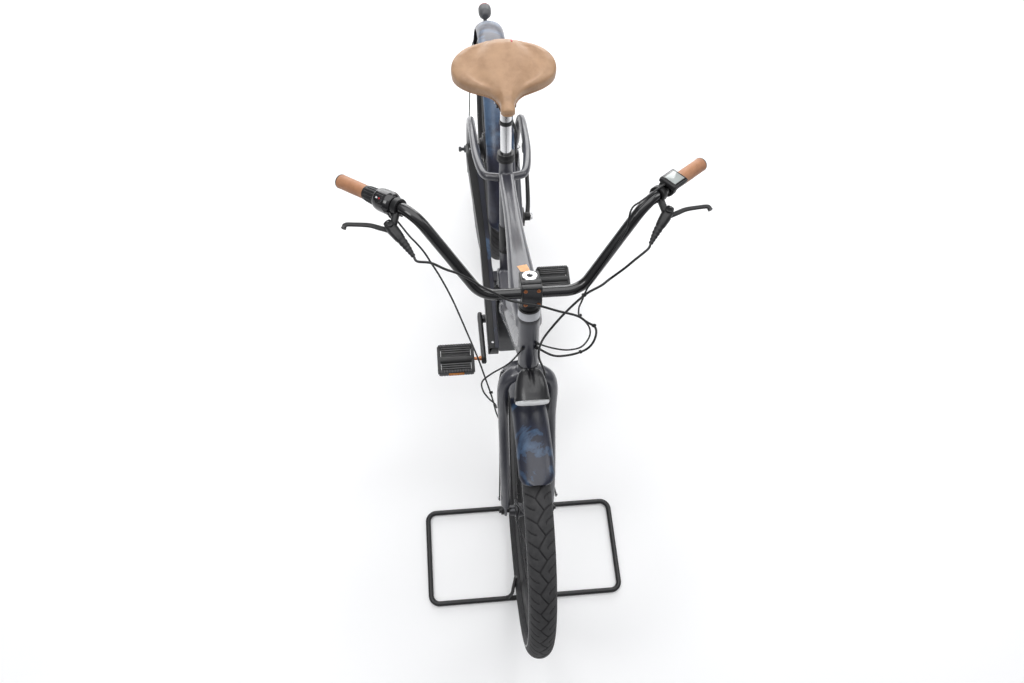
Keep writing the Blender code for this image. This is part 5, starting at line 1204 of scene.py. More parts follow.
def rear_stays():
    """Upper hoop, lower stays, dropouts, yoke and the caliper's lug, welded."""
    shape = Shape()
    tube(shape, stay_hoop(), STAY_RADIUS, 28)
    for side in (-1, 1):
        tube(shape, lower_stay_line(side), STAY_RADIUS, 28)
        outline = [(REAR_Y - 0.030, AXLE_Z - 0.016), (REAR_Y + 0.012, AXLE_Z - 0.020),
                   (REAR_Y + 0.020, AXLE_Z), (REAR_Y + 0.014, AXLE_Z + 0.034),
                   (REAR_Y - 0.012, AXLE_Z + 0.036), (REAR_Y - 0.036, AXLE_Z + 0.006)]
        prism(shape, outline, side * STAY_X - DROPOUT_HALF, side * STAY_X + DROPOUT_HALF, 0.004,
              0.0008)
    seam = FRONT_Y + 0.678 + 0.014 + 0.0006
    yoke = [(seam, AXLE_Z - 0.080), (REAR_Y - 0.430, AXLE_Z - 0.072),
            (REAR_Y - 0.430, AXLE_Z - 0.036), (seam, AXLE_Z - 0.034)]
    prism(shape, yoke, -0.036, 0.036, 0.003, 0.002)
    middle = caliper_centre(REAR_AXLE, REAR_DISC_X, REAR_CALIPER_ANGLE)
    lug = [(REAR_Y - 0.028, AXLE_Z - 0.010), (REAR_Y - 0.026, AXLE_Z + 0.020),
           (middle[1] + 0.010, middle[2] + 0.014), (middle[1] - 0.010, middle[2] + 0.014),
           (middle[1] - 0.016, AXLE_Z - 0.014)]
    prism(shape, lug, STAY_X - DROPOUT_HALF, STAY_X + DROPOUT_HALF, 0.004, 0.0008)
    return fused("rear_stays_welded", shape, 0.0025, 7, "frame", "rear_stays")


def axle_set(name, axle, inner, nut, left, right, body, node):
    """Axle with a six-sided nut and a washer outside each dropout."""
    shape = Shape()
    collar(shape, -right, left, 0, 0.0046, axle, X_AXIS, 32, 0, 0.0006)
    for side in (-1, 1):
        place = axle + X_AXIS * side * inner
        collar(shape, 0, 0.0012, 0.0050, 0.0095, place, X_AXIS * side, 32, 0, 0.0003)
        lathe(shape, [(0.0012, 0), (0.0012, 0.0090), (nut * 0.9, 0.0090), (nut, 0.0078), (nut, 0)],
              place, X_AXIS * side, 6, False, 0)
        for k in range(5):
            at_x = nut + 0.0008 + k * 0.0014
            if at_x < (left if side > 0 else right) - inner - 0.001:
                lathe(shape, [(at_x, 0.0042), (at_x + 0.0004, 0.0050), (at_x + 0.0008, 0.0042)],
                      place, X_AXIS * side, 24, True, 0)
    return make(name, shape, BLACK_SATIN if body == "steering" else STEEL, body, (node,),
                30.0)


def caliper(name, axle, x, angle, face, body, node):
    """Two-half caliper with a bridge, bolts, a hose fitting and pads either side of the disc."""
    centre = caliper_centre(axle, x, angle)
    shape = Shape()
    half = DISC_HALF + 0.0008
    low_x, high_x = centre[0] - 0.0090, face - GAP
    out = spin(0, math.radians(angle), 1.0)
    along = np.cross(out, X_AXIS)

    def turned(pairs):
        return [(centre + (along * u + out * v))[1:] for u, v in pairs]
    body_outline = turned(((-0.018, -0.012), (0.018, -0.012), (0.0195, 0.0), (0.014, 0.0165),
                           (-0.014, 0.0165), (-0.0195, 0.0)))
    for a, b in ((low_x, x - half), (x + half, high_x)):
        prism(shape, body_outline, a, b, 0.004, 0.0012, 0)
    bridge = turned(((-0.012, 0.0105), (0.012, 0.0105), (0.012, 0.0160), (-0.012, 0.0160)))
    prism(shape, bridge, low_x + 0.001, high_x - 0.001, 0.001, 0.0008, 0)
    for u in (-0.0125, 0.0125):
        bolt(shape, centre + along * u - X_AXIS * (centre[0] - low_x), -X_AXIS, 0.0032, 0.0028, 1)
    lathe(shape, [(0, 0), (0, 0.0075), (0.0010, 0.0068), (0.0010, 0)],
          vec(low_x, centre[1], centre[2]), -X_AXIS, 32, False, 1, 0.0004)
    return make(name, shape, [BLACK_SATIN, STEEL], body, (node,))


def motor():
    """Rounded drive unit casting with side covers, ribs and screws."""
    shape = Shape()
    low, high = BRACKET[2] - 0.062, BRACKET[2] + 0.072
    front, back = 0.500, 0.678
    outline = [(front, low + 0.012), (front + 0.018, low), (back - 0.038, low),
               (back - 0.006, low + 0.020), (back, low + 0.075), (back - 0.023, high),
               (front + 0.020, high), (front, high - 0.030)]
    outline = [(FRONT_Y + y, z) for y, z in outline]
    prism(shape, outline, *MOTOR_SIDES, 0.012, 0.006, 0)
    for side, x in zip((-1, 1), MOTOR_SIDES):
        lathe(shape, [(0, 0.0132), (0, 0.044), (0.0013, 0.044), (0.0015, 0.041), (0.0008, 0.030),
                      (0.0015, 0.020), (0.0015, 0.0132)], BRACKET + X_AXIS * x, X_AXIS * side, 96,
              True, 1, 0.0004)
        for k in range(6):
            turn = 2 * math.pi * (k + 0.3) / 6
            spot = spin(BRACKET, turn, 0.0505, x + side * 0.0002)
            bolt(shape, spot, X_AXIS * side, 0.0030, 0.0013, 2, 16)
    for k in range(6):
        y = FRONT_Y + 0.528 + k * 0.019
        block(shape, (-0.030, y, low - 0.0001), (0.048, y + 0.005, low + 0.004), 0.0012, 2, 0)
    return make("drive_unit", shape, [CHARCOAL, BLACK_PLASTIC, STEEL], "frame", ("motor",))


def battery():
    """Battery cover along the down tube's back, with two seams and a lock on each side."""
    shape = Shape()
    line = smooth_line([at(0, 0.5230, 0.4950), at(0, 0.4700, 0.5650), at(0, 0.4100, 0.6440),
                        at(0, 0.3700, 0.6900)], 16)
    count = len(line)
    widths = between([0.0270, 0.0280, 0.0270, 0.0210], count)
    heights = between([0.0160, 0.0200, 0.0180, 0.0110], count)
    rings = oval(line, widths, heights, 48, 0.7, up=X_AXIS)
    ends = np.linspace(0, 1, count)
    close = np.clip(np.minimum(ends, 1 - ends) / 0.035, 0, 1) ** 0.5 * 0.12 + 0.88
    rings = line[:, None, :] + (rings - line[:, None, :]) * close[:, None, None]
    groove = sum(np.exp(-((ends - share) / 0.010) ** 2) * 0.03 for share in (0.34, 0.93))
    rings = line[:, None, :] + (rings - line[:, None, :]) * (1 - groove[:, None, None])
    loft(shape, rings)
    make("battery_cover", shape, PALE_GREY, "frame", ("battery",), 50.0)
    trim = Shape()
    k = int(count * 0.62)
    for side in (-1, 1):
        out = X_AXIS * side
        lathe(trim, [(0, 0), (0, 0.0080), (0.0010, 0.0076), (0.0010, 0.0040), (0.0002, 0.0036),
                     (0.0002, 0)], line[k] + out * (widths[k] - 0.0004), out, 40, False, 0, 0.0003)
    make("battery_lock", trim, BLACK_PLASTIC, "frame")


def build_frame():
    """Frame, fork, stays, axles, calipers, drive unit and battery."""
    frame_skin = main_frame()
    head_details()
    top_tube_patch(frame_skin)
    seat_tube_sleeve()
    fork()
    rear_stays()
    axle_set("front_axle_set", FRONT_AXLE, LEG_X + 0.0045, 0.007, LEG_X + 0.016, LEG_X + 0.016,
             "steering", "front_axle")
    inner = STAY_X + DROPOUT_HALF + GAP
    axle_set("rear_axle_set", REAR_AXLE, inner, 0.008, inner + 0.012, inner + 0.0078, "frame",
             "rear_axle")
    caliper("front_caliper_body", FRONT_AXLE, FRONT_DISC_X, FRONT_CALIPER_ANGLE, LEG_X - 0.0045,
            "steering", "front_caliper")
    caliper("rear_caliper_body", REAR_AXLE, REAR_DISC_X, REAR_CALIPER_ANGLE, STAY_X - DROPOUT_HALF,
            "frame", "rear_caliper")
    motor()
    battery()


# Cockpit

def bar_line(steps=14):
    """The handlebar's centre line, from end to end."""
    bend = round_corners([BAR_CENTRE, BAR_CENTRE + X_AXIS * 0.098, BAR_HIGH_BEND, BAR_END], 0.055,
                         steps)
    right = list(bend[1:])
    left = [flip(p) for p in reversed(right)]
    return np.array(left + [BAR_CENTRE] + right)


def bar_direction(side):
    """The end of the bar on a side, and the way inward."""
    a, b = BAR_HIGH_BEND, BAR_END
    if side < 0:
        a, b = flip(a), flip(b)
    return b, unit(a - b)


def bar_axes(side):
    """End of the bar, the way inward, the way up square to it, and the way across."""
    tip, inward = bar_direction(side)
    rise = unit(Z_AXIS - inward * inward[2])
    return tip, inward, rise, np.cross(inward, rise)


def handlebar():
    """The bent bar as one tube."""
    shape = Shape()
    tube(shape, spaced(bar_line(), 0.004), BAR_RADIUS, 40)
    return make("handlebar_tube", shape, BLACK_GLOSS, "steering", ("handlebar",))


def stem():
    """Steerer clamp with its side bolts, and a raised split face held by four bolts."""
    shape = Shape()
    middle = head((STEM_LOW + STEM_HIGH) / 2)
    tall = (STEM_HIGH - STEM_LOW) / math.sin(HEAD_ANGLE) / 2
    rise = float(np.linalg.norm(head(BAR_LEVEL) - middle))
    half = 0.0205
    back = STEERER_RADIUS + STEM_WALL
    face = STEM_REACH + BAR_RADIUS + STEM_WALL
    turn = basis(middle, X_AXIS, HEAD_FRONT, HEAD_AXIS)
    split = STEM_REACH + 0.0012
    low, high = rise - FACE_HALF, rise + FACE_HALF
    block(shape, (-half, -back, -tall), (half, STEM_REACH - 0.006, tall), 0.0030, 3, 0, turn)
    block(shape, (-half, STEM_REACH - BAR_RADIUS - 0.0020, low), (half, split - 0.0008, high),
          0.0030, 3, 0, turn)
    block(shape, (-half, split + 0.0008, low), (half, face, high), 0.0030, 3, 0, turn)
    block(shape, (-half + 0.004, face - 0.0006, low + 0.0045), (half - 0.004, face + 0.0003,
                                                                high - 0.0045), 0.0003, 1, 1, turn)
    to_world = np.array(turn)
    def w(x, y, z):
        return (to_world @ np.array((x, y, z, 1.0)))[:3]
    for x in (-0.0128, 0.0128):
        for z in (low + 0.0072, high - 0.0072):
            bolt(shape, w(x, face - 0.0004, z), HEAD_FRONT, 0.0040, 0.0022, 2, 28)
    for z in (-0.015, 0.008):
        bolt(shape, w(half - 0.0003, -0.010, z), X_AXIS, 0.0040, 0.0020, 2, 28)
        lathe(shape, [(0, 0), (0, 0.0042), (0.0010, 0.0040), (0.0010, 0)],
              w(-half + 0.0003, -0.010, z), -X_AXIS, 28, False, 0, 0.0003)
    return make("stem_clamp", shape, [BLACK_SATIN, DARK_METAL, COPPER], "steering", ("stem",))


def steerer_parts():
    """Polished cap with a dark recess, and the spacers under the stem."""
    shape = Shape()
    top = head(STEM_HIGH + 0.0004)
    lathe(shape, [(0, 0.0), (0, 0.0155), (0.0026, 0.0155), (0.0038, 0.0140), (0.0040, 0.0066),
                  (0.0016, 0.0054), (0.0016, 0)], top, HEAD_AXIS, 72, False, 0, 0.0006)
    lathe(shape, [(0.0015, 0), (0.0015, 0.0050), (0.0030, 0.0046), (0.0030, 0.0024),
                  (0.0018, 0.0020), (0.0018, 0)], top, HEAD_AXIS, 6, False, 1, 0.0002)
    collar(shape, 0.0015, 0.0019, 0, 0.0060, top, HEAD_AXIS, 40, 1, 0.0001)
    make("steerer_cap_turned", shape, [POLISHED, BLACK_SATIN], "steering", ("steerer_cap",))
    cone = Shape()
    low = head(HEAD_HIGH)
    length = (STEM_LOW - HEAD_HIGH) / math.sin(HEAD_ANGLE) - 0.0003
    bore = STEERER_RADIUS + 0.0004
    lathe(cone, [(0.0003, bore), (0.0003, 0.0205), (length * 0.45, 0.0192),
                 (length * 0.45 + 0.0004, 0.0182), (length * 0.45 + 0.0008, 0.0190),
                 (length, 0.0175), (length, bore)], low, HEAD_AXIS, 72, True, 0, 0.0006)
    make("headset_spacers", cone, BLACK_SATIN, "steering", ("headset_cone",))


def grip(name, side, length, node):
    """Leather wrapped grip with a sewn seam underneath, a rolled edge and a black end cap."""
    tip, inward, rise, across = bar_axes(side)
    shape = Shape()
    bore = BAR_BORE
    profile = [(0.0, bore), (0.0, GRIP_RADIUS)]
    for s in np.linspace(0.02, 0.98, 60):
        swell = 0.00030 * math.sin(s * math.pi) + 0.00012 * math.sin(s * length / 0.0045 * 2
                                                                     * math.pi)
        profile.append((length * s, GRIP_RADIUS * (1 - 0.03 * s) - 0.0004 + swell))
    profile += [(length, GRIP_RADIUS * 0.97), (length, bore)]
    lathe(shape, profile, tip, inward, 72, True, 0)
    lathe(shape, [(-0.0050, 0), (-0.0050, GRIP_RADIUS * 0.78), (-0.0030, GRIP_RADIUS),
                  (-0.0003, GRIP_RADIUS * 1.01), (-0.0003, 0)], tip, inward, 64, False, 1, 0.0010)
    lathe(shape, [(-0.0052, 0.0025), (-0.0052, 0.0072), (-0.0047, 0.0075), (-0.0047, 0.0020)], tip,
          inward, 40, True, 1)
    lathe(shape, [(length - 0.0035, bore), (length - 0.0035, GRIP_RADIUS),
                  (length - 0.0005, GRIP_RADIUS * 0.99), (length - 0.0005, bore)], tip, inward, 64,
          True, 1, 0.0008)
    down = -rise
    for k in range(int(length / 0.0052) - 1):
        a = 0.005 + k * 0.0052
        for lean in (-1, 1):
            way = down * math.cos(0.14 * lean) + across * math.sin(0.14 * lean)
            start = tip + inward * a + way * GRIP_RADIUS
            end = tip + inward * (a + 0.0030) + down * (GRIP_RADIUS + 0.0003)
            tube(shape, np.array([start, (start + end) / 2 + down * 0.0004, end]), 0.00042, 6,
                 mark=2)
    return make(name, shape, [GRIP_LEATHER, BLACK_SATIN, THREAD], "steering", (node,))


def shifter():
    """Twist shifter: ribbed rotating cone, glossy housing, a window, and a cable stop."""
    tip, inward, rise, across = bar_axes(-1)
    start, end = GRIP_LENGTH_RIGHT + 0.0003, LEVER_PLACE - 0.0075
    span = end - start
    bore = BAR_BORE
    shape = Shape()
    shares, radii = (0, 0.10, 0.35, 0.42), (0.0150, 0.0156, 0.0165, 0.0180)
    turn = turns_of(96)
    out = np.cos(turn)[:, None] * rise + np.sin(turn)[:, None] * across
    rows = []
    for s in np.linspace(0, 0.42, 22):
        r = np.interp(s, shares, radii)
        rib = 0.0006 * np.sign(np.sin(turn * 16)) * (1 if 0.05 < s < 0.37 else 0)
        rows.append(tip + inward * (start + span * s) + out * (r - 0.0004 + rib)[:, None])
    rows.append(tip + inward * (start + span * 0.42) + out * bore)
    rows.insert(0, tip + inward * start + out * bore)
    loft(shape, np.array(rows), False, False, 0)
    lathe(shape, [(span * 0.43, bore), (span * 0.43, 0.0200), (span * 0.48, 0.0215),
                  (span * 0.58, 0.0225), (span * 0.85, 0.0225), (span * 0.93, 0.0200),
                  (span * 0.97, 0.0175), (span * 0.985, 0.0160), (span * 0.985, bore)],
          tip + inward * start, inward, 96, True, 1, 0.0010)
    forward = unit(vec(0, -1, 0) - inward * (inward @ vec(0, -1, 0)))
    look = unit(rise * 0.85 + forward * 0.5)
    other = np.cross(inward, look)
    pad = basis(tip + inward * (start + span * 0.66) + look * 0.0218, inward, other, look)
    block(shape, (-0.0095, -0.0075, -0.0010), (0.0095, 0.0075, 0.0014), 0.0010, 2, 2, pad)
    block(shape, (-0.0062, -0.0016, 0.0013), (-0.0014, 0.0016, 0.0017), 0.0003, 1, 3, pad)
    block(shape, (0.0016, -0.0016, 0.0013), (0.0046, 0.0016, 0.0017), 0.0003, 1, 4, pad)
    root = tip + inward * (start + span * 0.90) + forward * 0.0150 - rise * 0.004
    way = unit(forward * 0.35 + inward * 0.9 - rise * 0.35)
    lathe(shape, [(0, 0), (0, 0.0052), (0.010, 0.0048), (0.0102, 0.0038), (0.017, 0.0034),
                  (0.017, 0)], root, way, 32, False, 1, 0.0008)
    for k in range(3):
        lathe(shape, [(0.0110 + k * 0.0020, 0.0030), (0.0115 + k * 0.0020, 0.0042),
                      (0.0122 + k * 0.0020, 0.0030)], root, way, 24, True, 1)
    make("twist_shifter_body", shape, [BLACK_PLASTIC, BLACK_GLOSS, BLACK_GLOSS, WHITE_MARK,
                                       RED_MARK], "steering", ("twist_shifter",),
         32.0)
    return root + way * 0.017, way


def lever(name, side, node):
    """Hydraulic lever: split clamp, slanted cylinder with a cap, hose boot and blade."""
    tip, inward, rise, across = bar_axes(side)
    clamp_at = tip + inward * LEVER_PLACE

    def m(x, y, z):
        return at(side * x, y, z)
    shape = Shape()
    bore = BAR_BORE
    collar(shape, -0.0065, 0.0065, bore, bore + 0.0048, clamp_at, inward, 64, 0, 0.0010)
    ear = clamp_at - rise * 0.0165
    block(shape, (-0.0060, -0.0050, -0.0045), (0.0060, 0.0050, 0.0045), 0.0012, 2, 0,
          basis(ear, inward, across, rise))
    bolt(shape, ear + across * 0.0050, across, 0.0026, 0.0024, 1, 20)
    body = smooth_line([m(0.268, 0.341, 1.112), m(0.255, 0.322, 1.108), m(0.236, 0.296, 1.100),
                        m(0.222, 0.274, 1.094)], 20)
    radii = np.interp(np.linspace(0, 6, len(body)), range(7), [0.0075, 0.0105, 0.0110, 0.0095,
                                                               0.0080, 0.0060, 0.0040])
    half = int(len(body) * 0.52)
    loft(shape, oval(body[:half], radii[:half], radii[:half] * 0.96, 40, 0.85), mark=0)
    boot = body[half - 1:]
    waves = radii[half - 1:] * 0.93 + 0.00045 * np.sin(np.linspace(0, 11 * math.pi, len(boot)))
    tube(shape, boot, waves, 32, mark=2)
    cap_at = body[int(half * 0.45)] + rise * 0.0092
    lathe(shape, [(0, 0), (0, 0.0080), (0.0022, 0.0078), (0.0030, 0.0066), (0.0030, 0)], cap_at,
          rise, 40, False, 0, 0.0006)
    for dx in (-0.0045, 0.0045):
        bolt(shape, cap_at + rise * 0.0028 + unit(body[8] - body[0]) * dx, rise, 0.0014, 0.0008, 1,
             16)
    neck = m(0.258, 0.328, 1.110)
    drop = unit(neck - clamp_at)
    loft(shape, oval(np.array([clamp_at + drop * (bore + 0.001), neck]), 0.0066, 0.0066, 24, 0.8),
         mark=0)
    blade = smooth_line([m(0.262, 0.326, 1.104), m(0.282, 0.336, 1.101), m(0.302, 0.345, 1.099),
                         m(0.330, 0.350, 1.097), m(0.346, 0.351, 1.096), m(0.350, 0.343, 1.096)],
                        14)
    share = np.linspace(0, 1, len(blade))
    wide = np.interp(share, [0, 0.25, 0.6, 0.9, 1], [0.0046, 0.0048, 0.0042, 0.0046, 0.0048])
    thin = np.interp(share, [0, 0.3, 0.9, 1], [0.0040, 0.0030, 0.0028, 0.0040])
    loft(shape, oval(blade, wide, thin, 24, 0.7, up=Z_AXIS), mark=0)
    pivot = m(0.265, 0.326, 1.104)
    rod(shape, pivot - Z_AXIS * 0.0062, pivot + Z_AXIS * 0.0062, 0.0036, 24, 1, 0.0006)
    return make(name, shape, [BLACK_SATIN, STEEL, BLACK_PLASTIC], "steering", (node,))


def display():
    """Clamped screen with three buttons."""
    tip, inward, rise, across = bar_axes(1)
    centre = tip + inward * DISPLAY_PLACE
    place = basis(centre + rise * 0.016 - across * 0.004, inward, across, rise)
    shape = Shape()
    block(shape, (-0.024, -0.019, 0.0), (0.024, 0.019, 0.0105), 0.0030, 4, 0, place)
    block(shape, (-0.0215, -0.0165, 0.0098), (0.0215, 0.0165, 0.0114), 0.0008, 2, 1, place)
    block(shape, (-0.0175, -0.0125, 0.0108), (0.0175, 0.0125, 0.0119), 0.0004, 2, 2, place)
    for k in range(3):
        x = -0.010 + k * 0.010
        block(shape, (x - 0.0035, -0.0198, 0.0030), (x + 0.0035, -0.0180, 0.0070), 0.0006, 2, 1,
              place)
    collar(shape, -0.006, 0.006, BAR_BORE, BAR_BORE + 0.0055, centre, inward, 56, 0, 0.0010)
    make("display_unit", shape, [BLACK_PLASTIC, BLACK_GLOSS, SCREEN], "steering", ("display",))


def headlamp():
    """A hood of two lobes over a clear lens strip, on a bolted foot."""
    base = head(CROWN_Z + 0.020)

    def front(x, reach, z):
        return base + vec(x, -HEAD_RADIUS - reach, z)
    shape = Shape()
    line = smooth_line([front(0, 0.0035, 0.030), front(0, 0.016, 0.030), front(0, 0.040, 0.022),
                        front(0, 0.066, 0.010)], 16)
    wide = between([0.0170, 0.0275, 0.0345, 0.0378], len(line))
    high = between([0.0100, 0.0165, 0.0205, 0.0228], len(line))
    rings = oval(line, wide, high, 96, 0.86, up=Z_AXIS)
    share = np.linspace(0, 1, len(line))
    deep = 0.0125 * np.clip(1.0 - share / 0.80, 0, 1) ** 0.7
    across = rings[:, :, 0] - line[:, None, 0]
    above = rings[:, :, 2] > line[:, None, 2]
    groove = deep[:, None] * np.exp(-(across / (0.0034 + 0.0040 * share[:, None])) ** 2)
    crown = 0.0035 * np.clip(1 - (across / 0.034) ** 2, 0, 1) * share[:, None]
    rings[:, :, 2] += np.where(above, crown - groove, 0)
    loft(shape, rings, mark=0)
    lip = [line[-1] + vec(0, 0.0016, 0.0004), line[-1] - vec(0, 0.0030, -0.0001)]
    loft(shape, oval(np.array(lip), [0.0384, 0.0384], [0.0236, 0.0232], 96, 0.84, up=Z_AXIS),
         mark=2)
    block(shape, front(-0.008, 0.016, 0.012), front(0.008, GAP, 0.030), 0.0015, 2, 0)
    bolt(shape, front(0.008, 0.008, 0.021), X_AXIS, 0.0030, 0.0022, 1)
    make("headlamp_hoods", shape, [LAMP_BLACK, STEEL, BLACK_SATIN], "steering", ("headlamp",),
         50.0)
    lens = Shape()
    line = [front(0, 0.0664, 0.0092), front(0, 0.0690, 0.0086), front(0, 0.0725, 0.0076),
            front(0, 0.0745, 0.0068), front(0, 0.0752, 0.0064)]
    wide, high = [0.0362, 0.0364, 0.0355, 0.0325, 0.0280], [0.0212, 0.0214, 0.0205, 0.0180, 0.0140]
    loft(lens, oval(np.array(line), wide, high, 72, 0.8))
    glow = Shape()
    for side in (-1, 1):
        centre = front(side * 0.0165, 0.0662, 0.0095)
        for k in range(3):
            r = 0.014 - k * 0.0042
            lathe(glow, [(0.0, r), (0.0012, r - 0.0008), (0.0012, r - 0.0022), (0.0, r - 0.0030)],
                  centre, -Y_AXIS, 48)
    make("headlamp_reflectors", glow, POLISHED, "steering")
    make("headlamp_lens_strip", lens, LENS, "steering", ("headlamp_lens",), 50.0)


def cable(name, points, radius, node):
    """A round cord along a smooth curve; gives its line back."""
    shape = Shape()
    line = spaced(smooth_line(points, 12), 0.004)
    tube(shape, line, radius, 14)
    make(name, shape, HOSE, "steering", (node,))
    return line


def hose_start(side):
    """The first two points of a hose, just clear of its lever's boot."""
    root, end = at(0.236, 0.296, 1.100), at(0.222, 0.274, 1.094)
    out = unit(end - root)
    pair = [end + out * 0.0011, end + out * 0.012]
    return pair if side > 0 else [flip(p) for p in pair]


def hose_rear():
    """From the right lever, round the loop, to the head tube."""
    points = [(-0.191, 0.262, 1.087), (-0.166, 0.256, 1.073), (-0.140, 0.251, 1.061),
              (-0.113, 0.249, 1.035), (-0.101, 0.245, 1.024), (-0.074, 0.238, 1.007),
              (-0.048, 0.230, 0.991), (-0.019, 0.225, 0.984), (0.014, 0.220, 0.978),
              (0.051, 0.217, 0.959), (0.091, 0.214, 0.940), (0.112, 0.209, 0.921),
              (0.130, 0.205, 0.905), (0.134, 0.199, 0.882), (0.128, 0.192, 0.856),
              (0.113, 0.188, 0.836), (0.082, 0.186, 0.823), (0.049, 0.190, 0.818), PORT]
    return cable("hose_rear_brake", hose_start(-1) + [at(*p) for p in points], HOSE_RADIUS,
                 "hose_rear")


def hose_front():
    """From the left lever down the head tube's left side."""
    points = [(0.192, 0.250, 1.081), (0.172, 0.244, 1.059), (0.148, 0.240, 1.031),
              (0.131, 0.231, 1.0235), (0.102, 0.226, 1.0015), (0.072, 0.228, 0.937),
              (0.044, 0.212, 0.905), (0.025, 0.203, 0.866), (0.019, 0.196, 0.835),
              (0.021, 0.190, 0.805), (0.028, 0.184, 0.783), (0.033, 0.180, 0.765),
              (0.0345, 0.1745, 0.7505)]
    return cable("hose_front_brake", hose_start(1) + [at(*p) for p in points], HOSE_RADIUS,
                 "hose_front")


def gear_cable():
    """From the shifter down to the right fork leg."""
    tip, inward = bar_direction(-1)
    down = vec(0, -0.8, -0.6)
    down = unit(down - inward * (inward @ down))
    start = tip + inward * (LEVER_PLACE - 0.013) + down * 0.0222
    points = [(-0.228, 0.312, 1.106), (-0.216, 0.300, 1.099), (-0.203, 0.290, 1.083),
              (-0.191, 0.280, 1.059), (-0.176, 0.268, 1.027), (-0.155, 0.250, 0.969),
              (-0.133, 0.232, 0.884), (-0.109, 0.208, 0.794), (-0.097, 0.190, 0.748),
              (-0.080, 0.170, 0.668), (-0.0705, 0.160, 0.605), (-0.064, 0.1535, 0.578),
              (-0.0575, 0.1345, 0.5565)]
    line = [start, start + inward * 0.012 + down * 0.002] + [at(*p) for p in points]
    return cable("gear_cable_outer", line, CABLE_RADIUS, "gear_cable")


def display_cable():
    """From the display along the bar, then inside the rear hose's loop."""
    tip, inward, rise = bar_axes(1)[:3]
    start = tip + inward * (DISPLAY_PLACE + 0.0245) + rise * 0.0198
    points = [(0.204, 0.334, 1.147), (0.189, 0.325, 1.1445), (0.182, 0.315, 1.138),
              (0.180, 0.305, 1.123), (0.176, 0.296, 1.108), (0.149, 0.274, 1.059),
              (0.116, 0.246, 1.014), (0.107, 0.240, 0.9965), (0.097, 0.224, 0.979),
              (0.094, 0.223, 0.955), (0.099, 0.225, 0.919), (0.113, 0.219, 0.903),
              (0.122, 0.213, 0.887), (0.124, 0.207, 0.868), (0.117, 0.200, 0.849),
              (0.104, 0.196, 0.834), (0.077, 0.196, 0.828), (0.045, 0.202, 0.831), SECOND_PORT]
    line = [start, start + inward * 0.012] + [at(*p) for p in points]
    return cable("display_cable_run", line, CABLE_RADIUS, "display_cable")


def wiring_loop():
    """From the head tube to the right fork leg."""
    points = [flip(at(*PORT)), at(-0.030, 0.196, 0.808), at(-0.048, 0.190, 0.786),
              at(-0.082, 0.180, 0.767), at(-0.102, 0.172, 0.747), at(-0.100, 0.166, 0.713),
              at(-0.088, 0.160, 0.684), at(-0.074, 0.157, 0.658), at(-0.070, 0.157, 0.636)]
    return cable("wiring_loop_run", points, CABLE_RADIUS, "wiring_loop")


def band(shape, line, place, cord):
    """A narrow tie pulled tight on a cord, with its square head."""
    k = int(np.argmin(np.linalg.norm(line - place, axis=1)))
    along = unit(line[min(k + 2, len(line) - 1)] - line[max(k - 2, 0)])
    collar(shape, -0.0020, 0.0020, cord - 0.0001, cord + 0.0010, line[k], along, 32, 0, 0.0003)
    side, rise = frames(np.array([line[k] - along * 0.001, line[k] + along * 0.001]))
    block(shape, (-0.0024, -0.0022, cord + 0.0004), (0.0024, 0.0022, cord + 0.0036), 0.0006, 2, 0,
          basis(line[k], along, side[0], rise[0]))


def cables():
    """The five cords, the ties that bunch them, and grommets where they enter the head tube."""
    front, rear, gear, screen, loop = hose_front(), hose_rear(), gear_cable(), display_cable(), wiring_loop()
    ties = Shape()
    for line, place, cord in ((front, (0.104, 0.230, 0.998), HOSE_RADIUS),
                              (rear, (0.124, 0.206, 0.910), HOSE_RADIUS),
                              (rear, (0.106, 0.188, 0.833), HOSE_RADIUS),
                              (screen, (0.098, 0.225, 0.919), CABLE_RADIUS),
                              (gear, (-0.083, 0.174, 0.683), CABLE_RADIUS)):
        band(ties, line, at(*place), cord)
    make("cable_ties", ties, BLACK_PLASTIC, "steering")
    collars = Shape()
    for line, radius in ((rear[::-1], HOSE_RADIUS), (screen[::-1], CABLE_RADIUS),
                         (loop, CABLE_RADIUS)):
        way = unit(line[4] - line[0])
        lathe(collars, [(-0.0020, radius + 0.0001), (-0.0020, radius + 0.0022),
                        (0.0014, radius + 0.0018), (0.0050, radius + 0.0008),
                        (0.0050, radius + 0.0001)], line[0], way, 28, True, 0, 0.0004)
    make("cable_grommets", collars, BLACK_PLASTIC, "steering")


def build_cockpit():
    """Bar, stem, controls, headlamp and cords."""
    handlebar()
    stem()
    steerer_parts()
    grip("grip_left_leather", 1, GRIP_LENGTH_LEFT, "grip_left")
    grip("grip_right_leather", -1, GRIP_LENGTH_RIGHT, "grip_right")
    shifter()
    lever("brake_lever_left_set", 1, "brake_lever_left")
    lever("brake_lever_right_set", -1, "brake_lever_right")
    display()
    headlamp()
    cables()


# Drive

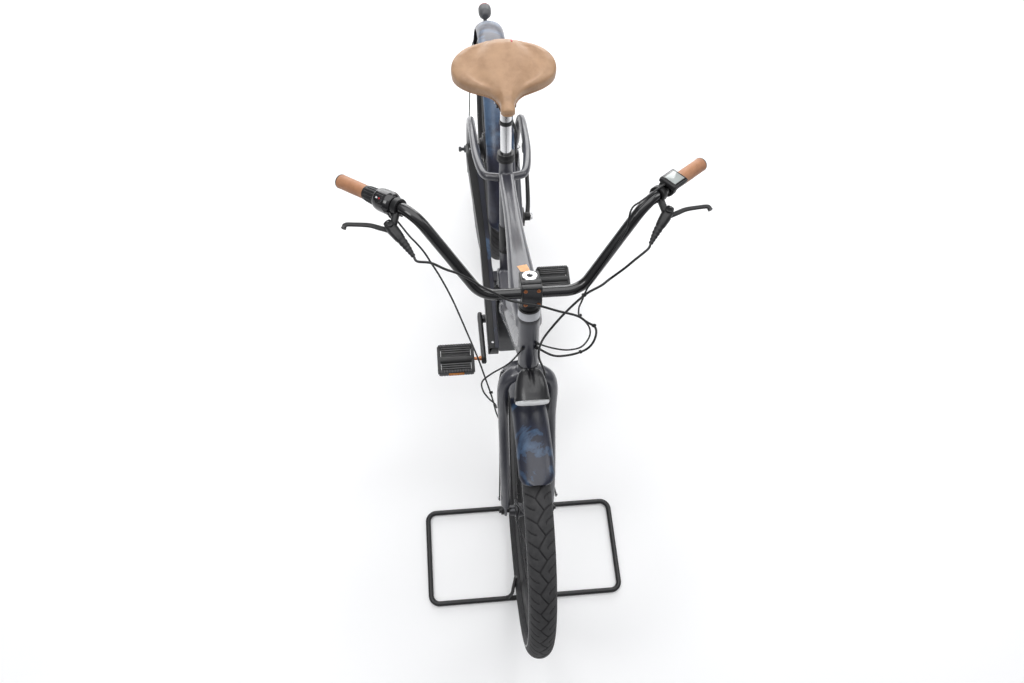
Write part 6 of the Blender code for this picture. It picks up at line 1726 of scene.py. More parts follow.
def chain_loop(count):
    """Points spread evenly on the chain's closed loop, and the loop's length."""
    big = CHAIN_PITCH / (2 * math.sin(math.pi / RING_TEETH))
    small = CHAIN_PITCH / (2 * math.sin(math.pi / SPROCKET_TEETH))
    a, b = BRACKET[1:], REAR_AXLE[1:]
    gap = np.linalg.norm(b - a)
    along = unit(b - a)
    rise = vec(-along[1], along[0])
    lean = math.asin((big - small) / gap)
    run = gap * math.cos(lean)
    parts = [run, small * (math.pi - 2 * lean), run, big * (math.pi + 2 * lean)]
    total = sum(parts)
    up = rise * math.cos(lean) + along * math.sin(lean)
    down = -rise * math.cos(lean) + along * math.sin(lean)
    points = []
    for k in range(count):
        s = total * k / count
        if s < parts[0]:
            p = (a + up * big) * (1 - s / parts[0]) + (b + up * small) * (s / parts[0])
        elif s < parts[0] + parts[1]:
            turn = math.pi / 2 - lean - (s - parts[0]) / small
            p = b + (along * math.cos(turn) + rise * math.sin(turn)) * small
        elif s < parts[0] + parts[1] + parts[2]:
            share = (s - parts[0] - parts[1]) / parts[2]
            p = (b + down * small) * (1 - share) + (a + down * big) * share
        else:
            turn = -math.pi / 2 + lean - (s - parts[0] - parts[1] - parts[2]) / big
            p = a + (along * math.cos(turn) + rise * math.sin(turn)) * big
        points.append(vec(CHAIN_X, p[0], p[1]))
    return np.array(points), total


def chain():
    """Pins, rollers and waisted plates, inner and outer links by turns."""
    count = int(chain_loop(4)[1] / CHAIN_PITCH / 2) * 2
    pins = chain_loop(count)[0]
    shape = Shape()
    for k in range(count):
        a, b = pins[k], pins[(k + 1) % count]
        rod(shape, a - X_AXIS * 0.0039, a + X_AXIS * 0.0039, 0.0018, 8, 1, 0)
        rod(shape, a - X_AXIS * 0.0012, a + X_AXIS * 0.0012, 0.0037, 10, 1, 0)
        along = unit(b - a)
        wide = np.cross(X_AXIS, along)
        span = np.linalg.norm(b - a)
        ring = []
        for u, v in ((-0.0030, 0.0), (-0.0021, 0.0027), (0.0, 0.0036), (span * 0.5, 0.0023),
                     (span, 0.0036), (span + 0.0021, 0.0027), (span + 0.0030, 0.0),
                     (span + 0.0021, -0.0027), (span, -0.0036), (span * 0.5, -0.0023),
                     (0.0, -0.0036), (-0.0021, -0.0027)):
            ring.append(a + along * u + wide * v)
        ring = np.array(ring)
        x0 = 0.0026 if k % 2 else 0.0014
        for side in (-1, 1):
            loft(shape, np.array([ring + X_AXIS * side * x0, ring + X_AXIS * side * (x0 + 0.0009)]),
                 mark=0)
    return make("chain_links", shape, [CHAIN_STEEL, STEEL], "frame", ("chain",), 30.0)


def cog(name, centre, teeth, bore, windows, body, node, skin):
    """Toothed ring with round-bottomed teeth and lightening windows."""
    pitch_radius = CHAIN_PITCH / (2 * math.sin(math.pi / teeth)) - 0.0080
    shape = Shape()
    per = 10
    count = teeth * per
    phase = np.arange(count) / per
    wave = np.cos(2 * math.pi * phase)
    outer = pitch_radius - 0.0008 + 0.0038 * np.sign(wave) * np.abs(wave) ** 0.6
    turn = turns_of(count)
    inner_r = pitch_radius - 0.012 if windows else bore
    hub_r = bore + 0.012
    half = 0.0011

    def ring(r, x):
        r = np.broadcast_to(r, (count,))
        return centre + np.stack([np.full(count, x), r * np.sin(turn), r * np.cos(turn)], -1)
    x = CHAIN_X
    rows = np.array([ring(inner_r, x - half), ring(outer - 0.0012, x - half),
                     ring(outer, x - half * 0.4), ring(outer, x + half * 0.4),
                     ring(outer - 0.0012, x + half), ring(inner_r, x + half)])
    loft(shape, rows, True, False, 0)
    if windows:
        collar(shape, x - 0.0015, x + 0.0015, bore, hub_r + 0.002, centre * (0, 1, 1), X_AXIS, 80,
               1, 0.0005)
        for k in range(windows):
            way = 2 * math.pi * k / windows
            far = float(pitch_radius - 0.011)
            line = [spin(centre, way, r, x) for r in np.linspace(hub_r - 0.001, far, 9)]
            wide = 0.0085 - 0.0035 * np.sin(np.linspace(0, math.pi, 9))
            loft(shape, oval(np.array(line), wide, half * 1.1, 16, 0.4, up=X_AXIS), mark=1)
            bolt(shape, spin(centre, way, far - 0.002, x - half), -X_AXIS, 0.0042, 0.0020, 1, 20)
    return make(name, shape, skin, body, (node,))


def pedal_centre(side):
    """The middle of a pedal: right forward and up, left back and down."""
    sign = 1 if side < 0 else -1
    reach = sign * CRANK_LENGTH
    return BRACKET + vec(side * PEDAL_X, -reach * math.cos(CRANK_ANGLE),
                         reach * math.sin(CRANK_ANGLE))


def cranks():
    """Spindle, both arms with their bolts, and the pedal pins."""
    shape = Shape()
    reach = 0.0855
    rod(shape, BRACKET - X_AXIS * (reach - 0.001), BRACKET + X_AXIS * (reach - 0.001), 0.0120, 48,
        1, 0.001)
    for side in (-1, 1):
        end = pedal_centre(side)
        a = vec(side * 0.079, BRACKET[1], BRACKET[2])
        b = vec(side * 0.079, end[1], end[2])
        along = unit(b - a)
        line = smooth_line([a - along * 0.016, a, a * 0.5 + b * 0.5, b, b + along * 0.014], 12)
        wide = between([0.0120, 0.0175, 0.0120, 0.0125, 0.0090], len(line))
        ends = np.linspace(0, 1, len(line))
        round_off = np.clip(np.minimum(ends, 1 - ends) / 0.03, 0, 1) ** 0.5 * 0.25 + 0.75
        rings = oval(line, wide * round_off, between([0.0066, 0.0072, 0.0070, 0.0066], len(line)),
                     36, 0.62, up=X_AXIS)
        loft(shape, rings, mark=0)
        out = X_AXIS * side
        lathe(shape, [(0, 0), (0, 0.0095), (0.0008, 0.0092), (0.0008, 0.0050), (-0.0020, 0.0046),
                      (-0.0020, 0)], a + out * 0.0064, out, 40, False, 1, 0.0003)
        stub = vec(side * 0.0825, end[1], end[2])
        lathe(shape, [(0, 0), (0, 0.0065), (0.0070, 0.0065), (0.0078, 0.0056), (0.0088, 0.0056),
                      (0.0092, 0.0044), (0.1095, 0.0044), (0.1100, 0)], stub, out, 32, False, 2,
              0.0006)
    return make("crank_arms", shape, [BLACK_SATIN, DARK_METAL, COPPER], "crank", ("crankset",))


def pedal(name, side, body, node):
    """Platform pedal: rubber treads on a cage round a barrel, with amber reflectors."""
    c = pedal_centre(side)
    hy, hz = 0.043, 0.012
    shape = Shape()
    lathe(shape, [(-0.046, 0.0049), (-0.046, 0.0095), (-0.030, 0.0105), (0.030, 0.0105),
                  (0.046, 0.0095), (0.046, 0.0049)], c, X_AXIS, 48, True, 0, 0.001)

    def box(low, high, bevel, segments, mark=0):
        block(shape, c + vec(*low), c + vec(*high), bevel, segments, mark)
    for sx in (-1, 1):
        box((sx * 0.0455 - 0.0045, -hy + 0.004, -hz * 0.62), (sx * 0.0455 + 0.0045, hy - 0.004,
                                                              hz * 0.62), 0.0022, 3)
    for sy in (-1, 1):
        y0 = sy * (hy - 0.0045)
        box((-0.047, y0 - 0.0045, -hz * 0.80), (0.047, y0 + 0.0045, hz * 0.80), 0.0022, 3)
        for k in range(3):
            y = sy * (0.0175 + k * 0.0065)
            box((-0.0400, y - 0.0018, -hz + 0.0010), (0.0400, y + 0.0018, hz - 0.0010), 0.0010, 2,
                1)
        for k in range(12):
            x = -0.0396 + k * 0.0072
            for z0, z1 in ((-hz, -hz * 0.70), (hz * 0.70, hz)):
                box((x - 0.0020, y0 - 0.0038, z0), (x + 0.0020, y0 + 0.0038, z1), 0.0008, 1, 1)
        edge = sy * hy if sy > 0 else sy * hy + 0.0022
        box((-0.0210, sy * hy - 0.0022, -0.0058), (0.0210, edge, 0.0058), 0.0009, 2, 2)
    return make(name, shape, [PEDAL_GREY, TREAD_PAD, AMBER], body, (node,))


def chain_case():
    """Case over the chain's upper run: dark outer band, blue inner band, bolts and brackets."""
    stations = [(CASE_FRONT, -0.0660, -0.0380, 0.400), (0.560, -0.0660, -0.0370, 0.404),
                (0.775, -0.0668, -0.0390, 0.411), (1.080, -0.0860, -0.0440, 0.424),
                (CASE_BACK, -0.0860, -0.0480, 0.412)]
    shape = Shape()
    skin, depth = 0.0022, 0.052
    ys = np.concatenate([np.linspace(CASE_FRONT, 0.560, 16), np.linspace(0.575, 1.080, 46),
                         np.linspace(1.086, CASE_BACK, 10)])
    cols = list(zip(*stations))
    rings = []
    for y in ys:
        outer, inner, top = (float(np.interp(y, cols[0], cols[k])) for k in (1, 2, 3))
        end = min(y - CASE_FRONT, CASE_BACK - y) / 0.012
        d = depth * (1 if end >= 1 else 0.72 + 0.28 * math.sqrt(max(0.0, 1 - (1 - end) ** 2)))
        path = [(outer, top - d), (outer, top - 0.004)]
        arc = [(outer + 0.005 * (1 - math.cos(q)), top - 0.004 + 0.004 * math.sin(q))
               for q in np.linspace(0.2, math.pi / 2, 6)]
        mid = outer + 0.007 + (inner - outer - 0.007) * 0.48
        path += arc + [(mid - 0.0005, top), (mid, top - 0.0006), (mid + 0.0005, top),
                       (inner - 0.001, top), (inner, top - 0.0008), (inner, top - skin)]
        path += [(mid, top - skin), (outer + 0.0055, top - skin), (outer + skin, top - 0.005),
                 (outer + skin, top - d)]
        rings.append([at(x, y, z) for x, z in path])
    rings = np.array(rings)
    m = rings.shape[1]
    loft(shape, rings, False, True, 0)
    row = [0] * m
    for k in (10, 11, 12):
        row[k] = 1
    side_faces = (len(ys) - 1) * m
    shape.marks = row * (len(ys) - 1) + [0] * (len(shape.faces) - side_faces)
    for y in (CASE_FRONT + 0.016, 1.100):
        outer, top = (float(np.interp(y, cols[0], cols[k])) for k in (1, 3))
        bolt(shape, at(outer + 0.012, y, top - 0.0004), Z_AXIS, 0.0034, 0.0016, 2, 24)
        bolt(shape, at(outer + 0.0004, y, top - 0.020), -X_AXIS, 0.0034, 0.0016, 2, 24)
    block(shape, at(-0.0656, CASE_FRONT + 0.0006, 0.3600), at(-0.0384, CASE_FRONT + 0.0040, 0.3992),
          0.0014, 3, 0)
    block(shape, at(-0.0480, 0.590, 0.3980), at(-0.0246, 0.620, 0.4040), 0.001, 2, 0)
    block(shape, at(-0.0850, 1.066, 0.3510), at(-0.0680, 1.086, 0.3740), 0.001, 2, 0)
    return make("chain_case", shape, [BLACK_SATIN, CLOUD, STEEL], "frame", ("chain_guard",),
                30.0)


def actuator():
    """Locknut on the axle end, a slim pin and its knurled knob."""
    place = REAR_AXLE - X_AXIS * (STAY_X + DROPOUT_HALF + 0.008 + GAP)
    shape = Shape()
    lathe(shape, [(0.0006, 0), (0.0006, 0.0110), (0.0060, 0.0110), (0.0072, 0.0085), (0.0072, 0)],
          place, -X_AXIS, 56, False, 0, 0.0008)
    lathe(shape, [(0.0070, 0), (0.0070, 0.0052), (0.0150, 0.0046), (0.0150, 0)], place, -X_AXIS, 40,
          False, 0, 0.0006)
    lathe(shape, [(0.0148, 0), (0.0148, 0.0066), (0.0170, 0.0072), (0.0225, 0.0072),
                  (0.0238, 0.0058), (0.0238, 0)], place, -X_AXIS, 40, False, 0, 0.0008)
    for k in range(18):
        turn = 2 * math.pi * k / 18
        ridge = vec(0, math.cos(turn), math.sin(turn)) * 0.0072
        rod(shape, place - X_AXIS * 0.0172 + ridge, place - X_AXIS * 0.0224 + ridge, 0.0006, 8, 0,
            0.0002)
    lathe(shape, [(0.0232, 0), (0.0232, 0.0032), (0.0238, 0.0028), (0.0238, 0)], place, -X_AXIS, 24,
          False, 1)
    return make("hub_actuator_block", shape, [CHARCOAL, STEEL], "frame", ("hub_actuator",))


def kickstand():
    """Leg with its rubber foot on the kickstand body, and the bracket it turns on."""
    pivot = at(0.0900, 0.935, 0.290)
    end = pivot + vec(0.016, 0.263, 0.010)
    shape = Shape()
    line = smooth_line([pivot, pivot + vec(0.008, 0.060, 0.000), pivot + vec(0.014, 0.170, 0.006),
                        end], 16)
    tube(shape, line, np.linspace(0.0070, 0.0062, len(line)), 32)
    collar(shape, -0.009, 0.009, 0.0057, 0.0130, pivot, X_AXIS, 48, 0, 0.0015)
    block(shape, end - vec(0.0088, 0.015, 0.011), end + vec(0.0088, 0.015, 0.011), 0.0042, 4, 1)
    make("kickstand_leg", shape, [BLACK_SATIN, BLACK_PLASTIC], "kickstand", ("kickstand",))
    foot = Shape()
    rod(foot, pivot - X_AXIS * 0.024, pivot + X_AXIS * 0.0105, 0.0049, 32, 1)
    lathe(foot, [(0.0106, 0), (0.0106, 0.0098), (0.0150, 0.0098), (0.0160, 0.0085), (0.0160, 0)],
          pivot, X_AXIS, 6, False, 1)
    outline = [(pivot[1] + y, pivot[2] + z) for y, z in ((-0.030, -0.012), (0.030, -0.012),
                                                         (0.030, 0.008), (0.018, 0.022),
                                                         (-0.020, 0.022), (-0.030, 0.010))]
    prism(foot, outline, pivot[0] - 0.0390, pivot[0] - 0.0100, 0.006, 0.0015, 0)
    make("kickstand_foot", foot, [BLACK_SATIN, STEEL], "frame", ("kickstand_bracket",))


def build_drive():
    """Chain, cogs, cranks, pedals, chain case, actuator and kickstand."""
    chain()
    cog("sprocket_cut", REAR_AXLE, SPROCKET_TEETH, 0.0180, 0, "rear_wheel", "sprocket",
        [CHAIN_STEEL, CHAIN_STEEL])
    cog("chainring_cut", BRACKET, RING_TEETH, 0.0123, 5, "crank", "chainring",
        [CHAIN_STEEL, BLACK_SATIN])
    cranks()
    pedal("pedal_right_platform", -1, "pedal_right", "pedal_right")
    pedal("pedal_left_platform", 1, "pedal_left", "pedal_left")
    chain_case()
    actuator()
    kickstand()


# Seat, tail and stand

PAD_ROWS = [(0.766, 0.012, 0.934, 0.022), (0.772, 0.019, 0.938, 0.032),
            (0.800, 0.023, 0.942, 0.038), (0.828, 0.044, 0.944, 0.042),
            (0.851, 0.089, 0.946, 0.048), (0.874, 0.119, 0.949, 0.052),
            (0.903, 0.129, 0.953, 0.054), (0.936, 0.119, 0.957, 0.053),
            (0.963, 0.088, 0.959, 0.047), (0.982, 0.042, 0.957, 0.036)]


PAD_STATIONS, PAD_SIDES = 72, 96


def saddle_mesh(grow=0.0):
    """Rings of the pad: upright walls, a rounded rim, dished wings and a raised middle."""
    rows = np.array(PAD_ROWS)
    y, half, top, thick = (between(rows[:, k], PAD_STATIONS) for k in range(4))
    turn = turns_of(PAD_SIDES, 0.5)
    c, s = np.cos(turn), np.sin(turn)
    rings = []
    for k in range(PAD_STATIONS):
        wing = min(1.0, max(0.0, (half[k] - 0.030) / 0.070))
        square = 0.70 - 0.20 * wing
        x = (half[k] + grow) * np.sign(c) * np.abs(c) ** square
        lift = np.sign(s) * np.abs(s) ** (0.70 - 0.24 * wing)
        flare = 1.0 - 0.020 * wing * np.clip(-s, 0, 1)
        z = top[k] - thick[k] / 2 + (thick[k] / 2 + grow) * lift
        share = np.abs(x) / max(half[k], 1e-6)
        dish = 0.0125 * wing * np.exp(-((share - 0.58) / 0.21) ** 2)
        nose = 0.0045 * math.exp(-((y[k] - 0.789) / 0.008) ** 2) * np.exp(-(x / 0.010) ** 2)
        fall = 0.0030 * (1 - wing) * share ** 2
        z = z - (dish + nose + fall) * np.clip((s - 0.10) / 0.45, 0, 1)
        rings.append(np.stack([x * flare, np.full(PAD_SIDES, FRONT_Y + y[k]), z], -1))
    return np.array(rings)


def coordinates(mesh):
    """The mesh's points as an array."""
    flat = np.empty(len(mesh.vertices) * 3)
    mesh.vertices.foreach_get("co", flat)
    return flat.reshape(-1, 3)


def saddle():
    """Padded leather cushion, blown a little by cloth pressure above its base and then smoothed."""
    shape = Shape()
    loft(shape, saddle_mesh(-0.0018))
    made = placed("saddle_pad", shape.mesh("saddle_pad"))
    voxel_skin(made, 0.0040)
    skin = applied(made)
    made.modifiers.clear()
    made.data = skin
    before = coordinates(skin)
    after = before.copy()
    cloth = made.modifiers.new("cloth", "CLOTH")
    cloth.settings.use_pressure = True
    cloth.settings.uniform_pressure_force = 3.0
    cloth.settings.effector_weights.gravity = 0.0
    cloth.settings.tension_stiffness = 30.0
    cloth.settings.compression_stiffness = 30.0
    cloth.settings.mass = 0.3
    scene = bpy.context.scene
    for step in range(1, 21):
        scene.frame_set(step)
    graph = bpy.context.evaluated_depsgraph_get()
    blown = made.evaluated_get(graph).to_mesh()
    if len(blown.vertices) == len(before):
        after = coordinates(blown)
    made.evaluated_get(graph).to_mesh_clear()
    made.modifiers.clear()
    scene.frame_set(1)
    move = after - before
    far = np.linalg.norm(move, axis=1)
    most, base_z = 0.0030, 0.912
    move *= (np.minimum(far, most) / np.maximum(far, 1e-9))[:, None]
    move[before[:, 2] < base_z] = 0
    skin.vertices.foreach_set("co", (before + move).reshape(-1))
    skin.update()
    eased(made, 2)
    fine = made.modifiers.new("fine", "SUBSURF")
    fine.levels = 1
    fine.render_levels = 1
    final = applied(made)
    bpy.data.objects.remove(made, do_unlink=True)
    pad = make("saddle_cushion", final, LEATHER, "frame", ("saddle",), 60.0)
    return pad


def saddle_trim(pad):
    """Sewn seam along the pad's side wall, its stitches, and a small plain tag at the rear edge."""
    tree = skin_of(pad)
    shape = Shape()
    rows = np.array(PAD_ROWS)
    y, half, top, thick = (between(rows[:, k], 60) for k in range(4))
    z = top - thick * 0.80
    right = [vec(half[k] * 1.02, FRONT_Y + y[k], z[k]) for k in range(1, 59)]
    back = vec(0, FRONT_Y + 0.990, z[-1])
    front = vec(0, FRONT_Y + 0.760, z[0])
    ring = [front] + right + [back] + [flip(p) for p in reversed(right)]
    line = spaced(np.array(ring + [ring[0]]), 0.003)[:-1]
    seam, outs = [], []
    for spot in line:
        place, normal = tree.find_nearest(Vector(spot))[:2]
        seam.append(np.array(place))
        outs.append(np.array(normal))
    seam, outs = np.array(seam), np.array(outs)
    for _ in range(3):
        seam = (np.roll(seam, 1, 0) + seam * 2 + np.roll(seam, -1, 0)) / 4
    tube(shape, seam + outs * 0.0001, 0.0009, 10, True, mark=0)
    for k in range(0, len(seam), 2):
        a, b = seam[k], seam[(k + 1) % len(seam)]
        lift = outs[k] * 0.0004 + Z_AXIS * 0.0032
        dip = outs[k] * 0.0007
        stitch = np.array([a + lift - dip, (a + b) / 2 + lift + outs[k] * 0.0002, b + lift - dip])
        tube(shape, stitch, 0.00040, 6, mark=1)
    tag_x, tag_y = 0.0225, FRONT_Y + 0.9650
    spot, normal = tree.ray_cast(Vector((tag_x, tag_y, 1.05)), Vector((0, 0, -1)))[:2]
    up = unit(np.array(normal))
    along = unit(Y_AXIS - up * (Y_AXIS @ up))
    block(shape, (-0.0022, -0.0060, -0.0006), (0.0022, 0.0060, 0.0006), 0.0003, 2, 2,
          basis(np.array(spot), np.cross(along, up), along, up))
    return make("saddle_trim", shape, [LEATHER_EDGE, THREAD, RED_MARK], "frame")


def saddle_rails():
    """Post head, clamp, rails and two coil springs."""
    shape = Shape()
    top = seat(POST_TOP_Z) + SEAT_AXIS * 0.0003
    collar(shape, 0, 0.016, 0, POST_RADIUS + 0.0040, top, SEAT_AXIS, 56, 0, 0.0015)
    block(shape, at(-0.024, 0.818, 0.887), at(0.024, 0.850, 0.9005), 0.0020, 3, 0)
    for side in (1, -1):
        bolt(shape, at(side * 0.024, 0.834, 0.8935), X_AXIS * side, 0.0052, 0.0040, 2)
    for side in (-1, 1):
        line = smooth_line([at(side * 0.008, 0.790, 0.9026), at(side * 0.014, 0.806, 0.8950),
                            at(side * 0.020, 0.835, 0.8935), at(side * 0.030, 0.880, 0.8940),
                            at(side * 0.045, 0.925, 0.9016)], 12)
        tube(shape, line, 0.0035, 20, mark=1)
    coil = Shape()
    for side in (-1, 1):
        c = at(side * 0.047, 0.925, 0.8965)
        turns = np.linspace(0, 2 * math.pi * 3, 90)
        line = np.stack([c[0] + 0.0085 * np.cos(turns), c[1] + 0.0085 * np.sin(turns),
                         c[2] - 0.012 + 0.020 * turns / turns[-1]], -1)
        tube(coil, line, 0.0016, 10)
    make("saddle_springs", coil, BLACK_SATIN, "frame")
    make("saddle_rails_and_clamp", shape, [BLACK_SATIN, DARK_METAL, STEEL], "frame",
         ("saddle_frame",))


def seat_post():
    """Polished post, its collar and ring, and the small lever behind it."""
    shape = Shape()
    a, b = seat(SEAT_TOP[1] - 0.070), seat(POST_TOP_Z)
    rod(shape, a, b, POST_RADIUS, 72)
    make("seatpost_tube", shape, POLISHED, "frame", ("seatpost",))
    trim = Shape()
    bore = SEAT_TUBE_RADIUS + 0.0004
    low = seat(SEAT_TOP[1] - 0.018)
    length = float(np.linalg.norm(seat(SEAT_TOP[1]) - low))
    lip = length + 0.0003
    lathe(trim, [(0, bore), (0, bore + 0.005), (length * 0.44, bore + 0.005),
                 (length * 0.48, bore + 0.0040), (length * 0.52, bore + 0.005),
                 (lip + 0.002, bore + 0.004), (lip + 0.002, POST_RADIUS + 0.0004),
                 (lip, POST_RADIUS + 0.0004), (lip, bore)], low, SEAT_AXIS, 72, True, 0, 0.0006)
    ear = low + SEAT_AXIS * length * 0.5 + SEAT_BACK * (bore + 0.0060)
    block(trim, (-0.0100, -0.0045, -0.0060), (0.0100, 0.0045, 0.0060), 0.0015, 2, 0,
          basis(ear, X_AXIS, SEAT_BACK, SEAT_AXIS))
    bolt(trim, ear + X_AXIS * 0.0100, X_AXIS, 0.0038, 0.0032, 1)
    collar(trim, 0, 0.010, POST_RADIUS + GAP, POST_RADIUS + 0.0022, seat(0.838), SEAT_AXIS, 56, 0,
           0.0008)
    make("seat_collar_clamp", trim, [BLACK_SATIN, STEEL], "frame", ("seat_collar",))
    handle = Shape()
    a, b = at(0.0125, 0.8300, 0.8370), at(0.0290, 0.8310, 0.7870)
    rod(handle, at(0.0060, 0.8240, 0.8440), a, 0.0038, 28, 0, 0.0008)
    bend = smooth_line([a + vec(-0.002, -0.001, 0.004), a * 0.6 + b * 0.4 + X_AXIS * 0.0016, b], 12)
    loft(handle, oval(bend, np.linspace(0.0042, 0.0034, len(bend)), 0.0024, 28, 0.8, up=Y_AXIS))
    make("seatpost_lever", handle, BLACK_SATIN, "frame")


def tail_lamp():
    """Ribbed housing on an arm from the mudguard, and its red lens."""
    foot = guard_point(REAR_AXLE, LAMP_ANGLE)
    out = unit(foot - REAR_AXLE)
    rear = vec(0, REAR_Y + REACH_REAR, foot[2] + LAMP_RISE)
    front = rear - vec(0, 0.045, 0)
    shape = Shape()
    r = 0.020
    lathe(shape, [(0, 0), (0, r * 0.50), (0.003, r * 0.68), (0.008, r * 0.88), (0.016, r * 0.99),
                  (0.0355, r), (0.0370, r * 0.96), (0.0370, 0)], front, Y_AXIS, 72, False, 0,
          0.0012)
    for k in range(3):
        collar(shape, 0.020 + k * 0.004, 0.0215 + k * 0.004, r - 0.0010, r, front, Y_AXIS, 64, 0,
               0.0003)
    rod(shape, foot + out * 0.0004, foot + out * 0.044, 0.0060, 32, 0, 0.001)
    lathe(shape, [(0, 0), (0, 0.0105), (0.0025, 0.0100), (0.0032, 0.0065), (0.0032, 0)],
          foot + out * 0.0004, out, 40, False, 0, 0.0006)
    make("tail_lamp_housing", shape, TAIL_GREY, "frame", ("tail_lamp",))
    lens = Shape()
    lathe(lens, [(-0.0076, 0), (-0.0076, 0.0186), (-0.0050, 0.0186), (-0.0030, 0.0172),
                 (-0.0008, 0.0120), (0, 0.0060), (0, 0)], rear, Y_AXIS, 72, False, 0, 0.0010)
    for k in range(3):
        lathe(lens, [(-0.0052, 0.0150 - k * 0.0042), (-0.0012 - 0.0006 * (2 - k),
                                                      0.0144 - k * 0.0042),
                     (-0.0052, 0.0138 - k * 0.0042)], rear, Y_AXIS, 56, True, 0)
    make("tail_lamp_lens", lens, RED_LENS, "frame", ("tail_lens",))


def floor_stand():
    """Bent tube loop on the floor with two struts that grip the tyre's sides."""
    shape = Shape()
    z = STAND_TUBE * math.cos(math.pi / 8)
    w = STAND_HALF_WIDTH
    corners = [at(-w, STAND_FRONT, z), at(w, STAND_FRONT, z), at(w, STAND_REAR, z),
               at(-w, STAND_REAR, z)]
    line = round_corners(corners, STAND_CORNER, 16, True)
    dense = []
    for i in range(len(line)):
        a, b = line[i], line[(i + 1) % len(line)]
        steps = max(1, int(np.linalg.norm(b - a) / 0.012))
        dense += [a + (b - a) * s / steps for s in range(steps)]
    tube(shape, np.array(dense), STAND_TUBE - 0.0004, 32, True, Z_AXIS)
    x = TYRE_WIDTH / 2 + 0.0003 + STRUT_RADIUS
    for side in (-1, 1):
        path = smooth_line([at(side * STRUT_FOOT, STAND_FRONT, z),
                            at(side * (x + 0.0045), STAND_FRONT + 0.007, 0.035),
                            at(side * x, STAND_FRONT + 0.019, 0.060),
                            at(side * (x - 0.007), STAND_FRONT + 0.038, 0.095)], 14)
        tube(shape, path, STRUT_RADIUS - 0.0001, 24)
        low = at(side * STRUT_FOOT, STAND_FRONT, z)
        lathe(shape, [(0.0060, 0.0046), (0.0060, 0.0070), (0.0078, 0.0060), (0.0096, 0.0046)], low,
              unit(path[6] - path[0]), 32, True, 1, 0.0006)
        tip = path[-1]
        rod(shape, tip - unit(path[-1] - path[-3]) * 0.010, tip, STRUT_RADIUS + 0.0002, 24, 2,
            0.0012)
    make("floor_stand_tubes", shape, [STAND_BLACK, STAND_BLACK, BLACK_PLASTIC], "steering",
         ("floor_stand",))


def build_rear():
    """Saddle, post, tail lamp and floor stand."""
    saddle_trim(saddle())
    saddle_rails()
    seat_post()
    tail_lamp()
    floor_stand()


# Room, light and camera

def arithmetic(tree, kind, first, second):
    """A sum of two sockets, or of a socket and a number."""
    made = tree.nodes.new("ShaderNodeMath")
    made.operation = kind
    for entry, value in zip(made.inputs, (first, second)):
        if isinstance(value, float):
            entry.default_value = value
        else:
            tree.links.new(value, entry)
    return made.outputs["Value"]


def source_of(tree, kind, colour=(1.0, 1.0, 1.0)):
    """A light-giving shader node of a colour."""
    made = tree.nodes.new(kind)
    made.inputs["Color"].default_value = (*colour, 1.0)
    return made


def shader_mix(tree, share, first, second):
    """Two shaders mixed by a value."""
    made = tree.nodes.new("ShaderNodeMixShader")
    for entry, value in zip(made.inputs, (share, first, second)):
        tree.links.new(value, entry)
    return made.outputs["Shader"]


def floor():
    """Pale floor that keeps the shadow and turns white far out for the camera."""
    mesh = bpy.data.meshes.new("floor")
    mesh.from_pydata([(-9, -9, 0), (9, -9, 0), (9, 9, 0), (-9, 9, 0)], [], [(0, 1, 2, 3)])
    made, tree, shader = nodes_for("pale_floor", (0.90, 0.90, 0.91), 0.65)
    tinted(tree, shader, noise(tree, 1.1, 4.0), [(0.3, (0.885, 0.887, 0.895)),
                                                 (0.7, (0.905, 0.906, 0.912))])
    eye = tree.nodes.new("ShaderNodeLightPath").outputs["Is Camera Ray"]
    glow = source_of(tree, "ShaderNodeEmission")
    tree.links.new(arithmetic(tree, "MULTIPLY", eye, FLOOR_GLOW), glow.inputs["Strength"])
    both = tree.nodes.new("ShaderNodeAddShader")
    tree.links.new(shader.outputs["BSDF"], both.inputs[0])
    tree.links.new(glow.outputs["Emission"], both.inputs[1])
    place = tree.nodes.new("ShaderNodeTexCoord")
    reach = tree.nodes.new("ShaderNodeVectorMath")
    reach.operation = "LENGTH"
    tree.links.new(place.outputs["Object"], reach.inputs[0])
    far = spread(tree, reach.outputs["Value"], 0.0, 1.0, *FLOOR_FADE, "SMOOTHSTEP")
    white = source_of(tree, "ShaderNodeEmission")
    skin = shader_mix(tree, arithmetic(tree, "MULTIPLY", far, eye), both.outputs["Shader"],
                      white.outputs["Emission"])
    tree.links.new(skin, tree.nodes["Material Output"].inputs["Surface"])
    mesh.materials.append(made)
    ground = placed("floor", mesh)
    ground.location.z = -0.0004


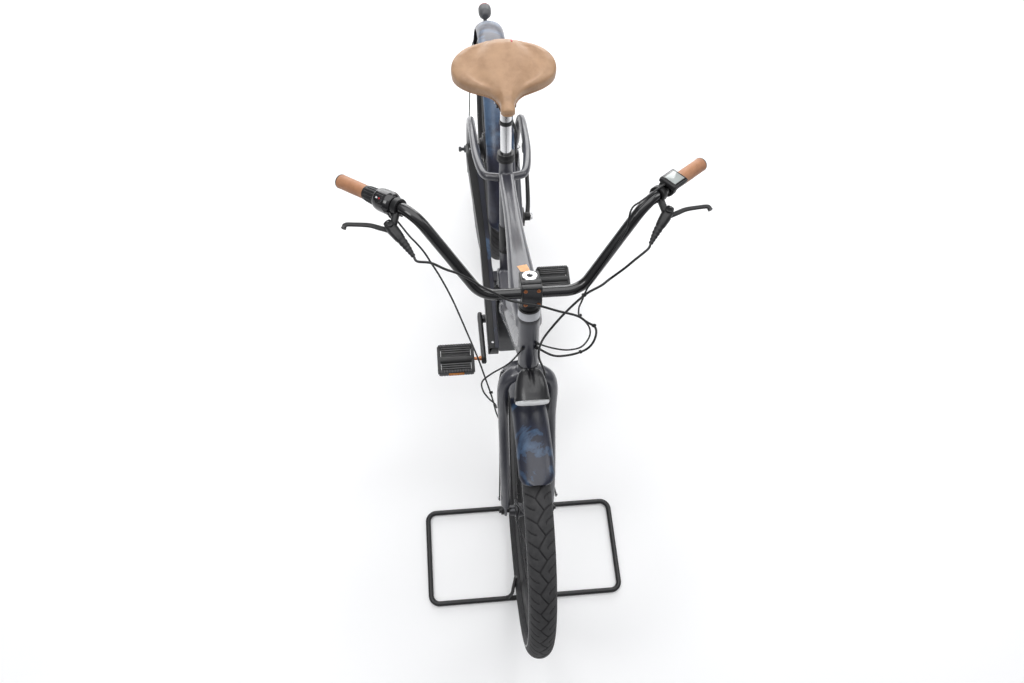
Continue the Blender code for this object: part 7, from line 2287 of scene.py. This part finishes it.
def sky():
    """White world for the camera and through glass; a graded one lights the rest."""
    world = bpy.data.worlds.new("studio")
    world.use_nodes = True
    tree = world.node_tree
    tree.nodes.clear()
    out = tree.nodes.new("ShaderNodeOutputWorld")
    soft = source_of(tree, "ShaderNodeBackground", (0.97, 0.98, 1.0))
    ray = tree.nodes.new("ShaderNodeTexCoord")
    split = tree.nodes.new("ShaderNodeSeparateXYZ")
    tree.links.new(ray.outputs["Generated"], split.inputs["Vector"])
    tree.links.new(spread(tree, split.outputs["Z"], 0.12, 0.52, 0.05, 0.85),
                   soft.inputs["Strength"])
    white = source_of(tree, "ShaderNodeBackground")
    white.inputs["Strength"].default_value = 1.0
    path = tree.nodes.new("ShaderNodeLightPath")
    seen = arithmetic(tree, "MAXIMUM", path.outputs["Is Camera Ray"],
                      path.outputs["Is Transmission Ray"])
    mix = shader_mix(tree, seen, soft.outputs["Background"], white.outputs["Background"])
    tree.links.new(mix, out.inputs["Surface"])
    bpy.context.scene.world = world


def lamp(name, place, target, size, power):
    """A rectangular area light that faces its target."""
    data = bpy.data.lights.new(name, "AREA")
    data.shape = "RECTANGLE"
    data.size, data.size_y = size
    data.energy = power
    made = placed(name, data)
    made.location = place
    made.rotation_euler = (Vector(target) - Vector(place)).to_track_quat("-Z", "Y").to_euler()


def camera():
    """The photo's camera, from its fitted axes, place and focal length."""
    right = Vector((0.99583, -0.08512, 0.03274))
    down = Vector((-0.06015, -0.88290, -0.46570))
    ahead = Vector((0.06854, 0.46179, -0.88434))
    data = bpy.data.cameras.new("camera")
    data.sensor_width = SENSOR_WIDTH
    data.lens = FOCAL_PIXELS * SENSOR_WIDTH / PHOTO_WIDTH
    made = placed("camera", data)
    place = Matrix((right, -down, -ahead)).transposed().to_4x4()
    place.translation = Vector((-0.15712, -1.19723, 2.40014))
    made.matrix_world = place
    bpy.context.scene.camera = made


build_wheels()
build_guards()
build_frame()
build_cockpit()
build_drive()
build_rear()
floor()
sky()
lamp("overhead", (0.10, 0.20, 3.5), (0, 0.19, 0.5), (3.0, 4.2), 64.0)
lamp("back_wall", (0.10, 3.4, 1.75), (0, 0, 0.75), (4.4, 2.4), 108.0)
lamp("key", (-1.8, -1.2, 2.9), (0, 0, 0.5), (0.9, 0.9), 13.0)
lamp("fill", (2.4, 0.2, 2.2), (0, 0, 0.5), (0.8, 1.4), 10.0)
camera()
bpy.context.scene.view_settings.view_transform = "Standard"
